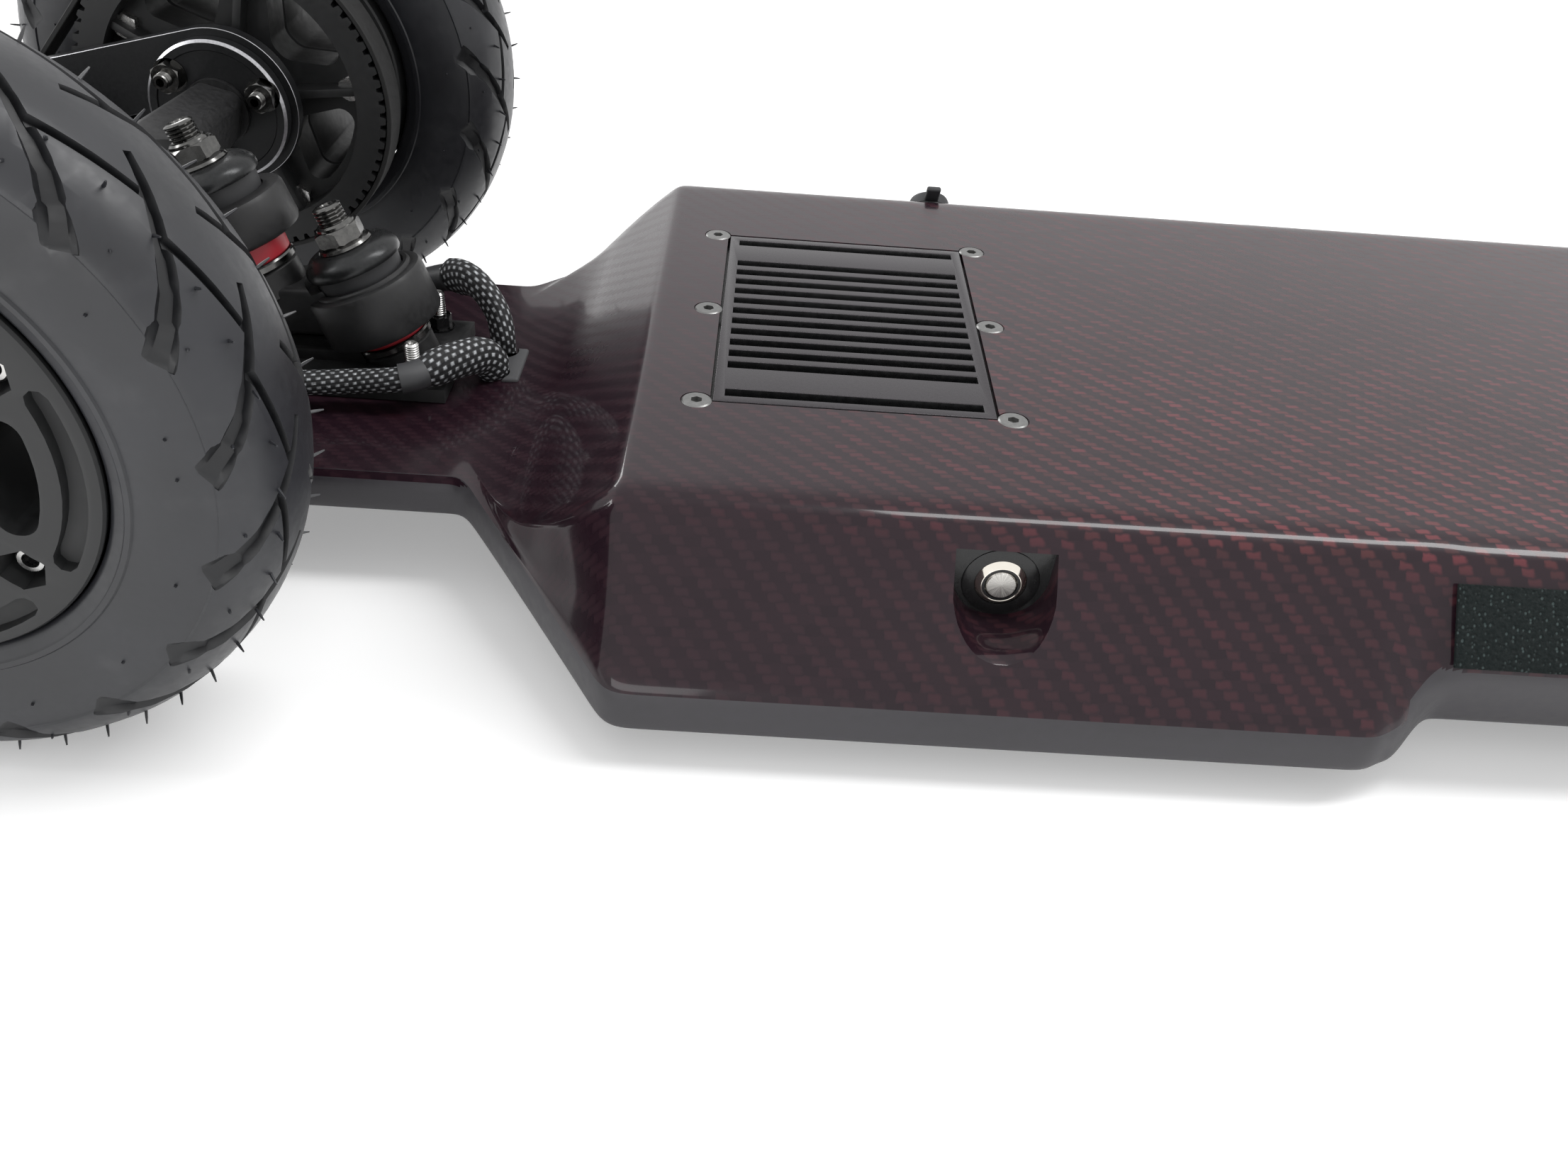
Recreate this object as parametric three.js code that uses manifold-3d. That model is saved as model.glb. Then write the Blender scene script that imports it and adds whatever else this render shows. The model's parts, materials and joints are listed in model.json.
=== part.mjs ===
// An electric mountainboard, lying upside down on its four tyres as it does on a bench.
// Millimetres, +Z up. X runs along the board, with the driven truck at -X, and Y across it.
// The origin is on the ground under the middle of the board. "near" is the -Y side.
import * as THREE from 'three';
import { mergeVertices } from 'three/addons/utils/BufferGeometryUtils.js';
import Module from 'manifold-3d';

const wasm = await Module();
wasm.setup();

// Driving dimensions of the whole board. The wheelbase follows from the face, slopes and platforms.
const FACE_LENGTH = 682;
const SLOPE_RUN = 55;
const PLATFORM_LONG = 109;
const AXLE_PAST_TIP = 10;
const WHEEL_TRACK = 298.2;
const TYRE_R = 100;
const TYRE_WIDTH = 50;
const FACE_Z = 70;
const GAP = 0.3;
const CUT_OVER = 4;
const MERGE_GAP = 0.0002;
const FLAT_WITHIN = 0.01;

const FACE_END_X = FACE_LENGTH / 2;
const PLATFORM_END_X = FACE_END_X + SLOPE_RUN;
const TIP_X = PLATFORM_END_X + PLATFORM_LONG;
const AXLE_X = TIP_X + AXLE_PAST_TIP;
const WHEEL_Y = WHEEL_TRACK / 2;
const AXLE_Z = TYRE_R;

// Deck: plan outline, half widths and heights
const TIP_CORNER_R = 32;
const CORNER_RUN = 5;
const CORNER_SET_BACK = 3;
const SHOULDER_OUT_X = FACE_END_X + CORNER_RUN - CORNER_SET_BACK;
const WAIST_X = 96;
const WAIST_CORNER_RUN = 21;
const SHOULDER_IN_X = WAIST_X + WAIST_CORNER_RUN;
const PLATFORM_HALF = 75;
const SHOULDER_HALF = 156;
const WAIST_DEEP = 20;
const WAIST_HALF = SHOULDER_HALF - WAIST_DEEP;
const WAIST_WALL_OUT = 7.5;
const WAIST_WALL_HALF = WAIST_HALF + WAIST_WALL_OUT;
const WAIST_WALL_Z = 41;
const WALL_LEAN = 35;
const FACE_HALF = SHOULDER_HALF - WALL_LEAN;
const PLATFORM_Z = 40;
const RIDE_Z = 25;
const RIM_DROP = 15;
const RIDE_STEPS = 3;
const RIDE_POWER = 1.2;
const RIDE_BREAK_ROOM = 2;
const RIM_THICK = 15;
const RIM_ROUND = 2.5;
const FACE_ROUND = 3.5;
const SKIN = 3;
const SLOPE_FOOT_RUN = 22;
const SLOPE_FOOT_X = PLATFORM_END_X - SLOPE_FOOT_RUN;
const SLOPE_FOOT_RISE = 3.5;

// Bay inside the deck and the lid that closes it
const BAY_END_WALL = 10;
const BAY_END_X = FACE_END_X - BAY_END_WALL;
const BAY_TOP_WALL = 9;
const BAY_HALF = FACE_HALF - BAY_TOP_WALL;
const BAY_LOW_WALL = 28;
const BAY_LOW_HALF = SHOULDER_HALF - BAY_LOW_WALL;
const BAY_WAIST_WALL = 18;
const BAY_WAIST_HALF = WAIST_HALF - BAY_WAIST_WALL;
const BAY_FLOOR_Z = 31;
const LID_END_IN = 41;
const LID_HALF_X = FACE_END_X - LID_END_IN;
const LID_HALF_Y = 62;
const LID_THICK = 3;
const LID_LEDGE = 9;
const LID_CORNER_R = 10;
const LID_SCREW_INSET = 5;
const LID_SCREW_SPACES = 3;
const LID_SCREW_R = 1.6;

// Grip sheet around the lid on the riding side
const GRIP_THICK = 2;
const GRIP_END_IN = 9;
const GRIP_END_X = FACE_END_X - GRIP_END_IN;
const GRIP_MARGIN = 9;
const GRIP_LID_MARGIN = 5;

// Heat sink let into the face, and its countersunk screws
const SINK_FROM_END = 68.6;
const SINK_X = SINK_FROM_END - FACE_END_X;
const SINK_LENGTH = 89.6;
const SINK_WIDTH = 132;
const SINK_CLEAR = 0.9;
const SINK_BASE_Z = 55;
const SINK_FLANGE_THICK = 3.2;
const SINK_FLANGE_OVER = 10;
const SLOT_DEPTH = 9;
const SLOT_WIDTH = 4.8;
const SLOT_PITCH = 8.2;
const SLOT_COUNT = 11;
const EDGE_SLOT_Y = 60;
const SLOT_END_MARGIN = 3.6;
const SCREW_HEAD_R = 4.5;
const SCREW_R = 2.5;
const SCREW_HEAD_DEEP = 2.4;
const SCREW_LENGTH = 10;
const SINK_SCREW_X = 49.8;
const SINK_SCREW_Y = 66.3;

// Power button in its scooped seat on the near wall
const BUTTON_FROM_END = 110.5;
const BUTTON_X = BUTTON_FROM_END - FACE_END_X;
const BUTTON_Z = 50.3;
const SEAT_DEEP = 30;
const SEAT_FLOOR_Y = SHOULDER_HALF - SEAT_DEEP;
const SEAT_HALF = 14.8;
const SEAT_TOP_Z = 62.2;
const SEAT_BOTTOM_Z = 37;
const BUTTON_FLANGE_R = 7;
const BUTTON_FLANGE_THICK = 1.8;
const BUTTON_BARREL_R = 6;
const BUTTON_BARREL_LONG = 16;
const BUTTON_CAP_R = 4.6;
const BUTTON_CAP_LONG = 5;
const BUTTON_PROUD = 0.4;
const BUTTON_TRAVEL = 1.5;
const BUTTON_NUT_R = 8.2;
const BUTTON_NUT_THICK = 3;

// Charge socket and its rubber cap on the far wall
const CHARGE_FROM_END = 107.5;
const CHARGE_X = CHARGE_FROM_END - FACE_END_X;
const CHARGE_T_SHARE = 0.24;
const SOCKET_R = 7.5;
const SOCKET_FLANGE_R = 9.5;
const SOCKET_FLANGE_THICK = 1.6;
const SOCKET_LONG = 18;
const SOCKET_BORE_R = 4.4;
const SOCKET_BORE_DEEP = 12;
const CAP_R = 8.6;
const CAP_THICK = 5.5;
const CAP_TAB_LONG = 8;
const CAP_TAB_WIDE = 6;
const CAP_TAB_THICK = 2.4;
const CAP_PLUG_R = 3.5;
const CAP_PLUG_LONG = 3;
const CAP_STRAP_WIDE = 5;
const CAP_STRAP_THICK = 1.6;
const CAP_STRAP_END = 11.4;

// Hook-and-loop strips on both side walls
const STRIP_PAST_WAIST = 6;
const STRIP_HALF_X = WAIST_X + STRIP_PAST_WAIST;
const STRIP_WIDE = 24;
const STRIP_THICK = 1.4;
const STRIP_TOP_T_SHARE = 0.2;

// Electronics in the bay
const BATTERY_LONG = 352;
const BATTERY_HIGH = 24;
const BATTERY_SIDE_ROOM = 14;
const BATTERY_WIDE = 2 * (BAY_HALF - BATTERY_SIDE_ROOM);
const BATTERY_SIZE = [BATTERY_LONG, BATTERY_WIDE, BATTERY_HIGH];
const BATTERY_END_ROOM = 43;
const BATTERY_X = BAY_END_X - BATTERY_END_ROOM - BATTERY_LONG / 2;
const BATTERY_CHAMFER = 6;
const CONTROLLER_SIZE = [98, 138, 20];

// Trucks, in a frame with x = 0 at the axle and +x towards the middle of the board
const LEAN = THREE.MathUtils.degToRad(21);
const INNER_TIP = [62.8, 98];
const OUTER_TIP = [18.4, 122.9];
const INNER_PIVOT = [36, 51.5];
const OUTER_PIVOT_SLOPE = THREE.MathUtils.degToRad(40);
const KINGPIN_R = 5;
const NUT_TOP_S = 7.6;
const NUT_R = 8.4;
const CUP_TOP_S = 16.5;
const CUP_R = 16.5;
const CUP_THICK = 5;
const TOP_BUSHING_R = 14.5;
const LOW_BUSHING_R = 13;
const EYE_TOP_S = 27;
const EYE_R = 21;
const EYE_LIP_R = 17.6;
const EYE_LIP_RISE = 2.2;
const LINK_EYE_HIGH = 19;
const HANGER_EYE_HIGH = 15;
const EYE_WEB_TOP = 7;
const EYE_WEB_THICK = 4;
const EYE_HOLE_R = 8;
const SEAT_S = 52.4;
const LOW_CUP_THICK = 2.5;
const LOW_CUP_R = 13.7;
const POST_R = 13.2;
const LINK_POST_END_S = 62;
const KINGPIN_END_INNER_S = 57.5;
const KINGPIN_END_OUTER_S = 60.5;
const NOSE_R = 4.6;
const PIVOT_CUP_R = 8.3;
const PIVOT_CUP_LONG = 12;
const NOSE_CLEAR = 0.35;
const BASE_NEAR_X = 16;
const BASE_FAR_X = 104;
const BASE_HALF_Y = 27;
const BASE_THICK = 5;
const BOLT_SPAN_X = 54;
const BOLT_SPAN_Y = 41.3;
const BOLT_INNER_X = 92.6;
const BOLT_R = 2.4;

// Hanger and stub axles
const BAR_MID_HALF_X = 10;
const BAR_MID_HALF_Z = 13.5;
const BAR_END_HALF = 9.5;
const BAR_END_Y = 80.1;
const BAR_CHAMFER_SHARE = 0.3;
const BAR_TURN = THREE.MathUtils.degToRad(14);
const FLANGE_R = 26;
const FLANGE_THICK = 5.1;
const SPINDLE_R = 9;
const AXLE_R = 6;
const AXLE_NECK_R = 4;
const AXLE_NECK_Y = 38;
const AXLE_OUT_OVER = 30;
const AXLE_NUT_R = 10.4;
const AXLE_NUT_THICK = 8;
const CUP_ROOM = 2.2;

// Drive: mount plates, motors, pulleys and belts
const MOTOR_REACH = 84;
const MOTOR_DROP = THREE.MathUtils.degToRad(14.7);
const PLATE_R = 28.8;
const PLATE_THICK = 5.6;
const BELT_TOOTH_PITCH = 5;
const WHEEL_TEETH = 76;
const MOTOR_TEETH = 16;
const BELT_EDGE_Y = 94.8;
const BELT_WIDTH = 15.6;
const BELT_THICK = 1.8;
const PITCH_TO_TIP = 0.9;
const TOOTH_DEEP = 2.1;
const PULLEY_FLANGE_R = 15;
const PULLEY_FLANGE_THICK = 1.2;
const PULLEY_SIDE_CLEAR = 0.6;
const PULLEY_RING_THICK = 9;
const PULLEY_WEB_THICK = 5;
const MOTOR_R = 31.5;
const MOTOR_WALL = 3;
const MOTOR_BASE_LONG = 7;
const MOTOR_LONG = 70;
const MOTOR_SHAFT_R = 4;
const STATOR_R = 26;
const STATOR_BORE_R = 9;
const CAN_END_THICK = 4;

// Wheels
const HUB_R = 58;
const HUB_LIP_R = 59.6;
const HUB_LIP_WIDE = 2.4;
const HUB_HALF = 23.6;
const HUB_PULLEY_FACE = 25.5;
const SPOKES = 5;
const HUB_PHASE = THREE.MathUtils.degToRad(6);
const OPENING_R = 45;
const OPENING_CORNER_R = 40.5;
const OPENING_TIP_R = 24;
const OPENING_HALF = THREE.MathUtils.degToRad(24);
const OPENING_TIP_HALF = THREE.MathUtils.degToRad(9);
const ARC_SLOT_IN_R = 50;
const ARC_SLOT_OUT_R = 56;
const ARC_SLOT_HALF = THREE.MathUtils.degToRad(25);
const ARC_SLOT_DEEP = 4;
const BEARING_R = 14;
const BEARING_WIDTH = 8;
const BEARING_SEAT_Y = 20;
const HUB_FACE_BORE_R = 15.5;
const HUB_CORE_R = 8.4;
const TYRE_FACETS = 26;
const TYRE_WALL = 7;
const TYRE_BEAD_WALL = 5;

// Motor cables: where the sleeves leave the deck, and the size of each run
const OUTLET_IN = 1;
const OUTLET_X = OUTLET_IN - PLATFORM_END_X;
const OUTLET_Y = 4;
const OUTLET_HALF_X = 7;
const OUTLET_HALF_Y = 12;
const CABLE_R = 4.2;
const CABLE_STEP = 15;
const CABLE_JOINT_IN = 25;
const INNER_RUN = 95;

// Counts of sides on round pieces
const ROUND_SIDES = 16;
const SMALL_SIDES = 8;
const BIG_SIDES = 28;
const CABLE_SIDES = 8;
const BORE_SIDES = 18;
const SEAT_SIDES = 12;
const HEX_SIDES = 6;
const CORNER_STEPS = 3;

// Colours of the finishes
const CARBON = { color: 0x2a1219, roughness: 0.28, metalness: 0.05 };
const BLACK_METAL = { color: 0x1c1d1f, roughness: 0.45, metalness: 0.6 };
const BLACK_CHROME = { color: 0x3a3a3c, roughness: 0.22, metalness: 0.95 };
const STEEL = { color: 0xb9bbbd, roughness: 0.3, metalness: 1.0 };
const BLACK_RUBBER = { color: 0x1d1d1e, roughness: 0.75, metalness: 0.0 };
const RED_RUBBER = { color: 0xc8323c, roughness: 0.55, metalness: 0.0 };
const BLACK_PLASTIC = { color: 0x202122, roughness: 0.6, metalness: 0.0 };
const GRIP = { color: 0x151516, roughness: 0.95, metalness: 0.0 };
const LOOP_TAPE = { color: 0x1b2522, roughness: 0.95, metalness: 0.0 };
const SLEEVE = { color: 0x2b2c2e, roughness: 0.7, metalness: 0.1 };
const BLUE_WRAP = { color: 0x1f4f86, roughness: 0.4, metalness: 0.0 };

// Closed solids and the ways to make them
function solid(geometry) {
  const bare = new THREE.BufferGeometry();
  bare.setAttribute('position', geometry.attributes.position.clone());
  if (geometry.index) bare.setIndex(geometry.index.clone());
  const merged = mergeVertices(bare, MERGE_GAP);
  const places = merged.attributes.position;
  const corners = Array.from(merged.index.array);
  const kept = [];
  let volume = 0;
  const a = new THREE.Vector3();
  const b = new THREE.Vector3();
  const c = new THREE.Vector3();
  for (let i = 0; i < corners.length; i += 3) {
    const [p, q, r] = corners.slice(i, i + 3);
    if (p === q || q === r || r === p) continue;
    kept.push(p, q, r);
    a.fromBufferAttribute(places, p);
    b.fromBufferAttribute(places, q);
    c.fromBufferAttribute(places, r);
    volume += a.dot(b.cross(c));
  }
  if (volume < 0) kept.reverse();
  const vertProperties = new Float32Array(places.array);
  const triVerts = new Uint32Array(kept);
  return new wasm.Manifold(new wasm.Mesh({ numProp: 3, vertProperties, triVerts }));
}

function geometryOf(body) {
  const mesh = body.getMesh();
  const geometry = new THREE.BufferGeometry();
  geometry.setAttribute('position', new THREE.BufferAttribute(mesh.vertProperties, 3));
  geometry.setIndex(new THREE.BufferAttribute(mesh.triVerts, 1));
  geometry.computeVertexNormals();
  return geometry;
}

function piece(name, finish, body) {
  const plain = body.asOriginal().simplify(FLAT_WITHIN);
  const mesh = new THREE.Mesh(geometryOf(plain), new THREE.MeshStandardMaterial(finish));
  mesh.name = name;
  return mesh;
}

function join(bodies) {
  return bodies.reduce((whole, next) => whole.add(next));
}

function block(size, centre) {
  return solid(new THREE.BoxGeometry(...size).translate(...centre));
}

// A block given by its lowest and highest corners
function span(low, high) {
  const size = high.map((value, i) => value - low[i]);
  const centre = high.map((value, i) => (value + low[i]) / 2);
  return block(size, centre);
}

// A round bar between two points
function bar(radius, start, end, sides = ROUND_SIDES) {
  const from = new THREE.Vector3(...start);
  const to = new THREE.Vector3(...end);
  const along = to.clone().sub(from);
  const geometry = new THREE.CylinderGeometry(radius, radius, along.length(), sides);
  const up = new THREE.Vector3(0, 1, 0);
  geometry.applyQuaternion(new THREE.Quaternion().setFromUnitVectors(up, along.normalize()));
  geometry.translate(...from.add(to).divideScalar(2).toArray());
  return solid(geometry);
}

// A profile of [radius, height] points turned about Z
function turned(profile, sides = ROUND_SIDES) {
  const points = profile.map(([radius, height]) => new THREE.Vector2(radius, height));
  return solid(new THREE.LatheGeometry(points, sides).rotateX(Math.PI / 2));
}

// A profile of [radius, y] points turned about Y
function turnedAboutY(profile, sides = ROUND_SIDES) {
  const points = profile.map(([radius, y]) => new THREE.Vector2(radius, y));
  return solid(new THREE.LatheGeometry(points, sides));
}

// A closed ring profile starts and ends at the same point
function ring(inner, outer, low, high, sides) {
  const profile = [[inner, low], [outer, low], [outer, high], [inner, high], [inner, low]];
  return turned(profile, sides);
}

// A shape in the X-Z plane extruded from y = low to y = high
function slab(shape, low, high, curveSegments = SMALL_SIDES) {
  const settings = { depth: high - low, bevelEnabled: false, curveSegments };
  const geometry = new THREE.ExtrudeGeometry(shape, settings);
  return solid(geometry.rotateX(Math.PI / 2).translate(0, high, 0));
}

// A shape in the X-Y plane extruded from z = low to z = high
function plate(shape, low, high, curveSegments = SMALL_SIDES) {
  const settings = { depth: high - low, bevelEnabled: false, curveSegments };
  return solid(new THREE.ExtrudeGeometry(shape, settings).translate(0, 0, low));
}

function roundedRectangle(halfX, halfY, radius) {
  const shape = new THREE.Shape();
  shape.absarc(halfX - radius, halfY - radius, radius, 0, Math.PI / 2);
  shape.absarc(radius - halfX, halfY - radius, radius, Math.PI / 2, Math.PI);
  shape.absarc(radius - halfX, radius - halfY, radius, Math.PI, 1.5 * Math.PI);
  shape.absarc(halfX - radius, radius - halfY, radius, 1.5 * Math.PI, 2 * Math.PI);
  return shape;
}

function polygon(radius, sides, turn = 0) {
  const points = [];
  for (let i = 0; i < sides; i++) {
    const angle = turn + (2 * Math.PI * i) / sides;
    points.push(new THREE.Vector2(radius * Math.cos(angle), radius * Math.sin(angle)));
  }
  return points;
}

// Rings of points, all with the same count, skinned and closed at both ends
function skinned(rings) {
  const count = rings[0].length;
  const positions = rings.flat(2);
  const index = [];
  for (let i = 0; i + 1 < rings.length; i++) {
    for (let k = 0; k < count; k++) {
      const a = i * count + k;
      const b = i * count + ((k + 1) % count);
      index.push(a, b, b + count, a, b + count, a + count);
    }
  }
  const last = (rings.length - 1) * count;
  for (let i = 0; i + 1 < count / 2; i++) {
    const quad = [i, i + 1, count - 2 - i, count - 1 - i];
    const [a, b, c, d] = quad;
    index.push(a, c, b, a, d, c);
    index.push(last + a, last + b, last + c, last + a, last + c, last + d);
  }
  const geometry = new THREE.BufferGeometry();
  geometry.setAttribute('position', new THREE.Float32BufferAttribute(positions, 3));
  geometry.setIndex(index);
  return solid(geometry);
}

function mix(a, b, share) {
  return a + (b - a) * Math.min(1, Math.max(0, share));
}

function eased(share) {
  const t = Math.min(1, Math.max(0, share));
  return t * t * (3 - 2 * t);
}

// Deck: heights and half widths along the board
function rideHeight(y) {
  const run = SHOULDER_HALF - PLATFORM_HALF;
  const share = Math.max(0, (Math.abs(y) - PLATFORM_HALF) / run);
  const step = Math.min(RIDE_STEPS - 1, Math.floor(share * RIDE_STEPS));
  const [low, high] = [step, step + 1].map((k) => Math.pow(k / RIDE_STEPS, RIDE_POWER));
  return RIDE_Z - RIM_DROP * (low + (high - low) * (share * RIDE_STEPS - step));
}

// Half the riding face's breaks, held inside a section's own half width
function rideBreaks(half) {
  const run = SHOULDER_HALF - PLATFORM_HALF;
  const breaks = [];
  for (let k = 0; k < RIDE_STEPS; k++) {
    breaks.push(Math.min(PLATFORM_HALF + (run * k) / RIDE_STEPS, half - (RIDE_STEPS + 1 - k) * RIDE_BREAK_ROOM));
  }
  return [...breaks, half - RIM_ROUND / 2];
}

function tipHalf(x) {
  const into = x - (TIP_X - TIP_CORNER_R);
  if (into <= 0) return PLATFORM_HALF;
  const across = Math.sqrt(Math.max(0, TIP_CORNER_R ** 2 - into ** 2));
  return PLATFORM_HALF - TIP_CORNER_R + across;
}

function halfWidth(x) {
  if (x >= PLATFORM_END_X) return tipHalf(x);
  const cornerOut = SHOULDER_HALF - CORNER_SET_BACK;
  if (x >= SHOULDER_OUT_X) {
    return mix(PLATFORM_HALF, cornerOut, (PLATFORM_END_X - x) / (PLATFORM_END_X - SHOULDER_OUT_X));
  }
  if (x >= SHOULDER_OUT_X - CORNER_RUN) {
    return mix(cornerOut, SHOULDER_HALF, (SHOULDER_OUT_X - x) / CORNER_RUN);
  }
  if (x >= SHOULDER_IN_X + CORNER_RUN) return SHOULDER_HALF;
  if (x >= SHOULDER_IN_X) {
    return mix(SHOULDER_HALF, cornerOut, (SHOULDER_IN_X + CORNER_RUN - x) / CORNER_RUN);
  }
  return mix(cornerOut, WAIST_HALF, eased((SHOULDER_IN_X - x) / (SHOULDER_IN_X - WAIST_X)));
}

// How far a section has risen from the truck platform to the full enclosure
function riseShare(x) {
  return (PLATFORM_END_X - x) / (PLATFORM_END_X - FACE_END_X);
}

function topHeight(x) {
  if (x >= PLATFORM_END_X) return PLATFORM_Z;
  if (x >= SLOPE_FOOT_X) {
    const share = (PLATFORM_END_X - x) / (PLATFORM_END_X - SLOPE_FOOT_X);
    return PLATFORM_Z + SLOPE_FOOT_RISE * share * share;
  }
  const share = (SLOPE_FOOT_X - x) / (SLOPE_FOOT_X - FACE_END_X);
  return mix(PLATFORM_Z + SLOPE_FOOT_RISE, FACE_Z, share);
}

// The waist share is 0 at the shoulders and 1 along the waist
function waistShare(x) {
  return eased((SHOULDER_IN_X - x) / (SHOULDER_IN_X - WAIST_X));
}

// Half of a section of the deck, from the middle of the riding face to the middle of the top
function halfSection(x) {
  const half = halfWidth(x);
  const top = topHeight(x);
  const rise = riseShare(x);
  const waist = waistShare(x);
  const rimLow = rideHeight(half);
  const wallZ = mix(rimLow + RIM_THICK, WAIST_WALL_Z, waist);
  const wallY = mix(half, WAIST_WALL_HALF, waist);
  const faceHalf = mix(half * 0.8, FACE_HALF, rise);
  const fillet = mix(0.2, 0.5, rise);
  const filletY = mix(wallY, faceHalf, 0.5);
  const filletZ = mix(wallZ, top, fillet);
  return [
    [0, RIDE_Z],
    ...rideBreaks(half).map((y) => [y, rideHeight(y)]),
    [half, rimLow + RIM_ROUND],
    [wallY, wallZ - RIM_ROUND],
    [wallY - RIM_ROUND * 0.7, wallZ + RIM_ROUND * 0.3],
    [filletY, filletZ],
    [faceHalf + FACE_ROUND * 0.5, top - FACE_ROUND * 0.65 * Math.min(1, Math.max(0, rise))],
    [faceHalf - FACE_ROUND, top],
    [0, top],
  ];
}

function deckStations() {
  const tip = [1, 0.86, 0.5, 0].map((share) => TIP_X - TIP_CORNER_R * (1 - share));
  const slopeShares = [1, 0.8, 0.6, 0.3, 0.06, 0];
  const slope = slopeShares.map((share) => mix(FACE_END_X, PLATFORM_END_X, share));
  const rest = [SHOULDER_OUT_X - CORNER_RUN, SHOULDER_IN_X + CORNER_RUN, SHOULDER_IN_X];
  const waistShares = [0.35, 0.7, 1];
  const waist = waistShares.map((share) => mix(SHOULDER_IN_X, WAIST_X, share));
  const half = [...tip, ...slope, ...rest, ...waist];
  return [...half.map((x) => -x), ...half.reverse()];
}

const GRIP_WAIST_X = [SHOULDER_IN_X, WAIST_X + CORNER_RUN * 2, WAIST_X];
const GRIP_HALF_STATIONS = [GRIP_END_X, SHOULDER_IN_X + CORNER_RUN, ...GRIP_WAIST_X];
const GRIP_STATIONS = [...GRIP_HALF_STATIONS.map((x) => -x), ...[...GRIP_HALF_STATIONS].reverse()];

function deckOutside() {
  const rings = deckStations().map((x) => {
    const half = halfSection(Math.abs(x));
    const far = half.map(([y, z]) => [x, y, z]);
    const near = half.slice(1, -1).reverse().map(([y, z]) => [x, -y, z]);
    return [...far, ...near];
  });
  return skinned(rings);
}

// The side wall runs from the face's edge at share 0 to the shoulder's rim at share 1
function wallPoint(share) {
  const rimZ = rideHeight(SHOULDER_HALF) + RIM_THICK;
  return [mix(FACE_HALF, SHOULDER_HALF, share), mix(FACE_Z, rimZ, share)];
}

function wallTilt() {
  const [y0, z0] = wallPoint(0);
  const [y1, z1] = wallPoint(1);
  return Math.atan2(z0 - z1, y1 - y0);
}

// A frame on the far side wall whose Z axis stands square to the wall
function onWall(share, lift, side) {
  const group = new THREE.Group();
  const [y, z] = wallPoint(share);
  const tilt = wallTilt();
  group.position.set(0, side * (y + lift * Math.sin(tilt)), z + lift * Math.cos(tilt));
  group.rotation.x = -side * tilt;
  group.updateMatrix();
  return group;
}

function bay() {
  const ends = [-BAY_END_X, -WAIST_X - CORNER_RUN, -WAIST_X, WAIST_X, WAIST_X + CORNER_RUN, BAY_END_X];
  const top = FACE_Z - SKIN;
  const rings = ends.map((x) => {
    const low = Math.abs(x) <= WAIST_X ? BAY_WAIST_HALF : BAY_LOW_HALF;
    const high = BAY_HALF;
    const points = [[low, BAY_FLOOR_Z], [low, PLATFORM_Z], [high, top]];
    const far = points.map(([y, z]) => [x, y, z]);
    const near = points.reverse().map(([y, z]) => [x, -y, z]);
    return [...far, ...near];
  });
  return skinned(rings);
}

// The seat of the power button: a D with a flat top and a round foot
function seatShape(grow) {
  const half = SEAT_HALF + grow;
  const foot = SEAT_BOTTOM_Z - grow;
  const shape = new THREE.Shape();
  shape.moveTo(half, SEAT_TOP_Z + grow);
  shape.lineTo(-half, SEAT_TOP_Z + grow);
  shape.lineTo(-half * 0.96, BUTTON_Z);
  shape.quadraticCurveTo(-half * 0.78, foot, 0, foot);
  shape.quadraticCurveTo(half * 0.78, foot, half * 0.96, BUTTON_Z);
  return shape;
}

function buttonSeat() {
  const low = -SHOULDER_HALF;
  const boss = slab(seatShape(SKIN), low, -SEAT_FLOOR_Y + SKIN, 4);
  const scoop = slab(seatShape(0), low - CUT_OVER, -SEAT_FLOOR_Y, 4);
  const place = (body) => body.translate([BUTTON_X, 0, 0]);
  return { boss: place(boss), scoop: place(scoop) };
}

function lidShape(grow) {
  return roundedRectangle(LID_HALF_X + grow, LID_HALF_Y + grow, LID_CORNER_R + grow);
}

function lidScrewPlaces() {
  const x = LID_HALF_X - LID_SCREW_INSET;
  const y = LID_HALF_Y - LID_SCREW_INSET;
  const places = [];
  for (let i = 0; i <= LID_SCREW_SPACES; i++) {
    const along = mix(-x, x, i / LID_SCREW_SPACES);
    places.push([along, y], [along, -y]);
  }
  return places;
}

function sinkScrewPlaces() {
  const places = [];
  for (const x of [-SINK_SCREW_X, SINK_SCREW_X]) {
    for (const y of [-SINK_SCREW_Y, 0, SINK_SCREW_Y]) places.push([SINK_X + x, y]);
  }
  return places;
}

// The seat and hole of a countersunk screw that goes in at z = 0 and points down
function screwSeat() {
  const head = SCREW_HEAD_R + GAP;
  const shank = SCREW_R + GAP;
  const long = SCREW_LENGTH;
  return turned([
    [0, CUT_OVER], [head, CUT_OVER], [head, -GAP], [shank, -SCREW_HEAD_DEEP], [shank, -long], [0, -long],
  ], SMALL_SIDES);
}

function boltPlaces() {
  const places = [];
  for (const end of [-1, 1]) {
    for (const x of [BOLT_INNER_X, BOLT_INNER_X - BOLT_SPAN_X]) {
      for (const y of [-BOLT_SPAN_Y / 2, BOLT_SPAN_Y / 2]) places.push([end * (AXLE_X - x), y]);
    }
  }
  return places;
}

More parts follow.
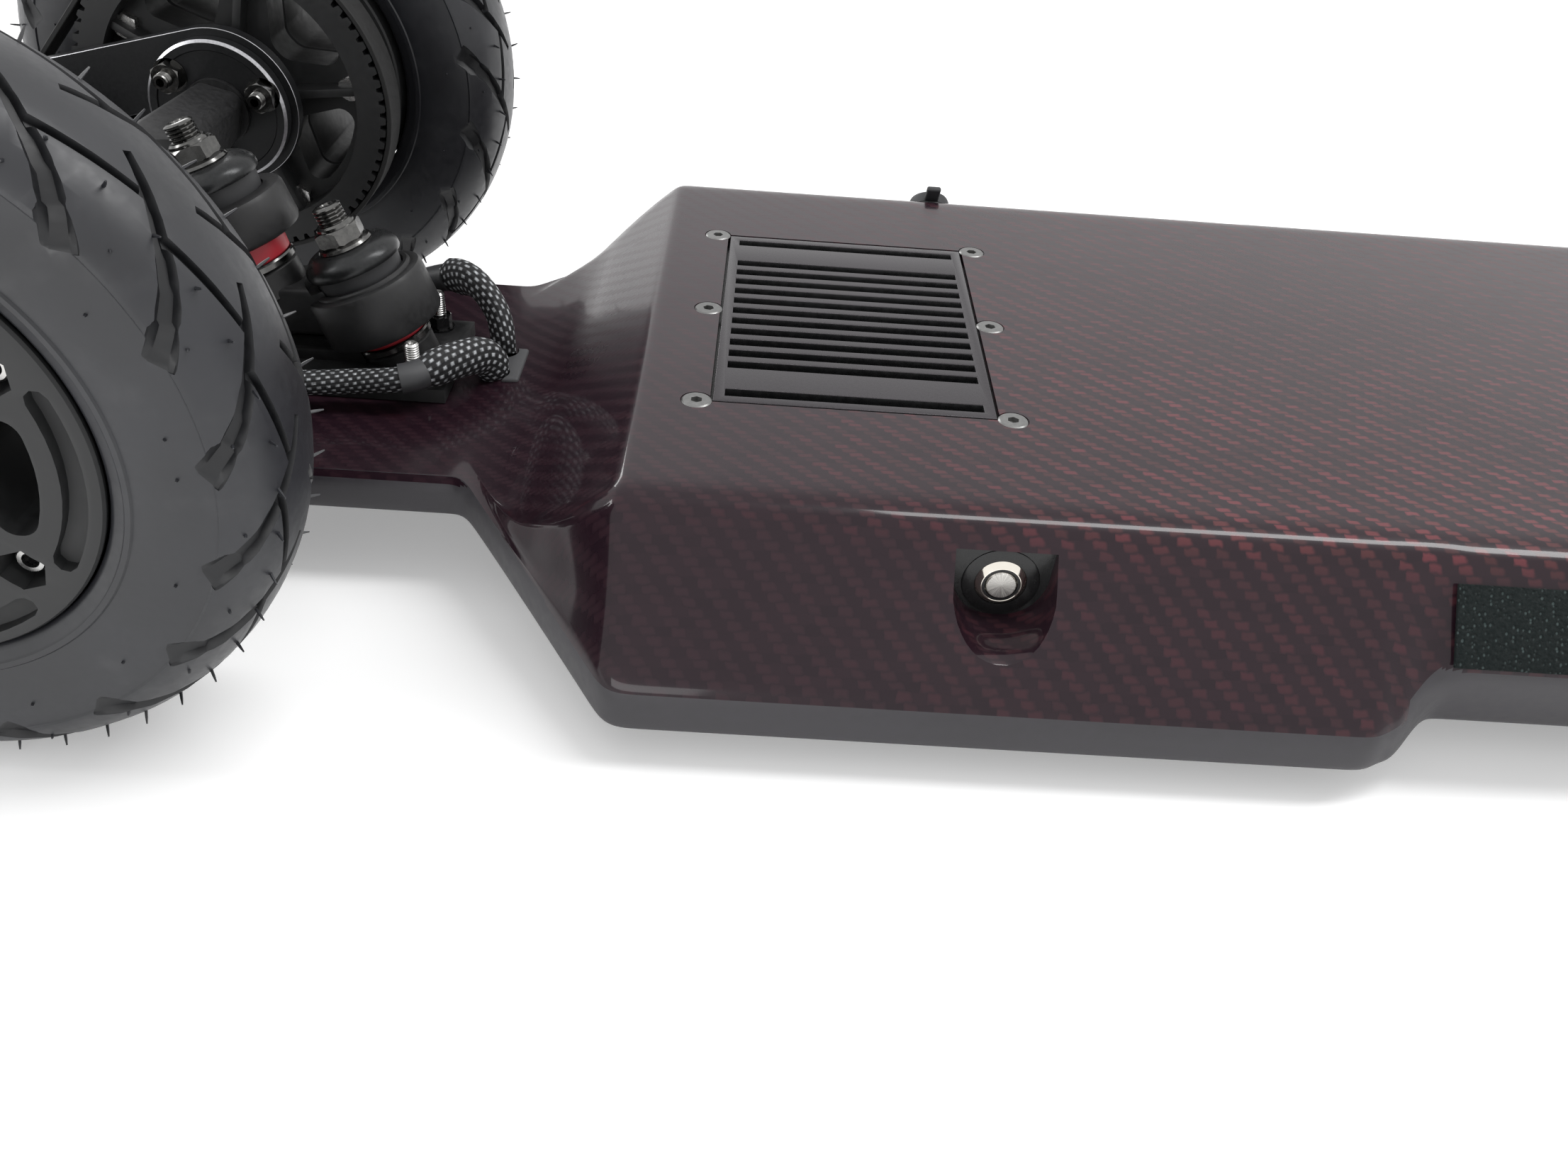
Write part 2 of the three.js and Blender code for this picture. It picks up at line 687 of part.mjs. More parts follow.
// The way of the motor cables, from the platform down and along into the bay
function cableTunnel() {
  const low = RIDE_Z + SKIN;
  const high = PLATFORM_Z - SKIN;
  const [lowY, highY] = [OUTLET_Y - OUTLET_HALF_Y, OUTLET_Y + OUTLET_HALF_Y];
  const [lowX, highX] = [OUTLET_X - OUTLET_HALF_X, OUTLET_X + OUTLET_HALF_X];
  const long = span([lowX, lowY, low], [CUT_OVER - BAY_END_X, highY, high]);
  return long.add(span([lowX, lowY, low], [highX, highY, PLATFORM_Z + CUT_OVER]));
}

function deckShell() {
  const seat = buttonSeat();
  const outside = deckOutside();
  const boss = seat.boss.intersect(outside);
  let body = outside.subtract(bay()).add(boss).subtract(seat.scoop);
  const ledge = LID_HALF_X - LID_LEDGE;
  const mouth = roundedRectangle(ledge, LID_HALF_Y - LID_LEDGE, LID_CORNER_R);
  const sinkHole = [SINK_LENGTH + 2 * SINK_CLEAR, SINK_WIDTH + 2 * SINK_CLEAR, 2 * SKIN];
  const button = [BUTTON_X, -SEAT_FLOOR_Y, BUTTON_Z];
  const nutSeat = [BUTTON_X, SKIN - SEAT_FLOOR_Y, BUTTON_Z];
  const cuts = [
    plate(mouth, RIDE_Z - CUT_OVER, BAY_FLOOR_Z + CUT_OVER, CORNER_STEPS),
    plate(lidShape(GAP), RIDE_Z - CUT_OVER, RIDE_Z + LID_THICK + GAP, CORNER_STEPS),
    block(sinkHole, [SINK_X, 0, FACE_Z]),
    bar(BUTTON_BARREL_R + GAP, button, [BUTTON_X, SEAT_HALF - SEAT_FLOOR_Y, BUTTON_Z]),
    bar(BUTTON_NUT_R + SKIN / 2, nutSeat, [BUTTON_X, BUTTON_BARREL_LONG - SEAT_FLOOR_Y, BUTTON_Z]),
    cableTunnel(),
  ];
  for (const [x, y] of sinkScrewPlaces()) cuts.push(screwSeat().translate([x, y, FACE_Z]));
  for (const [x, y] of lidScrewPlaces()) cuts.push(lidScrewSeat().translate([x, y, 0]));
  for (const [x, y] of boltPlaces()) cuts.push(deckBoltHole(x, y));
  cuts.push(socketHole());
  for (const cut of cuts) body = body.subtract(cut);
  return body;
}

// The lid's smaller screws point up from the riding face into the ledge
function lidScrewSeat() {
  return bar(LID_SCREW_R + GAP, [0, 0, RIDE_Z - CUT_OVER], [0, 0, RIDE_Z + LID_THICK + SKIN], HEX_SIDES);
}

function deckBoltHole(x, y) {
  return bar(BOLT_R + GAP, [x, y, RIDE_Z - CUT_OVER], [x, y, PLATFORM_Z + CUT_OVER], HEX_SIDES);
}

function socketHole() {
  const frame = onWall(CHARGE_T_SHARE, 0, 1);
  const body = bar(SOCKET_R + GAP, [CHARGE_X, 0, -SOCKET_LONG], [CHARGE_X, 0, CUT_OVER]);
  return body.transform(frame.matrix.toArray());
}

function deckLid() {
  let body = plate(lidShape(0), RIDE_Z, RIDE_Z + LID_THICK, CORNER_STEPS);
  for (const [x, y] of lidScrewPlaces()) body = body.subtract(lidScrewSeat().translate([x, y, 0]));
  return body;
}

// One sheet that follows the hollow of the riding face and leaves the lid free
function gripSheet() {
  const rings = GRIP_STATIONS.map((x) => {
    const out = halfWidth(Math.abs(x)) - GRIP_MARGIN;
    const half = [...rideBreaks(SHOULDER_HALF).slice(0, RIDE_STEPS), out].map((y) => Math.min(y, out));
    half[RIDE_STEPS - 1] = Math.min(half[RIDE_STEPS - 1], out - GRIP_THICK);
    const across = [...half.map((y) => -y).reverse(), ...half];
    const top = across.map((y) => [x, y, rideHeight(y) - GAP]);
    const bottom = across.map((y) => [x, y, rideHeight(y) - GAP - GRIP_THICK]).reverse();
    return [...top, ...bottom];
  });
  const window = plate(lidShape(GRIP_LID_MARGIN), 0, RIDE_Z + CUT_OVER, CORNER_STEPS);
  return skinned(rings).subtract(window);
}

function slotShape(halfLength, halfWide) {
  const shoulder = halfLength - halfWide;
  const corners = [[halfLength, 0], [shoulder, halfWide], [-shoulder, halfWide]];
  const mirrored = corners.map(([x, y]) => [-x, -y]);
  return new THREE.Shape([...corners, ...mirrored].map(([x, y]) => new THREE.Vector2(x, y)));
}

function sinkSlotPlaces() {
  const places = [-EDGE_SLOT_Y, EDGE_SLOT_Y];
  for (let i = 0; i < SLOT_COUNT; i++) places.push((i - (SLOT_COUNT - 1) / 2) * SLOT_PITCH);
  return places;
}

function heatSink() {
  const flangeTop = FACE_Z - SKIN - GAP;
  const flange = [SINK_LENGTH + 2 * SINK_FLANGE_OVER, SINK_WIDTH + 2 * SINK_FLANGE_OVER, SINK_FLANGE_THICK];
  const high = FACE_Z - SINK_BASE_Z;
  let body = block([SINK_LENGTH, SINK_WIDTH, high], [SINK_X, 0, SINK_BASE_Z + high / 2]);
  body = body.add(block(flange, [SINK_X, 0, flangeTop - SINK_FLANGE_THICK / 2]));
  const slot = slotShape(SINK_LENGTH / 2 - SLOT_END_MARGIN, SLOT_WIDTH / 2);
  for (const y of sinkSlotPlaces()) {
    const groove = plate(slot, FACE_Z - SLOT_DEPTH, FACE_Z + CUT_OVER);
    body = body.subtract(groove.translate([SINK_X, y, 0]));
  }
  for (const [x, y] of sinkScrewPlaces()) body = body.subtract(screwSeat().translate([x, y, FACE_Z]));
  return body;
}

// Power button: a threaded barrel with a flange and nut, and the cap that is pressed
function buttonBody() {
  const back = BUTTON_BARREL_LONG;
  const front = -GAP - BUTTON_FLANGE_THICK;
  const bore = BUTTON_CAP_R + GAP;
  const deep = front + BUTTON_CAP_LONG + BUTTON_TRAVEL + GAP;
  const bevel = BUTTON_FLANGE_THICK / 2;
  const profile = [
    [0, back], [BUTTON_BARREL_R, back], [BUTTON_BARREL_R, -GAP], [BUTTON_FLANGE_R, -GAP],
    [BUTTON_FLANGE_R, front + bevel], [BUTTON_FLANGE_R - bevel, front], [bore, front], [bore, deep], [0, deep],
  ];
  const nutFront = SKIN + GAP;
  const nut = slab(new THREE.Shape(polygon(BUTTON_NUT_R, 6)), nutFront, nutFront + BUTTON_NUT_THICK);
  const clear = bar(bore, [0, 0, 0], [0, deep, 0]);
  return turnedAboutY(profile).add(nut.subtract(clear));
}

function buttonCap() {
  const front = -GAP - BUTTON_FLANGE_THICK - BUTTON_PROUD;
  return bar(BUTTON_CAP_R, [0, front, 0], [0, front + BUTTON_CAP_LONG, 0]);
}

function powerButton() {
  const group = new THREE.Group();
  group.position.set(BUTTON_X, -SEAT_FLOOR_Y, BUTTON_Z);
  group.add(piece('power_button_body', STEEL, buttonBody()));
  group.add(piece('power_button_cap', STEEL, buttonCap()));
  return group;
}

// Charge socket: its flange rests on the wall and its bore takes the plug of the cap
function chargeSocket() {
  const flangeTop = GAP + SOCKET_FLANGE_THICK;
  const profile = [
    [0, -SOCKET_LONG + GAP], [SOCKET_R, -SOCKET_LONG + GAP], [SOCKET_R, GAP], [SOCKET_FLANGE_R, GAP],
    [SOCKET_FLANGE_R, flangeTop], [SOCKET_BORE_R, flangeTop], [SOCKET_BORE_R, flangeTop - SOCKET_BORE_DEEP],
    [0, flangeTop - SOCKET_BORE_DEEP],
  ];
  return turned(profile);
}

function chargeCap() {
  const low = 2 * GAP + SOCKET_FLANGE_THICK;
  const high = low + CAP_THICK;
  const round = CAP_THICK / 3;
  const plug = low - CAP_PLUG_LONG;
  const profile = [
    [0, plug], [CAP_PLUG_R, plug], [CAP_PLUG_R, low], [CAP_R, low], [CAP_R, high - round],
    [CAP_R - round, high], [0, high],
  ];
  const tabFar = CAP_R + CAP_TAB_LONG;
  const tab = span([-CAP_TAB_WIDE / 2, CAP_R / 2, low], [CAP_TAB_WIDE / 2, tabFar, low + CAP_TAB_THICK]);
  const strapHalf = CAP_STRAP_WIDE / 2;
  const strap = span([-strapHalf, -CAP_STRAP_END, low], [strapHalf, -CAP_R / 2, low + CAP_STRAP_THICK]);
  return join([turned(profile), tab, strap]);
}

function chargePort() {
  const group = onWall(CHARGE_T_SHARE, 0, 1);
  group.position.x = CHARGE_X;
  group.add(piece('charge_socket', BLACK_PLASTIC, chargeSocket()));
  const cap = piece('charge_cap', BLACK_RUBBER, chargeCap());
  cap.rotation.z = Math.PI;
  group.add(cap);
  return group;
}

function hookStrip(side) {
  const frame = onWall(STRIP_TOP_T_SHARE, GAP, side);
  const low = side > 0 ? 0 : -STRIP_WIDE;
  const body = span([-STRIP_HALF_X, low, 0], [STRIP_HALF_X, low + STRIP_WIDE, STRIP_THICK]);
  return body.transform(frame.matrix.toArray());
}

// Battery, speed controller and radio receiver, each seated under the face or the heat sink
function batteryPack() {
  const [long, wide, high] = BATTERY_SIZE;
  const top = FACE_Z - SKIN - GAP;
  const shape = new THREE.Shape(
    [[-1, -1], [1, -1], [1, 1], [-1, 1]].flatMap(([x, y]) => {
      const corner = [(x * long) / 2, (y * wide) / 2];
      const a = new THREE.Vector2(corner[0] - x * BATTERY_CHAMFER, corner[1]);
      const b = new THREE.Vector2(corner[0], corner[1] - y * BATTERY_CHAMFER);
      return x * y > 0 ? [b, a] : [a, b];
    }),
  );
  return plate(shape, top - high, top).translate([BATTERY_X, 0, 0]);
}

function speedController() {
  const [long, wide, high] = CONTROLLER_SIZE;
  const top = SINK_BASE_Z - GAP;
  const board = block([long, wide, high / 5], [SINK_X, 0, top - high / 10]);
  const cans = [-0.33, 0, 0.33].map((share) => {
    const y = share * wide;
    return bar(high / 3, [SINK_X - long / 3, y, top - high / 2], [SINK_X + long / 3, y, top - high / 2], SMALL_SIDES);
  });
  return join([board, ...cans]);
}

// Places on a kingpin's axis, s measured down from the tip of its thread
const DOWN = [Math.sin(LEAN), -Math.cos(LEAN)];

function onKingpin(tip, s) {
  return [tip[0] + DOWN[0] * s, tip[1] + DOWN[1] * s];
}

// A group whose -Z axis runs down a kingpin from the tip of its thread
function kingpinFrame(tip) {
  const group = new THREE.Group();
  group.position.set(tip[0], 0, tip[1]);
  group.rotation.y = -LEAN;
  group.updateMatrix();
  return group;
}

function inFrame(body, tip) {
  return body.transform(kingpinFrame(tip).matrix.toArray());
}

// The bolt with the nut and the two cup washers that it clamps
function kingpin(endS) {
  const bevel = KINGPIN_R / 5;
  const shaft = turned([[0, 0], [KINGPIN_R - bevel, 0], [KINGPIN_R, -bevel], [KINGPIN_R, -endS], [0, -endS]]);
  const nut = plate(new THREE.Shape(polygon(NUT_R, 6)), -CUP_TOP_S, -NUT_TOP_S);
  return join([shaft, nut, topCup(), lowCup()]);
}

function topCup() {
  const low = CUP_TOP_S + CUP_THICK;
  const round = CUP_THICK / 2;
  return turned([[0, -CUP_TOP_S], [CUP_R - round, -CUP_TOP_S], [CUP_R, -CUP_TOP_S - round], [CUP_R, -low], [0, -low]]);
}

function lowCup() {
  return bar(LOW_CUP_R, [0, 0, GAP - SEAT_S], [0, 0, LOW_CUP_THICK + GAP - SEAT_S]);
}

// What is cut from a casting so that the low cup sits square on its post
function cupRoom() {
  return bar(LOW_CUP_R + GAP, [0, 0, -SEAT_S], [0, 0, LOW_CUP_THICK * 2 - SEAT_S]);
}

function topBushing() {
  const top = -(CUP_TOP_S + CUP_THICK + GAP);
  const low = GAP - (EYE_TOP_S + EYE_WEB_TOP);
  return ring(KINGPIN_R + GAP, TOP_BUSHING_R, low, top, SEAT_SIDES);
}

function lowBushing() {
  const top = -(EYE_TOP_S + EYE_WEB_TOP + EYE_WEB_THICK + GAP);
  const low = LOW_CUP_THICK - SEAT_S + 2 * GAP;
  return ring(KINGPIN_R + GAP, LOW_BUSHING_R, low, top, SEAT_SIDES);
}

// The eye of the link or the hanger, before its seats are bored
function eyeBlank(high, lip) {
  const top = -EYE_TOP_S;
  const low = top - high;
  const round = EYE_R / 10;
  const lipProfile = lip
    ? [[0, top + EYE_LIP_RISE], [EYE_LIP_R, top + EYE_LIP_RISE], [EYE_LIP_R, top], [EYE_R - round, top]]
    : [[0, top], [EYE_R - round, top]];
  return turned([...lipProfile, [EYE_R, top - round], [EYE_R, low + round], [EYE_R - round, low], [0, low]], BORE_SIDES);
}

function eyeBores(high) {
  const webTop = -(EYE_TOP_S + EYE_WEB_TOP);
  const webLow = webTop - EYE_WEB_THICK;
  const above = -EYE_TOP_S + EYE_LIP_RISE + GAP;
  const below = -EYE_TOP_S - high - GAP;
  return join([
    bar(TOP_BUSHING_R + GAP, [0, 0, webTop], [0, 0, above], SEAT_SIDES),
    bar(EYE_HOLE_R, [0, 0, webLow - GAP], [0, 0, webTop + GAP], SEAT_SIDES),
    bar(LOW_BUSHING_R + GAP, [0, 0, below], [0, 0, webLow], SEAT_SIDES),
  ]);
}

const INNER_EYE = onKingpin(INNER_TIP, EYE_TOP_S + LINK_EYE_HIGH / 2);
const OUTER_EYE = onKingpin(OUTER_TIP, EYE_TOP_S + HANGER_EYE_HIGH / 2);
const INNER_SLOPE = Math.atan2(INNER_EYE[1] - INNER_PIVOT[1], INNER_EYE[0] - INNER_PIVOT[0]);

// A point on a pivot axis, at a distance outboard of the eye's centre
function onPivot(eye, slope, distance) {
  return [eye[0] - Math.cos(slope) * distance, 0, eye[1] - Math.sin(slope) * distance];
}

const INNER_CUP_START = 45;
const INNER_CUP_END = INNER_CUP_START + PIVOT_CUP_LONG;
const OUTER_CUP_START = 26.5;
const OUTER_CUP_END = OUTER_CUP_START + PIVOT_CUP_LONG;

function pivotCup(eye, slope, start, end) {
  return bar(PIVOT_CUP_R, onPivot(eye, slope, start), onPivot(eye, slope, end));
}

function pivotBore(eye, slope, start, end) {
  const radius = NOSE_R + NOSE_CLEAR;
  return bar(radius, onPivot(eye, slope, start - CUT_OVER), onPivot(eye, slope, end - SKIN + GAP));
}

function nose(eye, slope, from, end) {
  return bar(NOSE_R, onPivot(eye, slope, from), onPivot(eye, slope, end - SKIN - GAP));
}

function baseplate() {
  const low = PLATFORM_Z + GAP;
  const top = low + BASE_THICK;
  const halfX = (BASE_FAR_X - BASE_NEAR_X) / 2;
  const shape = roundedRectangle(halfX, BASE_HALF_Y, BASE_THICK);
  let body = plate(shape, low, top, 3).translate([BASE_NEAR_X + halfX, 0, 0]);
  const seat = bar(POST_R, [0, 0, -SEAT_S], [0, 0, -SEAT_S - POST_R]);
  body = body.add(inFrame(seat, INNER_TIP));
  body = body.add(pivotCup(INNER_EYE, INNER_SLOPE, INNER_CUP_START, INNER_CUP_END));
  const under = span([-AXLE_X, -AXLE_X, low - AXLE_X], [AXLE_X, AXLE_X, low]);
  body = body.subtract(under);
  body = body.subtract(inFrame(cupRoom(), INNER_TIP));
  const shaft = bar(KINGPIN_R + GAP, [0, 0, 0], [0, 0, -KINGPIN_END_INNER_S - GAP]);
  body = body.subtract(inFrame(shaft, INNER_TIP));
  body = body.subtract(pivotBore(INNER_EYE, INNER_SLOPE, INNER_CUP_START, INNER_CUP_END));
  for (const x of [BOLT_INNER_X, BOLT_INNER_X - BOLT_SPAN_X]) {
    for (const y of [-BOLT_SPAN_Y / 2, BOLT_SPAN_Y / 2]) {
      body = body.subtract(bar(BOLT_R + GAP, [x, y, low - CUT_OVER], [x, y, top + CUT_OVER], HEX_SIDES));
    }
  }
  return body;
}

function link() {
  let body = inFrame(eyeBlank(LINK_EYE_HIGH, true), INNER_TIP);
  const post = bar(POST_R, [0, 0, -SEAT_S], [0, 0, -LINK_POST_END_S]);
  body = body.add(inFrame(post, OUTER_TIP));
  const postLow = onKingpin(OUTER_TIP, LINK_POST_END_S);
  const armTop = postLow[1] + POST_R / 2;
  const armLow = postLow[1] - POST_R / 4;
  const cupMid = onPivot(OUTER_EYE, OUTER_PIVOT_SLOPE, (OUTER_CUP_START + OUTER_CUP_END) / 2);
  const armHalf = POST_R * 0.6;
  body = body.add(span([cupMid[0], -armHalf, armLow], [postLow[0], armHalf, armTop]));
  const webHalf = POST_R * 0.85;
  const webLow = INNER_EYE[1] - LINK_EYE_HIGH / 2;
  body = body.add(span([postLow[0] - POST_R / 4, -webHalf, webLow], [INNER_EYE[0], webHalf, armTop]));
  body = body.add(pivotCup(OUTER_EYE, OUTER_PIVOT_SLOPE, OUTER_CUP_START, OUTER_CUP_END));
  body = body.subtract(inFrame(eyeBores(LINK_EYE_HIGH), INNER_TIP));
  const overEye = bar(CUP_R + CUP_ROOM, [0, 0, 0], [0, 0, -EYE_TOP_S + EYE_LIP_RISE + GAP]);
  body = body.subtract(inFrame(overEye, INNER_TIP));
  body = body.subtract(inFrame(cupRoom(), OUTER_TIP));
  const kingpinRoom = bar(KINGPIN_R + GAP, [0, 0, 0], [0, 0, -KINGPIN_END_OUTER_S - GAP]);
  body = body.subtract(inFrame(kingpinRoom, OUTER_TIP));
  body = body.subtract(pivotBore(OUTER_EYE, OUTER_PIVOT_SLOPE, OUTER_CUP_START, OUTER_CUP_END));
  return body.add(nose(INNER_EYE, INNER_SLOPE, EYE_R - GAP, INNER_CUP_END));
}

// The hanger's bar: a chamfered section that tapers from the middle to both ends
function hangerBar() {
  const section = (halfX, halfZ, y) => {
    const chamfer = BAR_CHAMFER_SHARE * halfX;
    const corners = [];
    for (const [sx, sz] of [[1, 1], [-1, 1], [-1, -1], [1, -1]]) {
      const a = [sx * halfX, sz * (halfZ - chamfer)];
      const b = [sx * (halfX - chamfer), sz * halfZ];
      corners.push(...(sx * sz > 0 ? [a, b] : [b, a]));
    }
    return corners.map(([x, z]) => [
      y,
      x * Math.cos(BAR_TURN) + z * Math.sin(BAR_TURN),
      z * Math.cos(BAR_TURN) - x * Math.sin(BAR_TURN),
    ]);
  };
  const rings = [
    section(BAR_END_HALF, BAR_END_HALF, -BAR_END_Y),
    section(BAR_MID_HALF_X, BAR_MID_HALF_Z, -EYE_R),
    section(BAR_MID_HALF_X, BAR_MID_HALF_Z, EYE_R),
    section(BAR_END_HALF, BAR_END_HALF, BAR_END_Y),
  ];
  const quarterTurn = new THREE.Matrix4().makeRotationZ(Math.PI / 2);
  return skinned(rings).transform(quarterTurn.toArray()).translate([0, 0, AXLE_Z]);
}

const MOTOR_AT = [-MOTOR_REACH * Math.cos(MOTOR_DROP), AXLE_Z - MOTOR_REACH * Math.sin(MOTOR_DROP)];

function hanger(driven) {
  const spindleEnd = WHEEL_Y - BEARING_SEAT_Y - GAP;
  const parts = [hangerBar(), inFrame(eyeBlank(HANGER_EYE_HIGH, false), OUTER_TIP)];
  for (const side of [-1, 1]) {
    parts.push(bar(SPINDLE_R, [0, side * (BAR_END_Y - SPINDLE_R), AXLE_Z], [0, side * spindleEnd, AXLE_Z]));
    if (driven) {
      const out = BAR_END_Y + FLANGE_THICK;
      parts.push(bar(FLANGE_R, [0, side * BAR_END_Y, AXLE_Z], [0, side * out, AXLE_Z], BORE_SIDES));
    }
  }
  let body = join(parts);
  const room = bar(CUP_R + CUP_ROOM, [0, 0, CUT_OVER], [0, 0, -EYE_TOP_S + GAP]);
  body = body.subtract(inFrame(room, OUTER_TIP));
  body = body.subtract(inFrame(eyeBores(HANGER_EYE_HIGH), OUTER_TIP));
  const neck = bar(AXLE_NECK_R + GAP, [0, -AXLE_NECK_Y, AXLE_Z], [0, AXLE_NECK_Y, AXLE_Z]);
  body = body.subtract(neck);
  for (const side of [-1, 1]) {
    const inner = [0, side * (AXLE_NECK_Y - 2 * GAP), AXLE_Z];
    body = body.subtract(bar(AXLE_R + GAP, inner, [0, side * (spindleEnd + CUT_OVER), AXLE_Z]));
  }
  return body.add(nose(OUTER_EYE, OUTER_PIVOT_SLOPE, LOW_BUSHING_R + SKIN, OUTER_CUP_END));
}

// One axle right through the hanger, necked where it passes the kingpin, with a nut at each end
function axle() {
  const end = WHEEL_Y + AXLE_OUT_OVER;
  const nutIn = WHEEL_Y + BEARING_SEAT_Y + GAP;
  const hex = new THREE.Shape(polygon(AXLE_NUT_R, 6));
  let body = bar(AXLE_NECK_R, [0, -AXLE_NECK_Y, AXLE_Z], [0, AXLE_NECK_Y, AXLE_Z]);
  for (const side of [-1, 1]) {
    body = body.add(bar(AXLE_R, [0, side * (AXLE_NECK_Y - GAP), AXLE_Z], [0, side * end, AXLE_Z]));
    const ys = [side * nutIn, side * (nutIn + AXLE_NUT_THICK)].sort((a, b) => a - b);
    body = body.add(slab(hex, ...ys).translate([0, 0, AXLE_Z]));
  }
  return body;
}

// A mount plate on the near side: two round ends and straight flanks
function motorMount() {
  const inner = BAR_END_Y + FLANGE_THICK + GAP;
  const outer = inner + PLATE_THICK;
  const turn = MOTOR_DROP;
  const shape = new THREE.Shape();
  shape.absarc(0, 0, PLATE_R, -Math.PI / 2, Math.PI / 2);
  shape.absarc(-MOTOR_REACH, 0, PLATE_R, Math.PI / 2, 1.5 * Math.PI);
  const level = slab(shape, -outer, -inner, SMALL_SIDES);
  const matrix = new THREE.Matrix4().makeRotationY(-turn);
  let body = level.transform(matrix.toArray()).translate([0, 0, AXLE_Z]);
  const low = -outer - CUT_OVER;
  const high = -inner + CUT_OVER;
  body = body.subtract(bar(SPINDLE_R + GAP, [0, low, AXLE_Z], [0, high, AXLE_Z]));
  const [mx, mz] = MOTOR_AT;
  body = body.subtract(bar(STATOR_BORE_R, [mx, low, mz], [mx, high, mz]));
  return body;
}

// Motor parts turn about Y; the mount plate's inner face is at y = 0 and the can lies towards +y
function motorBase() {
  const start = GAP;
  const plateEnd = start + MOTOR_BASE_LONG;
  const statorEnd = MOTOR_LONG - CAN_END_THICK - SKIN;
  const bore = MOTOR_SHAFT_R + GAP;
  const profile = [
    [bore, start], [MOTOR_R - GAP, start], [MOTOR_R - GAP, plateEnd], [STATOR_R, plateEnd],
    [STATOR_R, statorEnd], [bore, statorEnd], [bore, start],
  ];
  return turnedAboutY(profile, BORE_SIDES);
}

function motorCan() {
  const start = MOTOR_BASE_LONG + 3 * GAP;
  const end = MOTOR_LONG;
  const inside = end - CAN_END_THICK;
  const wall = MOTOR_R - MOTOR_WALL;
  const pulleyEnd = BAR_END_Y + FLANGE_THICK + GAP - BELT_EDGE_Y - BELT_WIDTH - CUT_OVER;
  const round = MOTOR_WALL;
  const profile = [
    [0, pulleyEnd], [MOTOR_SHAFT_R, pulleyEnd], [MOTOR_SHAFT_R, inside], [wall, inside], [wall, start],
    [MOTOR_R, start], [MOTOR_R, end - round], [MOTOR_R - round, end], [0, end],
  ];
  return turnedAboutY(profile, BORE_SIDES);
}

// Belt pulleys: flat lands with a groove between each pair
function toothedOutline(teeth, tipR) {
  const points = [];
  const pitch = (2 * Math.PI) / teeth;
  for (let i = 0; i < teeth; i++) {
    for (const [share, radius] of [[-0.2, tipR], [0.2, tipR], [0.5, tipR - TOOTH_DEEP]]) {
      const angle = (i + share) * pitch;
      points.push(new THREE.Vector2(radius * Math.cos(angle), radius * Math.sin(angle)));
    }
  }
  return new THREE.Shape(points);
}

function tipRadius(teeth) {
  return (teeth * BELT_TOOTH_PITCH) / (2 * Math.PI) - PITCH_TO_TIP;
}

function openingPoints(middle) {
  const at = (radius, angle) => {
    const turn = middle + angle;
    return new THREE.Vector2(radius * Math.cos(turn), radius * Math.sin(turn));
  };
  const points = [-0.8, 0, 0.8].map((share) => at(OPENING_R, share * OPENING_HALF));
  points.push(at(OPENING_CORNER_R, OPENING_HALF));
  points.push(at(OPENING_TIP_R, OPENING_TIP_HALF), at(OPENING_TIP_R, -OPENING_TIP_HALF));
  points.push(at(OPENING_CORNER_R, -OPENING_HALF));
  return points;
}

function addOpenings(shape) {
  for (let i = 0; i < SPOKES; i++) {
    shape.holes.push(new THREE.Path(openingPoints((2 * Math.PI * i) / SPOKES)));
  }
  return shape;
}

// The wheel pulley in the wheel's frame: outboard is -y, and it bolts to the hub's inner face
function wheelPulley() {
  const tip = tipRadius(WHEEL_TEETH);
  const beltOut = WHEEL_Y - BELT_EDGE_Y - BELT_WIDTH;
  const beltIn = beltOut + BELT_WIDTH;
  const rim = bar(tip, [0, beltOut, 0], [0, beltIn, 0], BIG_SIDES);
  const hollowR = tip - TOOTH_DEEP - PULLEY_RING_THICK;
  const hollow = bar(hollowR, [0, beltOut + PULLEY_WEB_THICK, 0], [0, beltIn + CUT_OVER, 0], BIG_SIDES);
  const neck = bar(hollowR, [0, HUB_PULLEY_FACE + GAP, 0], [0, beltOut + GAP, 0], BIG_SIDES);
  let body = rim.subtract(hollow).add(neck);
  const low = HUB_PULLEY_FACE - CUT_OVER;
  const high = beltIn + CUT_OVER;
  for (let i = 0; i < SPOKES; i++) {
    const shape = new THREE.Shape(openingPoints((2 * Math.PI * i) / SPOKES));
    body = body.subtract(slab(shape, low, high));
  }
  return body.subtract(bar(BEARING_R + SKIN, [0, low, 0], [0, high, 0]));
}

function motorPulley() {
  const tip = tipRadius(MOTOR_TEETH);
  const low = BELT_EDGE_Y - PULLEY_SIDE_CLEAR;
  const high = BELT_EDGE_Y + BELT_WIDTH + PULLEY_SIDE_CLEAR;
  const teeth = slab(toothedOutline(MOTOR_TEETH, tip), low, high);
  const inner = bar(PULLEY_FLANGE_R, [0, low - PULLEY_FLANGE_THICK, 0], [0, low, 0]);
  const outer = bar(PULLEY_FLANGE_R, [0, high, 0], [0, high + PULLEY_FLANGE_THICK, 0]);
  const bore = bar(MOTOR_SHAFT_R + GAP, [0, 0, 0], [0, WHEEL_Y, 0], SEAT_SIDES);
  return join([teeth, inner, outer]).subtract(bore);
}

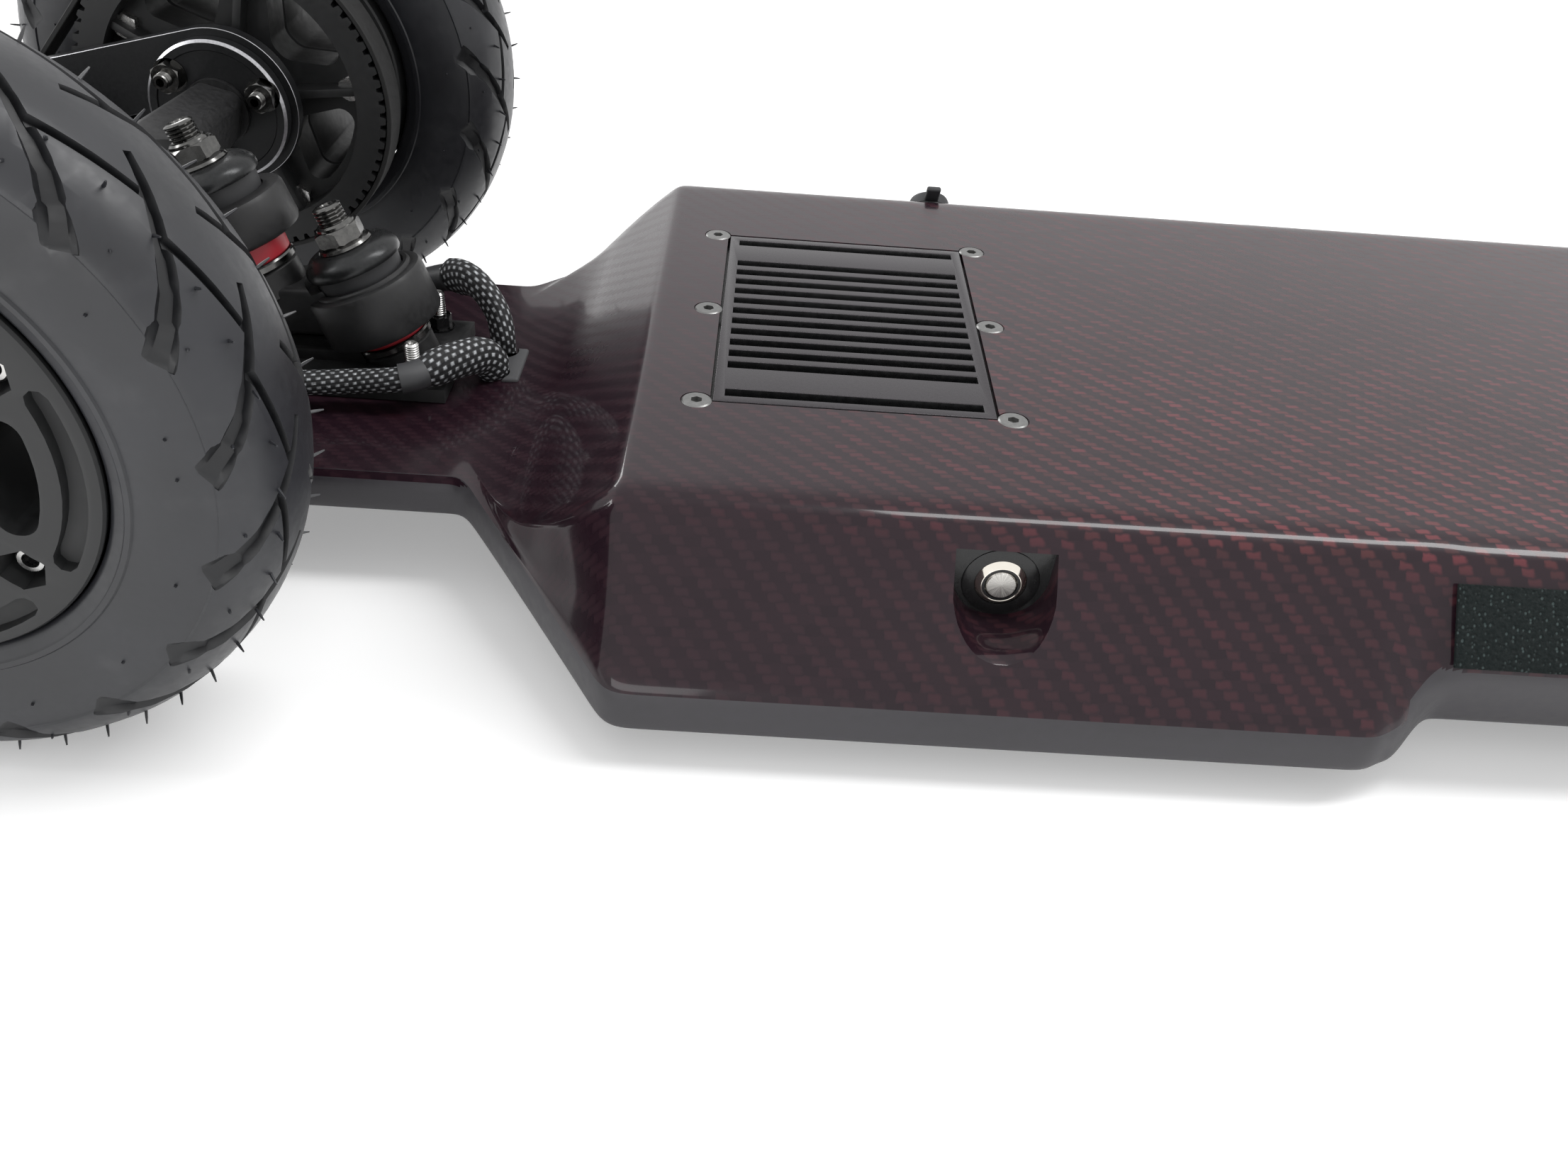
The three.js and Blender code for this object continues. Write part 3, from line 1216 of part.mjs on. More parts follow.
// Outline of the belt around both pulleys, grown by an amount from the pitch line's tips
function beltLoop(grow) {
  const big = tipRadius(WHEEL_TEETH) + grow;
  const small = tipRadius(MOTOR_TEETH) + grow;
  const open = Math.acos((big - small) / MOTOR_REACH);
  const points = [];
  const bigSteps = BORE_SIDES;
  for (let i = 0; i <= bigSteps; i++) {
    const angle = Math.PI + open + (i / bigSteps) * (2 * Math.PI - 2 * open);
    points.push(new THREE.Vector2(big * Math.cos(angle), big * Math.sin(angle)));
  }
  for (let i = 0; i <= SMALL_SIDES; i++) {
    const angle = Math.PI - open + (i / SMALL_SIDES) * 2 * open;
    points.push(new THREE.Vector2(small * Math.cos(angle) - MOTOR_REACH, small * Math.sin(angle)));
  }
  return points;
}

function driveBelt() {
  const facet = 1 / Math.cos(Math.PI / BORE_SIDES / 1.5);
  const lift = tipRadius(WHEEL_TEETH) * (facet - 1) + GAP;
  const shape = new THREE.Shape(beltLoop(lift + BELT_THICK));
  shape.holes.push(new THREE.Path(beltLoop(lift)));
  const level = slab(shape, -BELT_EDGE_Y - BELT_WIDTH, -BELT_EDGE_Y);
  const matrix = new THREE.Matrix4().makeRotationY(-MOTOR_DROP);
  return level.transform(matrix.toArray()).translate([0, 0, AXLE_Z]);
}

// Wheels in their own frame: the axle is Y, and outboard is -y
function hubShape() {
  const shape = new THREE.Shape(polygon(HUB_R, BIG_SIDES));
  return addOpenings(shape);
}

function arcSlot(middle) {
  const at = (radius, angle) => {
    const turn = middle + angle;
    return new THREE.Vector2(radius * Math.cos(turn), radius * Math.sin(turn));
  };
  const mid = (ARC_SLOT_IN_R + ARC_SLOT_OUT_R) / 2;
  const shares = [-1, 0, 1];
  const outer = shares.map((share) => at(ARC_SLOT_OUT_R, share * ARC_SLOT_HALF));
  const inner = shares.map((share) => at(ARC_SLOT_IN_R, -share * ARC_SLOT_HALF));
  const end = ARC_SLOT_HALF + (ARC_SLOT_OUT_R - ARC_SLOT_IN_R) / (2 * mid);
  return new THREE.Shape([...outer, at(mid, end), ...inner, at(mid, -end)]);
}

function hub() {
  const low = -HUB_HALF - CUT_OVER;
  const high = HUB_HALF + CUT_OVER;
  let body = slab(hubShape(), -HUB_HALF, HUB_HALF);
  const lip = turnedAboutY([
    [HUB_R - SKIN, -HUB_HALF], [HUB_LIP_R, -HUB_HALF], [HUB_LIP_R, HUB_LIP_WIDE - HUB_HALF],
    [HUB_R - SKIN, HUB_LIP_WIDE - HUB_HALF], [HUB_R - SKIN, -HUB_HALF],
  ], BIG_SIDES);
  body = body.add(lip);
  const cuts = [
    bar(HUB_CORE_R, [0, low, 0], [0, high, 0], SEAT_SIDES),
    bar(BEARING_R + GAP, [0, -BEARING_SEAT_Y, 0], [0, GAP + BEARING_WIDTH - BEARING_SEAT_Y, 0], SEAT_SIDES),
    bar(BEARING_R + GAP, [0, BEARING_SEAT_Y - BEARING_WIDTH - GAP, 0], [0, high, 0], SEAT_SIDES),
    bar(HUB_FACE_BORE_R, [0, low, 0], [0, -BEARING_SEAT_Y, 0], SEAT_SIDES),
  ];
  for (let i = 0; i < SPOKES; i++) {
    cuts.push(slab(arcSlot((2 * Math.PI * i) / SPOKES), low, ARC_SLOT_DEEP - HUB_HALF));
  }
  for (const cut of cuts) body = body.subtract(cut);
  return body;
}

// The two bearings of a wheel and the tube that spaces them on the axle
function wheelBearings() {
  const inner = AXLE_R + GAP;
  const tube = HUB_CORE_R - GAP;
  const face = BEARING_SEAT_Y;
  const back = BEARING_SEAT_Y - BEARING_WIDTH;
  return turnedAboutY([
    [inner, -face], [BEARING_R, -face], [BEARING_R, -back], [tube, -back], [tube, back], [BEARING_R, back],
    [BEARING_R, face], [inner, face], [inner, -face],
  ], SEAT_SIDES);
}

// The tyre's flats touch the ground circle, so its corners stand a little outside it
function tyre() {
  const out = TYRE_R / Math.cos(Math.PI / TYRE_FACETS);
  const bead = (HUB_LIP_R + GAP) / Math.cos(Math.PI / TYRE_FACETS);
  const half = TYRE_WIDTH / 2;
  const beadHalf = half * 0.9;
  const outside = [
    [bead, -beadHalf], [out * 0.82, -half], [out * 0.945, -half * 0.78], [out, -half * 0.28],
  ];
  const cavity = [
    [bead, -beadHalf + TYRE_BEAD_WALL], [out * 0.84, -half + TYRE_WALL], [out - 1.4 * TYRE_WALL, -half * 0.3],
  ];
  const mirrored = (points) => points.map(([r, y]) => [r, -y]).reverse();
  const profile = [...outside, ...mirrored(outside), ...cavity.map(([r, y]) => [r, -y])];
  profile.push(...[...cavity].reverse(), outside[0]);
  return turnedAboutY(profile, TYRE_FACETS).rotate([0, 180 / TYRE_FACETS, 0]);
}

function wheel(end, side, driven) {
  const group = new THREE.Group();
  group.add(piece(`tyre_${end}_${side}`, BLACK_RUBBER, tyre()));
  const turning = new THREE.Group();
  turning.rotation.y = HUB_PHASE;
  turning.add(piece(`hub_${end}_${side}`, BLACK_PLASTIC, hub()));
  turning.add(piece(`wheel_bearings_${end}_${side}`, STEEL, wheelBearings()));
  if (driven) turning.add(piece(`wheel_pulley_${side}`, BLACK_PLASTIC, wheelPulley()));
  group.add(turning);
  return group;
}

// Motor, pulley, belt and mount of one side, built for the near side
function drive(side) {
  const group = new THREE.Group();
  group.add(piece(`motor_mount_${side}`, BLACK_METAL, motorMount()));
  group.add(piece(`drive_belt_${side}`, BLACK_RUBBER, driveBelt()));
  const motor = new THREE.Group();
  motor.position.set(MOTOR_AT[0], -(BAR_END_Y + FLANGE_THICK), MOTOR_AT[1]);
  motor.add(piece(`motor_base_${side}`, BLACK_METAL, motorBase()));
  motor.add(piece(`motor_can_${side}`, BLACK_METAL, motorCan()));
  group.add(motor);
  const pulley = piece(`motor_pulley_${side}`, STEEL, motorPulley());
  pulley.position.set(MOTOR_AT[0], 0, MOTOR_AT[1]);
  pulley.rotation.z = Math.PI;
  group.add(pulley);
  return group;
}

// The far drive is the near one in a mirror, with its faces turned the right way out again
function mirroredAcross(group) {
  group.updateMatrixWorld(true);
  const mirror = new THREE.Matrix4().makeScale(1, -1, 1);
  const copy = new THREE.Group();
  group.traverse((item) => {
    if (!item.isMesh) return;
    const places = item.geometry.clone().applyMatrix4(item.matrixWorld).applyMatrix4(mirror);
    const mesh = new THREE.Mesh(geometryOf(solid(places)), item.material);
    mesh.name = item.name;
    copy.add(mesh);
  });
  return copy;
}

function wheels(end, driven) {
  const sides = driven ? [['near', -1], ['far', 1]] : [['far', -1], ['near', 1]];
  return sides.map(([side, sign]) => {
    const group = wheel(end, side, driven);
    group.position.set(0, sign * WHEEL_Y, AXLE_Z);
    if (sign > 0) group.rotation.z = Math.PI;
    return group;
  });
}

// One whole truck; the free one is turned half round, so its near and far wheels change over
function truck(end, driven) {
  const group = new THREE.Group();
  group.add(piece(`baseplate_${end}`, BLACK_METAL, baseplate()));
  group.add(piece(`link_${end}`, BLACK_METAL, link()));
  group.add(piece(`hanger_${end}`, BLACK_METAL, hanger(driven)));
  group.add(piece(`axle_${end}`, STEEL, axle()));
  const stack = kingpinFrame(OUTER_TIP);
  stack.add(piece(`outer_kingpin_${end}`, BLACK_CHROME, kingpin(KINGPIN_END_OUTER_S)));
  stack.add(piece(`outer_top_bushing_${end}`, BLACK_RUBBER, topBushing()));
  stack.add(piece(`outer_low_bushing_${end}`, RED_RUBBER, lowBushing()));
  group.add(stack);
  const inner = kingpinFrame(INNER_TIP);
  inner.add(piece(`inner_kingpin_${end}`, BLACK_CHROME, kingpin(KINGPIN_END_INNER_S)));
  inner.add(piece(`inner_top_bushing_${end}`, BLACK_RUBBER, topBushing()));
  inner.add(piece(`inner_low_bushing_${end}`, RED_RUBBER, lowBushing()));
  group.add(inner);
  for (const item of wheels(end, driven)) group.add(item);
  if (driven) group.add(drive('near'), mirroredAcross(drive('far')));
  group.position.x = driven ? -AXLE_X : AXLE_X;
  group.rotation.z = driven ? 0 : Math.PI;
  return group;
}

// A cable along points chosen by hand
function cableRun(points) {
  const curve = new THREE.CatmullRomCurve3(points.map((point) => new THREE.Vector3(...point)));
  const section = new THREE.Shape(polygon(CABLE_R, CABLE_SIDES));
  const steps = Math.round(curve.getLength() / CABLE_STEP);
  const settings = { steps, extrudePath: curve, bevelEnabled: false };
  return solid(new THREE.ExtrudeGeometry(section, settings));
}

// The inner routes count out from the outlet and up from the platform, to where the truck turns
const NEAR_INNER_ROUTE = [
  [2, -3, 1], [6, -9, 10], [15, -21, 13], [27, -32, 12], [45, -33, 10], [67, -37, 10], [85, -38, 10],
  [95, -38, 10],
];
const FAR_INNER_ROUTE = [
  [2, 11, 1], [5, 17, 14], [14, 25, 22], [26, 35, 19], [45, 39, 12], [67, 39, 10], [85, 38, 10],
  [95, 38, 10],
];

// The outer routes count in from the axle and down from its height, and end at the motor's foot
const OUTER_ROUTE = [
  [24.6, -38, 50], [15, -38, 50], [1, -42, 47], [-19, -58, 42], [-33, -75, 38], [-42, -80.6, 34.3],
  [-50.85, -80.8, 31.3],
];

function innerPlaces(route) {
  const stretch = (AXLE_X - CABLE_JOINT_IN + OUTLET_X) / INNER_RUN;
  return route.map(([out, y, up]) => [OUTLET_X - out * stretch, y, PLATFORM_Z + up]);
}

function outerPlaces(side) {
  return OUTER_ROUTE.map(([x, y, down]) => [x - AXLE_X, -side * y, AXLE_Z - down]);
}

function board() {
  const group = new THREE.Group();
  group.add(piece('deck_shell', CARBON, deckShell()));
  group.add(piece('deck_lid', CARBON, deckLid()));
  group.add(piece('grip_sheet', GRIP, gripSheet()));
  group.add(piece('battery_pack', BLUE_WRAP, batteryPack()));
  group.add(piece('speed_controller', BLACK_METAL, speedController()));
  group.add(piece('heat_sink', BLACK_METAL, heatSink()));
  group.add(piece('hook_strip_near', LOOP_TAPE, hookStrip(-1)));
  group.add(piece('hook_strip_far', LOOP_TAPE, hookStrip(1)));
  group.add(powerButton(), chargePort());
  group.add(truck('drive', true), truck('free', false));
  group.add(piece('near_cable_inner', SLEEVE, cableRun(innerPlaces(NEAR_INNER_ROUTE))));
  group.add(piece('far_cable_inner', SLEEVE, cableRun(innerPlaces(FAR_INNER_ROUTE))));
  group.add(piece('near_cable_outer', SLEEVE, cableRun(outerPlaces(-1))));
  group.add(piece('far_cable_outer', SLEEVE, cableRun(outerPlaces(1))));
  return group;
}

const mountainboard = board();

export default mountainboard;
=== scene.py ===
import json
import math

import bmesh
import bpy
from mathutils import Matrix, Vector

# %% [markdown]
# # An electric mountainboard, seen from above its drive end
# Carbon deck, two double-kingpin trucks on rubber bushings, four air tyres, two belt drives. Sizes in
# this notebook are in millimetres, as on a workshop drawing, and MM turns them into the scene's metres.
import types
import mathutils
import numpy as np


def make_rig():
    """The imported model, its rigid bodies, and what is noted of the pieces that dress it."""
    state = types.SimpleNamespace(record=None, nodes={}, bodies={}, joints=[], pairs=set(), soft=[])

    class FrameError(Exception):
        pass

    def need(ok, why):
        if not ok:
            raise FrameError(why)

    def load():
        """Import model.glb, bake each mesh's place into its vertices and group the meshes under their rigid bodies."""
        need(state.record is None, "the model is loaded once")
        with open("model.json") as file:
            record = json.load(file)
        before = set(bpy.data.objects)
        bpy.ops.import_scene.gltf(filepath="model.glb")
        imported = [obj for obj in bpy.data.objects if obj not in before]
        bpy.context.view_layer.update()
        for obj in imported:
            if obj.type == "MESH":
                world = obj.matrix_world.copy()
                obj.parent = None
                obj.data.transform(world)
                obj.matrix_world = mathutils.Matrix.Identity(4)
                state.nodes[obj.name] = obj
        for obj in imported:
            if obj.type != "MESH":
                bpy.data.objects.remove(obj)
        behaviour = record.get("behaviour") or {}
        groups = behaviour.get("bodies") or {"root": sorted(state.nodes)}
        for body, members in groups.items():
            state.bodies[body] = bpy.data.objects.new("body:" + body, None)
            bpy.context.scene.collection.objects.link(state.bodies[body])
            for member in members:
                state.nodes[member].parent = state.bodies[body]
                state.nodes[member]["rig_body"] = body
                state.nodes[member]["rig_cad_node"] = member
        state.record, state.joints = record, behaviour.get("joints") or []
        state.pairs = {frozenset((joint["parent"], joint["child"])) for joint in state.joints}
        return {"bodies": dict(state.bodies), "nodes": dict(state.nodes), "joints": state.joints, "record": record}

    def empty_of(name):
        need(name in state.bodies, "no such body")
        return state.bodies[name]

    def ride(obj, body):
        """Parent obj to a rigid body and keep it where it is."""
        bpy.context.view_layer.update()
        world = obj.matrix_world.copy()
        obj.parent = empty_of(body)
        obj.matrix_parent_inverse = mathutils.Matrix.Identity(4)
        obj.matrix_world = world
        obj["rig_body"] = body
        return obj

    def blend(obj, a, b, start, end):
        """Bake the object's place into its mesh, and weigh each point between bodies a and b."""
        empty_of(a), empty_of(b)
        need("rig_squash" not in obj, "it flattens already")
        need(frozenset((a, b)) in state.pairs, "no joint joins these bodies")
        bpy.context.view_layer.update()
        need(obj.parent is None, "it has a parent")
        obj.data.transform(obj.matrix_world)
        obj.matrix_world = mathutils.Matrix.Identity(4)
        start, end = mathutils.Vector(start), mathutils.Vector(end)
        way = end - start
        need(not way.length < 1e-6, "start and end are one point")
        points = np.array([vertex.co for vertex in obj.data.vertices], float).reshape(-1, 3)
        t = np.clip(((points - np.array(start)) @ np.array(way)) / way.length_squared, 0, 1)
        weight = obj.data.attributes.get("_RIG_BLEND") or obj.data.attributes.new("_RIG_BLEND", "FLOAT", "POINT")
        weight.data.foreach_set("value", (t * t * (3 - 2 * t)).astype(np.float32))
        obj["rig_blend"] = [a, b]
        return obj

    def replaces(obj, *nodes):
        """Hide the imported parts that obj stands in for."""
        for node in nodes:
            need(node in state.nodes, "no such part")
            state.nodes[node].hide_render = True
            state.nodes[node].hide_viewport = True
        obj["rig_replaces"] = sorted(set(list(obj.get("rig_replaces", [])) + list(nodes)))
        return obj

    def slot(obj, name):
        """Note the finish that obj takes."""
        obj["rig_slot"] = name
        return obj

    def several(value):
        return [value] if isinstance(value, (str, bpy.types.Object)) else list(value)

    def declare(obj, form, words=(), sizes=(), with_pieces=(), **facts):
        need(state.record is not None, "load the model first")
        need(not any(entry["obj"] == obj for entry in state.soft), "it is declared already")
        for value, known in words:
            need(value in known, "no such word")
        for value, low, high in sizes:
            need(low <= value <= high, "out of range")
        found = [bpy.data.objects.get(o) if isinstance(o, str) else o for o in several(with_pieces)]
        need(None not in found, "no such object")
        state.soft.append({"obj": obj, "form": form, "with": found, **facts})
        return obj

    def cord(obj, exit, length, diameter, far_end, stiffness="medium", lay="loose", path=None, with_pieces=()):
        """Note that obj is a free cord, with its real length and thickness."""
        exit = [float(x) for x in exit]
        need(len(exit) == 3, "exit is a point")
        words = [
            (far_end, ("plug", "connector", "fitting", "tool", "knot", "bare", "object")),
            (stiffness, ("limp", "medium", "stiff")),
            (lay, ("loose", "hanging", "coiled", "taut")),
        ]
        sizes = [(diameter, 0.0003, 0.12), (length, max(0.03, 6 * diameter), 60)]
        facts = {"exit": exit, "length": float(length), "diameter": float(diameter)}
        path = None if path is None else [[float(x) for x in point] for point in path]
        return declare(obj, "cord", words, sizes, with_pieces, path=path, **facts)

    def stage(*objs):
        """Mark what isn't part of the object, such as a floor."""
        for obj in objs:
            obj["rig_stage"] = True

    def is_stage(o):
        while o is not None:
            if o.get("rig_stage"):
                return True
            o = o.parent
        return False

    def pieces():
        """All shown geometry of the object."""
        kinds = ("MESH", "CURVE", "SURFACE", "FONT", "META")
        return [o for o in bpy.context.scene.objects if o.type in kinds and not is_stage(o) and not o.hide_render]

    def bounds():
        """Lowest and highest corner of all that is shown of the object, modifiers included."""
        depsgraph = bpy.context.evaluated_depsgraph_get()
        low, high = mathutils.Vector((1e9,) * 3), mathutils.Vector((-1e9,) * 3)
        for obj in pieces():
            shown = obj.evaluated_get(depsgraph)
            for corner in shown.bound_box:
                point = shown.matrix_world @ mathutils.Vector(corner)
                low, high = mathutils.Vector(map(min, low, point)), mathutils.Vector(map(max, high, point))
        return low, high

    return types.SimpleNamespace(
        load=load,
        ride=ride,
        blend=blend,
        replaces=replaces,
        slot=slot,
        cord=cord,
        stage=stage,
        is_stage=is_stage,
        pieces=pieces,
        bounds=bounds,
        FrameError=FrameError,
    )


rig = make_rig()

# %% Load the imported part
bpy.ops.object.select_all(action="SELECT")
bpy.ops.object.delete()
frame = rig.load()
NODES = frame["nodes"]
MM = 0.001
cad_low, cad_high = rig.bounds()
print("packed solids", len(NODES), "from", tuple(cad_low), "to", tuple(cad_high))

# %% [markdown]
# ## The camera
# The photograph looks down on the drive end from the near side with a wide lens, tipped a little. The
# outlines of the drive wheels, the motor plates, the heat sink and the deck's edges gave its place. A
# camera could also be aimed with a track constraint, but the tilt would then be lost.

# %% Camera
CAMERA_AT = Vector((-0.30423, -0.43733, 0.27565))
CAMERA_LENS = 30.89
CAMERA_SENSOR = 36
CAMERA_NEAR = 0.01
LOOK_DOWN, LOOK_ASIDE, LOOK_TILT = 0.6405, 0.0382, 0.0839

ahead = Vector((math.sin(LOOK_ASIDE) * math.cos(LOOK_DOWN), math.cos(LOOK_ASIDE) * math.cos(LOOK_DOWN),
                -math.sin(LOOK_DOWN)))
level = Vector((math.cos(LOOK_ASIDE), -math.sin(LOOK_ASIDE), 0))
rise = level.cross(ahead)
right = math.cos(LOOK_TILT) * level + math.sin(LOOK_TILT) * rise
up = math.cos(LOOK_TILT) * rise - math.sin(LOOK_TILT) * level
bpy.ops.object.camera_add(location=CAMERA_AT)
camera = bpy.context.object
camera.name = "photo_camera"
camera.data.lens = CAMERA_LENS
camera.data.sensor_width = CAMERA_SENSOR
camera.data.clip_start = CAMERA_NEAR
camera.matrix_world = Matrix.Translation(CAMERA_AT) @ Matrix((right, up, -ahead)).transposed().to_4x4()
bpy.context.scene.camera = camera
print("camera at", tuple(camera.location), "lens", camera.data.lens)

# %% [markdown]
# ## Values in a material
# Every finish below is worked out from the place on the piece, so it needs a good deal of
# arithmetic. Wiring each node by hand would be long and hard to read, so a small class wraps one
# socket and lets plus, times and the rest make the nodes.

# %% A socket with arithmetic
class Value:
    def __init__(self, tree, socket):
        self.tree = tree
        self.socket = socket

    def node(self, kind, given, out=0, **settings):
        made = self.tree.nodes.new(kind)
        for key, setting in settings.items():
            setattr(made, key, setting)
        for key, value in given.items():
            if isinstance(value, Value):
                self.tree.links.new(value.socket, made.inputs[key])
            else:
                made.inputs[key].default_value = value
        return Value(self.tree, made.outputs[out])

    def sum(self, operation, a, b=0.0):
        return self.node("ShaderNodeMath", {0: a, 1: b}, operation=operation)

    def __add__(self, other):
        return self.sum("ADD", self, other)

    def __radd__(self, other):
        return self.sum("ADD", other, self)

    def __sub__(self, other):
        return self.sum("SUBTRACT", self, other)

    def __rsub__(self, other):
        return self.sum("SUBTRACT", other, self)

    def __mul__(self, other):
        return self.sum("MULTIPLY", self, other)

    def __rmul__(self, other):
        return self.sum("MULTIPLY", other, self)

    def __truediv__(self, other):
        return self.sum("DIVIDE", self, other)

    def __rtruediv__(self, other):
        return self.sum("DIVIDE", other, self)

    def __gt__(self, other):
        return self.sum("GREATER_THAN", self, other)

    def floor(self):
        return self.sum("FLOOR", self)

    def chance(self):
        return self.node("ShaderNodeTexWhiteNoise", {"Vector": self})

    def fraction(self):
        return self.sum("FRACT", self)

    def sine(self):
        return self.sum("SINE", self)

    def between(self, low, high, to_low=0.0, to_high=1.0):
        given = {0: self, 1: low, 2: high, 3: to_low, 4: to_high}
        return self.node("ShaderNodeMapRange", given, interpolation_type="SMOOTHSTEP")

    def paint(self, low, high):
        mixed = {0: self, 6: colour(low), 7: colour(high)}
        return self.node("ShaderNodeMix", mixed, out=2, data_type="RGBA")

    def parts(self):
        split = self.tree.nodes.new("ShaderNodeSeparateXYZ")
        self.tree.links.new(self.socket, split.inputs[0])
        return [Value(self.tree, out) for out in split.outputs]

    def joined(self, x, y, z):
        return self.node("ShaderNodeCombineXYZ", {0: x, 1: y, 2: z})

    def stretched(self, x, y, z):
        return self.node("ShaderNodeVectorMath", {0: self, 1: (x, y, z)}, operation="MULTIPLY")

    def noise(self, scale, detail=2.0, rough=0.5):
        given = {"Vector": self, "Scale": scale, "Detail": detail, "Roughness": rough}
        return self.node("ShaderNodeTexNoise", given)

    def cells(self, scale):
        return self.node("ShaderNodeTexVoronoi", {"Vector": self, "Scale": scale}, out="Distance")

    def bump(self, height, strength, distance=0.0003):
        given = {"Strength": strength, "Distance": distance, "Height": height}
        return self.node("ShaderNodeBump", given, out="Normal")


def colour(value):
    return value if isinstance(value, Value) or len(value) == 4 else (*value, 1.0)


def material(name, look, uv=False):
    made = bpy.data.materials.new(name)
    made.use_nodes = True
    tree = made.node_tree
    shader = tree.nodes["Principled BSDF"]
    if uv:
        start = tree.nodes.new("ShaderNodeUVMap")
        place = Value(tree, start.outputs[0])
    else:
        start = tree.nodes.new("ShaderNodeTexCoord")
        place = Value(tree, start.outputs["Object"])
    for key, value in look(place).items():
        if isinstance(value, Value):
            tree.links.new(value.socket, shader.inputs[key])
        else:
            shader.inputs[key].default_value = colour(value) if isinstance(value, tuple) else value
    return made


print("values ready")

# %% [markdown]
# ## Floor, lights and surroundings
# A plain studio: pale floor, one wide soft lamp overhead, two on the left that draw the bright lines on
# nuts, cups and the near shoulder, and a low weak one in front. The surroundings are white to the eye
# and in every reflection, and light the shadows evenly. A paper sweep would do as well, but it would
# stand in the way of the views from behind.

# %% Studio
FLOOR_SIZE = 60.0
FLOOR_GLOW = 0.28
SHADOW_FILL = 0.72
LAMPS = [  # name, place, what it aims at, its sides and its power
    ("overhead", (0.66, 0.08, 1.7), (0.1, 0.0, 0.0), (0.36, 1.58), 21.0),
    ("behind_left", (-1.5, 1.7, 0.9), (-0.5, 0.0, 0.08), (0.7, 0.5), 9.0),
    ("left", (-2.05, 0.0, 1.02), (-0.4, 0.0, 0.05), (0.7, 0.5), 12.0),
    ("front_low", (-1.0, -2.0, 0.42), (-0.5, 0.0, 0.05), (1.3, 0.5), 7.0),
]


def background_ray(tree):
    """1 on the rays that show the background: to the eye, in a mirror and through glass."""
    ray = tree.nodes.new("ShaderNodeLightPath")
    straight, mirrored, through = (Value(tree, ray.outputs[kind]) for kind in (
        "Is Camera Ray", "Is Glossy Ray", "Is Transmission Ray"))
    return (straight + mirrored + through).between(0.0, 1.0)


def floor_look(p):
    grain = p.noise(3.0, 2.0)
    return {
        "Base Color": grain.paint((0.84, 0.84, 0.84), (0.88, 0.88, 0.88)),
        "Roughness": grain.between(0.3, 0.7, 0.85, 0.95),
        "Specular IOR Level": 0.0,
    }


bpy.ops.mesh.primitive_plane_add(size=FLOOR_SIZE, location=(0, 0, 0))
floor = bpy.context.object
floor.name = "studio_floor"
floor_material = material("studio_floor", floor_look)
tree = floor_material.node_tree
shader = tree.nodes["Principled BSDF"]
shader.inputs["Emission Color"].default_value = (1, 1, 1, 1)
floor_glow = background_ray(tree) * FLOOR_GLOW
tree.links.new(floor_glow.socket, shader.inputs["Emission Strength"])
floor.data.materials.append(floor_material)
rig.stage(floor)

for name, place, aim, size, power in LAMPS:
    bpy.ops.object.light_add(type="AREA", location=place)
    lamp = bpy.context.object
    lamp.name = name
    lamp.data.shape = "RECTANGLE"
    lamp.data.size, lamp.data.size_y = size
    lamp.data.energy = power
    lamp.rotation_euler = (Vector(aim) - Vector(place)).to_track_quat("-Z", "Y").to_euler()

world = bpy.data.worlds.new("studio")
bpy.context.scene.world = world
world.use_nodes = True
tree = world.node_tree
strength = background_ray(tree).between(0.0, 1.0, SHADOW_FILL, 1.0)
background = tree.nodes["Background"]
background.inputs["Color"].default_value = (1, 1, 1, 1)
tree.links.new(strength.socket, background.inputs["Strength"])
bpy.context.scene.view_settings.view_transform = "Standard"
print("lamps", [lamp[0] for lamp in LAMPS])

# %% [markdown]
# ## Finishes
# The shell is clear-coated carbon twill, nearly black: warp and weft alternate two over two under, and
# each tow is a shade apart. Reddish glints on the tows are painted sheen, weak at the drive end and
# full towards the middle, stronger on the near side and faint low down. Nearly all else is black in its
# own way: anodised, cast, moulded rubber, satin plastic. Each has grain in its colour and its gloss,
# since a single flat colour reads as paint. The plain ones differ in numbers only, so they come from one
# table. The near-black floor of the button's scoop, the walls of the heat sink's slots and the darker
# rubber in the tyre's grooves are painted shade.

# %% Finishes
TOW = 0.0022
LOOP_LONG, LOOP_WIDE = 0.0016, 0.0013
PICK = 0.0031
ROUND = 6.283
TOW_WANDER = 0.7
FACE_HEIGHT, FAR_SIDE, WALL_SLANT = 0.07, 0.08, 0.2


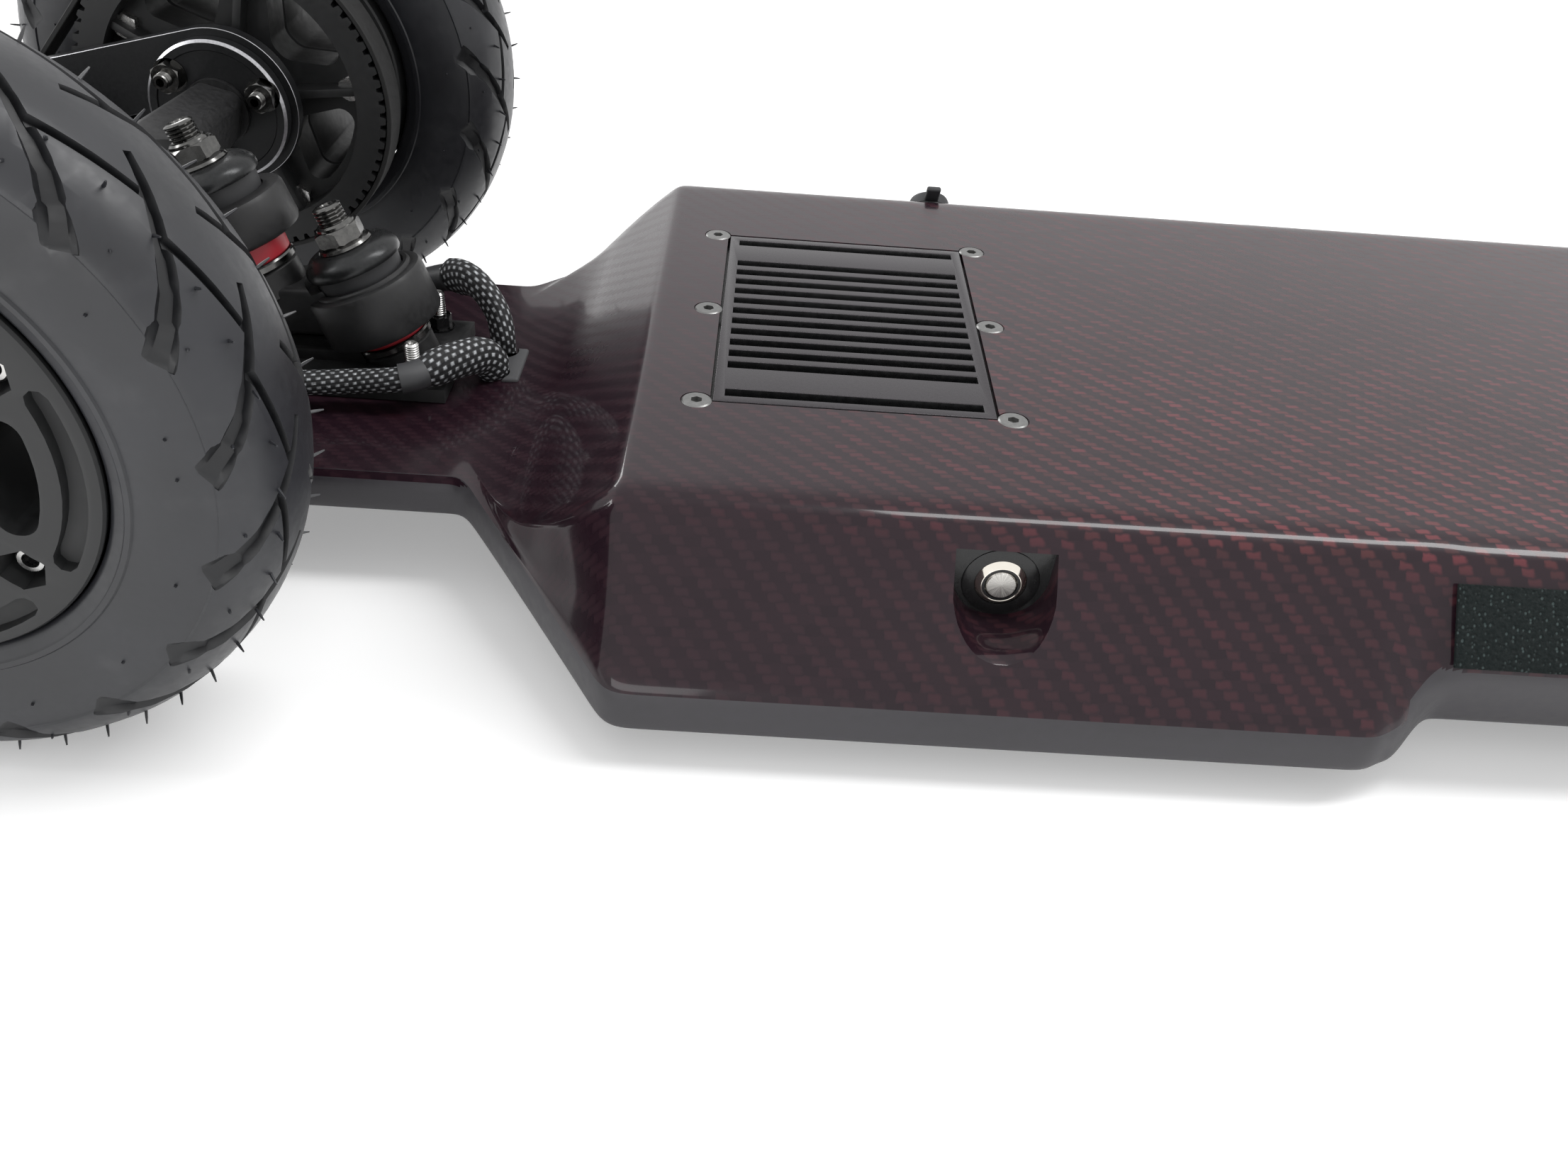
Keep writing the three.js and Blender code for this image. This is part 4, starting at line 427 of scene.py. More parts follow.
def carbon_look(p):
    x, y, z = p.parts()
    far = y > FAR_SIDE
    wander = (p.noise(260.0, 2.0) - 0.5) * TOW_WANDER
    across = (y + (z - FACE_HEIGHT) * (WALL_SLANT - far * (2 * WALL_SLANT))) / TOW + wander
    along = x / TOW + wander
    row = across.floor()
    edge = across.fraction()
    place = (along + row) / 4.0
    step = place.fraction() * 4.0 + edge * 0.35
    tow = p.joined(place.floor(), row, 0.0).chance()
    over = step.between(0.0, 0.5) * step.between(1.7, 2.3, 1.0, 0.0)
    mark = over * edge.between(0.0, 0.3, 0.2, 1.0) * edge.between(0.7, 1.0, 1.0, 0.2)
    clouds = p.noise(9.0, 2.0)
    # Painted sheen: reddish glints painted into the colour of the tows, weak at the drive end and full towards the
    # middle, stronger on the near side, and faint low on the walls and the platform.
    painted_sheen_spread = x.between(-0.36, -0.13, 0.05, 1.0) * y.between(-0.12, 0.1, 1.0, 0.35)
    painted_sheen_spread = painted_sheen_spread * z.between(0.06, FACE_HEIGHT, 0.24, 1.0)
    painted_sheen = mark * painted_sheen_spread * (tow * 0.6 + 0.15) * clouds.between(0.3, 0.6, 0.6, 1.0)
    ground = tow.paint((0.0145, 0.0065, 0.0105), (0.019, 0.0085, 0.013))
    tows = mark.paint(ground, (0.024, 0.0105, 0.0155))
    return {
        "Base Color": painted_sheen.paint(tows, tow.paint((0.17, 0.046, 0.036), (0.185, 0.038, 0.048))),
        "Roughness": (mark * 0.3 + clouds * 0.7).between(0.2, 0.8, 0.26, 0.4),
        "Specular IOR Level": 0.1,
        "Coat Weight": clouds.between(0.2, 0.8, 0.45, 0.55),
        "Coat Roughness": 0.07,
        "Coat IOR": 1.5,
        "Normal": p.bump(mark, 0.04, 0.0001),
    }


def satin(low, high, metallic, rough_low, rough_high, grain, bumps):
    def look(p):
        broad = p.noise(14.0, 3.0)
        fine = p.noise(grain, 2.0)
        return {
            "Base Color": (broad * 0.6 + fine * 0.4).between(0.3, 0.7).paint(low, high),
            "Metallic": metallic,
            "Roughness": (broad * 0.5 + fine * 0.5).between(0.3, 0.7, rough_low, rough_high),
            "Normal": p.bump(fine, bumps, 0.0001),
        }
    return look


def tyre_look(p):
    broad = p.noise(22.0, 3.0)
    fine = p.noise(420.0, 2.0)
    dust = p.noise(70.0, 4.0).between(0.55, 0.8)
    ground = broad.between(0.3, 0.7).paint((0.0115, 0.012, 0.0145), (0.021, 0.022, 0.0265))
    return {
        "Base Color": (dust * 0.3).paint(ground, (0.062, 0.062, 0.066)),
        "Roughness": (broad * 0.6 + fine * 0.4).between(0.3, 0.7, 0.32, 0.48),
        "Specular IOR Level": 0.6,
        "Normal": p.bump(fine, 0.2, 0.00012),
    }


def grip_look(p):
    grit = p.cells(900.0).between(0.1, 0.6)
    broad = p.noise(11.0, 3.0)
    return {
        "Base Color": (grit * 0.7 + broad * 0.3).paint((0.05, 0.05, 0.052), (0.009, 0.009, 0.01)),
        "Roughness": broad.between(0.3, 0.7, 0.85, 1.0),
        "Normal": p.bump(grit, 0.7, 0.0004),
    }


def loop_look(p):
    x, y, z = p.parts()
    slope = y * 0.79 - z * 0.61
    rows = ((x / LOOP_LONG).fraction() * ROUND).sine() * ((slope / LOOP_WIDE).fraction() * ROUND).sine()
    fuzz = p.noise(900.0, 3.0)
    loops = p.cells(620.0).between(0.05, 0.55)
    light = ((1 - loops) * fuzz * (rows * 0.5 + 0.8)).between(0.1, 0.5)
    return {
        "Base Color": light.paint((0.008, 0.0115, 0.0115), (0.05, 0.068, 0.067)),
        "Roughness": fuzz.between(0.3, 0.7, 0.75, 0.98),
        "Specular IOR Level": 0.2,
        "Normal": p.bump(loops + fuzz, 0.9, 0.0007),
    }


def braid_look(uv):
    u, v, _ = uv.parts()
    strand = v * 16.0 + u * 60.0
    lane, across = strand.floor(), strand.fraction()
    pick = (u / PICK + lane * 0.5).fraction()
    dash = pick.between(0.05, 0.25) * pick.between(0.45, 0.7, 1.0, 0.0)
    body = across.between(0.1, 0.35) * across.between(0.65, 0.9, 1.0, 0.0)
    speck = uv.stretched(900.0, 30.0, 1.0).noise(1.0, 1.0).between(0.3, 0.6, 0.35, 1.0)
    ridge = (dash + 0.25) * body
    return {
        "Base Color": (dash * body * speck).paint((0.006, 0.006, 0.007), (0.5, 0.52, 0.54)),
        "Roughness": ridge.between(0.0, 1.0, 0.75, 0.45),
        "Normal": uv.bump(ridge, 0.8, 0.0005),
    }


def brushed_look(p):
    x, y, z = p.parts()
    turn = p.node("ShaderNodeMath", {0: z - BUTTON[2] * MM, 1: x - BUTTON[0] * MM}, operation="ARCTAN2")
    rays = p.joined(turn, 0.0, 0.0).noise(14.0, 3.0)
    out = p.joined(turn * 2.0, y * 30.0, 0.0).noise(40.0, 2.0)
    return {
        "Base Color": (rays * 0.7 + out * 0.3).between(0.25, 0.75).paint(
            (0.3, 0.29, 0.27), (0.86, 0.84, 0.8)),
        "Metallic": 1.0,
        "Roughness": out.between(0.3, 0.7, 0.22, 0.4),
    }


BUTTON = (-230.5, -126.0, 50.3)
SATINS = {  # material, two shades, metallic, two roughnesses, grain and its relief
    "rim": ("rim_satin", (0.03, 0.028, 0.032), (0.041, 0.038, 0.044), 0.0, 0.42, 0.55, 300.0, 0.1),
    "battery_wrap": ("battery_wrap", (0.014, 0.075, 0.22), (0.02, 0.1, 0.27), 0.0, 0.3, 0.45, 180.0, 0.15),
    "black_anodised": ("black_anodised", (0.012, 0.0125, 0.0135), (0.019, 0.0195, 0.021),
                       0.35, 0.36, 0.5, 900.0, 0.08),
    "black_cast": ("black_cast", (0.012, 0.012, 0.0125), (0.022, 0.022, 0.023),
                   0.15, 0.4, 0.58, 500.0, 0.35),
    "black_steel": ("black_steel", (0.05, 0.05, 0.052), (0.1, 0.098, 0.1), 0.95, 0.16, 0.3, 600.0, 0.12),
    "bright_steel": ("bright_steel", (0.5, 0.5, 0.5), (0.66, 0.65, 0.63), 1.0, 0.2, 0.34, 700.0, 0.1),
    "sink_black": ("sink_black", (0.033, 0.029, 0.033), (0.045, 0.04, 0.045),
                   0.35, 0.24, 0.34, 900.0, 0.05),
    "cup_black": ("cup_black", (0.02, 0.021, 0.022), (0.034, 0.035, 0.036), 0.55, 0.26, 0.36, 700.0, 0.08),
    "grey_steel": ("grey_steel", (0.17, 0.17, 0.168), (0.25, 0.25, 0.245), 0.8, 0.3, 0.42, 700.0, 0.1),
    # Near-black: the real colour of the button's seal, and also painted shade on the floor of the button's scoop and
    # on the walls of the heat sink's slots.
    "seat_black": ("seat_black", (0.006, 0.0062, 0.0066), (0.011, 0.0112, 0.0118),
                   0.0, 0.22, 0.34, 500.0, 0.08),
    # Darker rubber for the tyre's grooves: painted shade, the rubber being the same as on the tread.
    "groove": ("tread_groove", (0.006, 0.0062, 0.0074), (0.011, 0.0116, 0.0136),
               0.0, 0.4, 0.56, 300.0, 0.1),
    "bolt_steel": ("bolt_steel", (0.1, 0.1, 0.098), (0.18, 0.177, 0.17), 1.0, 0.16, 0.28, 600.0, 0.1),
    "polished": ("polished_steel", (0.9, 0.85, 0.76), (0.96, 0.92, 0.84), 1.0, 0.1, 0.18, 300.0, 0.02),
    "plate_edge": ("plate_edge", (0.4, 0.4, 0.42), (0.6, 0.6, 0.62), 0.9, 0.28, 0.42, 900.0, 0.1),
    "black_plastic": ("black_plastic", (0.014, 0.0145, 0.015), (0.023, 0.0235, 0.0245),
                      0.0, 0.45, 0.6, 380.0, 0.25),
    "black_rubber": ("black_rubber", (0.02, 0.0205, 0.022), (0.03, 0.0305, 0.033),
                     0.0, 0.5, 0.66, 300.0, 0.2),
    "belt_rubber": ("belt_rubber", (0.009, 0.009, 0.009), (0.017, 0.017, 0.017), 0.0, 0.6, 0.8, 400.0, 0.3),
    "red_rubber": ("red_rubber", (0.47, 0.025, 0.04), (0.58, 0.04, 0.055), 0.0, 0.38, 0.52, 160.0, 0.1),
    "shrink": ("heat_shrink", (0.033, 0.034, 0.036), (0.05, 0.051, 0.054), 0.0, 0.42, 0.56, 240.0, 0.25),
    "sealant": ("grey_sealant", (0.045, 0.045, 0.048), (0.07, 0.07, 0.074), 0.0, 0.6, 0.75, 200.0, 0.4),
    "copper": ("copper_winding", (0.4, 0.13, 0.05), (0.55, 0.2, 0.08), 0.9, 0.3, 0.45, 900.0, 0.5),
}
FINISH = {
    "carbon_shell": material("carbon_shell", carbon_look),
    "grip": material("grip_sheet", grip_look),
    "brushed": material("brushed_cap", brushed_look),
    "loop_tape": material("loop_tape", loop_look),
    "tyre": material("tyre_rubber", tyre_look),
    "braid": material("braid_sleeve", braid_look, uv=True),
}
for finish, (name, *numbers) in SATINS.items():
    FINISH[finish] = material(name, satin(*numbers))
SLOT_OF = {"rim": "carbon_shell", "black_cast": "black_anodised", "plate_edge": "black_anodised",
           "sink_black": "black_anodised", "cup_black": "black_anodised", "grey_steel": "bright_steel",
           "bolt_steel": "bright_steel", "seat_black": "black_plastic", "groove": "tyre",
           "brushed": "bright_steel", "polished": "bright_steel", "belt_rubber": "black_rubber",
           "shrink": "black_rubber", "sealant": "black_rubber", "copper": "bright_steel"}
print("finishes", len(FINISH))

# %% [markdown]
# ## Ways of working
# Most pieces here are turned, sawn or cast, so the helpers are the same few: a lathe, a block, a
# drilled cut and a bevel, all through the editor's own operators. A skin over sections is kept for
# what no primitive gives, such as the deck, the belts and the cables.

# %% Helpers for pieces
def only(item):
    bpy.ops.object.select_all(action="DESELECT")
    item.select_set(True)
    bpy.context.view_layer.objects.active = item


def edit(item, select=True):
    only(item)
    bpy.ops.object.mode_set(mode="EDIT")
    bpy.ops.mesh.select_all(action="SELECT" if select else "DESELECT")


def leave():
    bpy.ops.object.mode_set(mode="OBJECT")


def tidy(item, within=0.001):
    edit(item)
    bpy.ops.mesh.remove_doubles(threshold=within * MM)
    bpy.ops.mesh.normals_make_consistent(inside=False)
    leave()
    return item


def place(item, matrix):
    only(item)
    item.matrix_world = matrix @ item.matrix_world
    bpy.ops.object.transform_apply(location=True, rotation=True, scale=True)
    return item


def at(x, y, z):
    return Matrix.Translation((x * MM, y * MM, z * MM))


def turn(axis, degrees):
    return Matrix.Rotation(math.radians(degrees), 4, axis)


def lathe(name, profile, sides=64, closed=False):
    """A profile of radius and height spun about Z."""
    bpy.ops.object.select_all(action="DESELECT")
    bpy.ops.mesh.primitive_plane_add(size=MM, location=(0, 0, 0))
    made = bpy.context.object
    made.name = made.data.name = name
    bpy.ops.object.mode_set(mode="EDIT")
    bpy.ops.mesh.select_all(action="SELECT")
    bpy.ops.mesh.merge(type="CENTER")
    bpy.ops.transform.translate(value=(profile[0][0] * MM, 0, profile[0][1] * MM))
    route = list(profile) + ([profile[0]] if closed else [])
    for (r0, z0), (r1, z1) in zip(route, route[1:]):
        step = ((r1 - r0) * MM, 0, (z1 - z0) * MM)
        bpy.ops.mesh.extrude_region_move(TRANSFORM_OT_translate={"value": step})
    bpy.ops.mesh.select_all(action="SELECT")
    bpy.ops.mesh.spin(steps=sides, angle=2 * math.pi, center=(0, 0, 0), axis=(0, 0, 1))
    leave()
    return tidy(made)


def block(name, low, high, bevel=0.0, segments=2):
    size = [(h - l) * MM for l, h in zip(low, high)]
    middle = [(h + l) / 2 * MM for l, h in zip(low, high)]
    bpy.ops.mesh.primitive_cube_add(size=1, location=middle, scale=size)
    made = bpy.context.object
    made.name = made.data.name = name
    bpy.ops.object.transform_apply(location=True, rotation=True, scale=True)
    if bevel:
        edit(made)
        bpy.ops.mesh.bevel(offset=bevel * MM, segments=segments, affect="EDGES")
        leave()
    return made


def rod(name, radius, start, end, sides=48, bevel=0.0):
    """A round bar between two points."""
    a, b = Vector(start) * MM, Vector(end) * MM
    bpy.ops.mesh.primitive_cylinder_add(vertices=sides, radius=radius * MM, depth=(b - a).length)
    made = bpy.context.object
    made.name = made.data.name = name
    if bevel:
        bevelled(made, bevel, 2, 60)
    face = (b - a).to_track_quat("Z", "Y").to_matrix().to_4x4()
    return place(made, Matrix.Translation((a + b) / 2) @ face)


def rounded(name, half_x, half_y, radius, low, high, sides=8):
    """An upright plate with round corners."""
    made = block(name, (-half_x, -half_y, low), (half_x, half_y, high))
    edit(made, select=False)
    cage = bmesh.from_edit_mesh(made.data)
    for edge in cage.edges:
        edge.select = abs((edge.verts[0].co - edge.verts[1].co).z) > 0.1 * MM
    cage.select_flush_mode()
    bmesh.update_edit_mesh(made.data)
    bpy.ops.mesh.bevel(offset=radius * MM, segments=sides, affect="EDGES")
    leave()
    return made


def bevelled(item, width, segments=2, angle=35):
    change = item.modifiers.new("bevel", "BEVEL")
    change.width = width * MM
    change.segments = segments
    change.limit_method = "ANGLE"
    change.angle_limit = math.radians(angle)
    only(item)
    bpy.ops.object.modifier_apply(modifier=change.name)
    return item


def cut(item, *cutters, operation="DIFFERENCE"):
    for cutter in cutters:
        change = item.modifiers.new("cut", "BOOLEAN")
        change.operation = operation
        change.solver = "EXACT"
        change.object = cutter
        only(item)
        bpy.ops.object.modifier_apply(modifier=change.name)
        bpy.data.objects.remove(cutter)
    return item


def joined(name, *items):
    bpy.ops.object.select_all(action="DESELECT")
    for item in items:
        item.select_set(True)
    bpy.context.view_layer.objects.active = items[0]
    if len(items) > 1:
        bpy.ops.object.join()
    items[0].name = items[0].data.name = name
    return items[0]


def copied(item, name, matrix=None):
    only(item)
    bpy.ops.object.duplicate()
    made = bpy.context.object
    made.name = made.data.name = name
    return place(made, matrix) if matrix else made


def skin(name, rings, closed=False, uv=False):
    """A skin over rings of points, each ring going round once."""
    count = len(rings[0])
    points = [Vector(p) * MM for ring in rings for p in ring]
    faces, texture, along = [], [], 0.0
    lengths = [0.0]
    for a, b in zip(rings, rings[1:] + rings[:1]):
        middle_a, middle_b = (sum((Vector(p) for p in ring), Vector()) / count for ring in (a, b))
        lengths.append(lengths[-1] + (middle_b - middle_a).length)
    for i in range(len(rings) - (0 if closed else 1)):
        j = (i + 1) % len(rings)
        for k in range(count):
            n = (k + 1) % count
            faces.append((i * count + k, i * count + n, j * count + n, j * count + k))
            texture += [(lengths[i], k), (lengths[i], k + 1), (lengths[i + 1], k + 1), (lengths[i + 1], k)]
    if not closed:
        faces += [tuple(reversed(range(count))), tuple(range((len(rings) - 1) * count, len(rings) * count))]
        texture += [(0.0, 0.0)] * count + [(lengths[len(rings) - 1], 0.0)] * count
    data = bpy.data.meshes.new(name)
    data.from_pydata(points, [], faces)
    if uv:
        layer = data.uv_layers.new(name="UVMap")
        for corner, (u, v) in zip(layer.data, texture):
            corner.uv = (u * MM, v / count)
    made = bpy.data.objects.new(name, data)
    bpy.context.scene.collection.objects.link(made)
    edit(made)
    bpy.ops.mesh.normals_make_consistent(inside=False)
    leave()
    return made


def coat(item, *finishes):
    for finish in finishes:
        item.data.materials.append(FINISH[finish])


def smooth(item, degrees):
    only(item)
    bpy.ops.object.shade_smooth_by_angle(angle=math.radians(degrees))


def done(item, finish, *nodes, body=None, angle=32, weighted=False):
    """Gives a piece its finish, its body and the solids it stands for."""
    if not item.data.materials:
        coat(item, finish)
    smooth(item, angle)
    if weighted:
        change = item.modifiers.new("weighted", "WEIGHTED_NORMAL")
        change.keep_sharp = True
        bpy.ops.object.modifier_apply(modifier=change.name)
    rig.ride(item, body or NODES[nodes[0]]["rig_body"])
    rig.slot(item, SLOT_OF.get(finish, finish))
    if nodes:
        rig.replaces(item, *nodes)
    return item


def round_route(points, steps=8):
    """A smooth line through the points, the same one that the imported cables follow."""
    knots = [Vector(p) for p in points]
    line = []
    for i in range(len(knots) - 1):
        before = knots[i - 1] if i else 2 * knots[0] - knots[1]
        after = knots[i + 2] if i + 2 < len(knots) else 2 * knots[-1] - knots[-2]
        a, b = knots[i], knots[i + 1]
        d0, d1, d2 = ((q - p).length ** 0.5 for p, q in ((before, a), (a, b), (b, after)))
        t1 = ((a - before) / d0 - (b - before) / (d0 + d1) + (b - a) / d1) * d1
        t2 = ((b - a) / d1 - (after - a) / (d1 + d2) + (after - b) / d2) * d1
        for k in range(steps):
            t = k / steps
            line.append((2 * t ** 3 - 3 * t * t + 1) * a + (t ** 3 - 2 * t * t + t) * t1
                        + (3 * t * t - 2 * t ** 3) * b + (t ** 3 - t * t) * t2)
    return line + [knots[-1]]


def tube(name, route, section, uv=True, sides=20):
    """A tube whose section at share t of the route is section(t), width and height."""
    rings = []
    side = Vector((0, 0, 1)).cross(route[1] - route[0]).normalized()
    for i, point in enumerate(route):
        ahead_of = (route[min(i + 1, len(route) - 1)] - route[max(i - 1, 0)]).normalized()
        side = (side - ahead_of * side.dot(ahead_of)).normalized()
        above = ahead_of.cross(side)
        wide, high = section(i / (len(route) - 1))
        ring = []
        for k in range(sides):
            angle = 2 * math.pi * k / sides
            ring.append(point + side * wide * math.cos(angle) + above * high * math.sin(angle))
        rings.append(ring)
    return skin(name, rings, uv=uv)


print("helpers ready")

# %% [markdown]
# ## Motor cables
# Each motor is fed by three wires in one braided sleeve. It leaves the deck through a hole in the
# platform, runs beside the truck and enters the foot of its motor. It is a mesh tube along the same
# line as its solid, cut in two where the truck turns, so that each half bends between two bodies. A
# bevelled curve would be shorter to write but has no place for the weave.

# %% Cables
CABLE_R = 4.2
ROUTES = {
    "near_cable_inner": [(-397, -3, 41), (-401, -9, 50), (-410, -21, 53), (-422, -32, 52), (-440, -33, 50),
                         (-462, -37, 50), (-480, -38, 50), (-490, -38, 50)],
    "far_cable_inner": [(-397, 11, 41), (-400, 17, 54), (-409, 25, 62), (-421, 35, 59), (-440, 39, 52),
                        (-462, 39, 50), (-480, 38, 50), (-490, 38, 50)],
    "near_cable_outer": [(-490.4, -38, 50), (-500, -38, 50), (-514, -42, 53), (-534, -58, 58),
                         (-548, -75, 62), (-557, -80.6, 65.7), (-565.85, -80.8, 68.7)],
}
ROUTES["far_cable_outer"] = [(x, -y, z) for x, y, z in ROUTES["near_cable_outer"]]
SLEEVE_END = {"near": 0.40, "far": 0.44}
SLEEVE_HALF = {"near": (5.4, 6.6), "far": (4.4, 7.6)}
SHRINK_LONG = 10.0


def run_length(route):
    return sum((b - a).length for a, b in zip(route, route[1:]))


for name, points in ROUTES.items():
    side, half = name.split("_cable_")
    route = round_route(points)
    cable = tube(name + "_run", route, lambda t: (CABLE_R, CABLE_R))
    coat(cable, "braid")
    smooth(cable, 40)
    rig.slot(cable, "braid")
    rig.replaces(cable, name)
    extras = []
    if half == "inner":
        reach = int(len(route) * SLEEVE_END[side])
        part = route[: reach + 1]

        def swell(t):
            grow = min(1, 4.5 * t + 0.55) * min(1, 3.2 * (1 - t) + 0.62)
            return (max(SLEEVE_HALF[side][0] * grow, 4.35), SLEEVE_HALF[side][1] * grow)

        sleeve = tube(side + "_fat_sleeve", part, swell, sides=28)
        coat(sleeve, "braid")
        shrink_route = route[reach - 1: reach + 1 + int(SHRINK_LONG / 2.6)]
        shrink = tube(side + "_heat_shrink", shrink_route, lambda t: (5.6, 5.0), sides=28)
        coat(shrink, "shrink")
        for extra, slot in ((sleeve, "braid"), (shrink, "black_rubber")):
            smooth(extra, 40)
            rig.slot(extra, slot)
            extras.append(extra)
    ends = [Vector(points[0]) * MM, Vector(points[-1]) * MM]
    bodies = ("deck", "link_drive") if half == "inner" else ("link_drive", "hanger_drive")
    for item in [cable, *extras]:
        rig.blend(item, *bodies, ends[0], ends[1])
    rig.cord(cable, exit=ends[0], length=run_length(route) * MM, diameter=2 * CABLE_R * MM, far_end="object",
            stiffness="medium", lay="loose", path=[tuple(p * MM) for p in route], with_pieces=extras)
    print(cable.name, round(run_length(route), 1), "mm")

# %% [markdown]
# ## Deck shell
# The shell is drawn as a cage of sections along the board, closer where it changes, and subdivided
# so that every corner comes out as round as laid-up cloth. The hollow, the opening of the heat
# sink, the seat of the button and the lid's recess are then cut out. Modelling it as one box with
# bevels was the other way, but the diagonal corners and the waist would stay hard.

# %% Deck sections
AXLE_X = 515
FACE_Z, PLATFORM_Z, RIDE_Z, RIM_DROP, RIM_THICK = 70.0, 40.0, 25.0, 15.0, 15.0
TIP_X, TIP_CORNER, PLATFORM_END, FACE_END = 505.0, 32.0, 396.0, 341.0
SHOULDER_OUT, SHOULDER_IN, WAIST_X = 343.0, 117.0, 96.0
PLATFORM_HALF, SHOULDER_HALF, WAIST_HALF, FACE_HALF = 75.0, 156.0, 136.0, 121.0
SLOPE_FOOT, SLOPE_FOOT_RISE = 374.0, 3.5
CORNER_LONG, CORNER_IN = 5, 3
WAIST_EDGE_Y, WAIST_EDGE_Z = 143.5, 41.0


def mix(a, b, share):
    return a + (b - a) * min(1.0, max(0.0, share))


def eased(share):
    t = min(1.0, max(0.0, share))
    return t * t * (3 - 2 * t)


def ride_height(y):
    share = max(0.0, (abs(y) - PLATFORM_HALF) / (SHOULDER_HALF - PLATFORM_HALF))
    return RIDE_Z - RIM_DROP * share ** 1.2


def half_width(x):
    corner = SHOULDER_HALF - CORNER_IN
    if x >= PLATFORM_END:
        into = x - (TIP_X - TIP_CORNER)
        if into <= 0:
            return PLATFORM_HALF
        return PLATFORM_HALF - TIP_CORNER + math.sqrt(max(0.0, TIP_CORNER ** 2 - into ** 2))
    if x >= SHOULDER_OUT:
        return mix(PLATFORM_HALF, corner, (PLATFORM_END - x) / (PLATFORM_END - SHOULDER_OUT))
    if x >= SHOULDER_OUT - CORNER_LONG:
        return mix(corner, SHOULDER_HALF, (SHOULDER_OUT - x) / CORNER_LONG)
    if x >= SHOULDER_IN + CORNER_LONG:
        return SHOULDER_HALF
    if x >= SHOULDER_IN:
        return mix(SHOULDER_HALF, corner, (SHOULDER_IN + CORNER_LONG - x) / CORNER_LONG)
    return mix(corner, WAIST_HALF, eased((SHOULDER_IN - x) / (SHOULDER_IN - WAIST_X)))


def top_height(x):
    if x >= PLATFORM_END:
        return PLATFORM_Z
    if x >= SLOPE_FOOT:
        share = (PLATFORM_END - x) / (PLATFORM_END - SLOPE_FOOT)
        return PLATFORM_Z + SLOPE_FOOT_RISE * share * share
    return mix(PLATFORM_Z + SLOPE_FOOT_RISE, FACE_Z, (SLOPE_FOOT - x) / (SLOPE_FOOT - FACE_END))


def half_section(x):
    half, top = half_width(x), top_height(x)
    rise = min(1.0, max(0.0, (PLATFORM_END - x) / (PLATFORM_END - FACE_END)))
    waist = eased((SHOULDER_IN - x) / (SHOULDER_IN - WAIST_X))
    rim = ride_height(half)
    wall_z = mix(rim + RIM_THICK, WAIST_EDGE_Z, waist)
    wall_y = mix(half, WAIST_EDGE_Y, waist)
    face = mix(half * 0.8, FACE_HALF, rise)
    middle = (mix(wall_y, face, 0.5), mix(wall_z, top, mix(0.2, 0.5, rise)))
    last = min(half - 9.0, PLATFORM_HALF + 0.8 * (half - PLATFORM_HALF)) if half > 84 else half - 9.0
    across = [0.0, min(50.0, half * 0.5), min(72.0, half - 16.0), last, half - 2.2]
    points = [(y, ride_height(y)) for y in across]
    points += [(half, rim + 2.4), (mix(half, wall_y, 0.5), mix(rim, wall_z, 0.5)), (wall_y, wall_z - 2.6)]
    inward = Vector((middle[0] - wall_y, middle[1] - wall_z)).normalized()
    points.append((wall_y + inward.x * 2.8, wall_z + inward.y * 2.8))
    for share in (0.3, 0.55):
        points.append((mix(wall_y, middle[0], share), mix(wall_z, middle[1], share)))
    points.append(middle)
    for share in (0.45, 0.8):
        points.append((mix(middle[0], face, share), mix(middle[1], top, share)))
    outward = Vector((middle[0] - face, middle[1] - top)).normalized()
    points.append((face + outward.x * 3.0 * max(rise, 0.2), top + outward.y * 3.0 * max(rise, 0.2)))
    points += [(face - 3.2, top), (face - 11.0, top), (face * 0.6, top), (face * 0.3, top), (0.0, top)]
    return points


STATIONS = [505, 503.4, 497, 489, 481, 473, 455, 430, 412, 402, 396, 391, 385, 379, 373, 367, 360, 353, 348,
            344.5, 342, 339.5, 336, 328, 300, 270, 230, 190, 150, 130, 123.5, 120, 117, 114, 110.5, 106.5,
            102.5, 99, 96, 90, 60, 25]
stations = [-x for x in STATIONS] + STATIONS[::-1]
rings = []
for x in stations:
    far = [(x, y, z) for y, z in half_section(abs(x))]
    near = [(x, -y, z) for y, z in half_section(abs(x))[1:-1]][::-1]
    rings.append(far + near)
shell = skin("deck_cage", rings)
edit(shell, select=False)
cage = bmesh.from_edit_mesh(shell.data)
cage.faces.ensure_lookup_table()
for cap in [face for face in cage.faces if len(face.verts) > 4]:
    loop = sorted(cap.verts, key=lambda corner: corner.index)
    count = len(loop)
    bmesh.ops.delete(cage, geom=[cap], context="FACES_ONLY")
    for i in range(count // 2):
        quad = [loop[i], loop[i + 1], loop[(count - 1 - i) % count], loop[(count - i) % count]]
        cage.faces.new(list(dict.fromkeys(quad)))
bmesh.update_edit_mesh(shell.data)
bpy.ops.mesh.select_all(action="SELECT")
bpy.ops.mesh.normals_make_consistent(inside=False)
leave()
change = shell.modifiers.new("round", "SUBSURF")
change.levels = change.render_levels = 2
only(shell)
bpy.ops.object.modifier_apply(modifier=change.name)
print("deck skin", len(shell.data.polygons), "faces")

# %% [markdown]
# ## Openings of the deck
# The cutters are sawn blocks, a D-shaped scoop and the seats of the screws. The scoop's side is
# drafted and its rim is widened a little, since a moulded seat has a soft lip that catches the light.

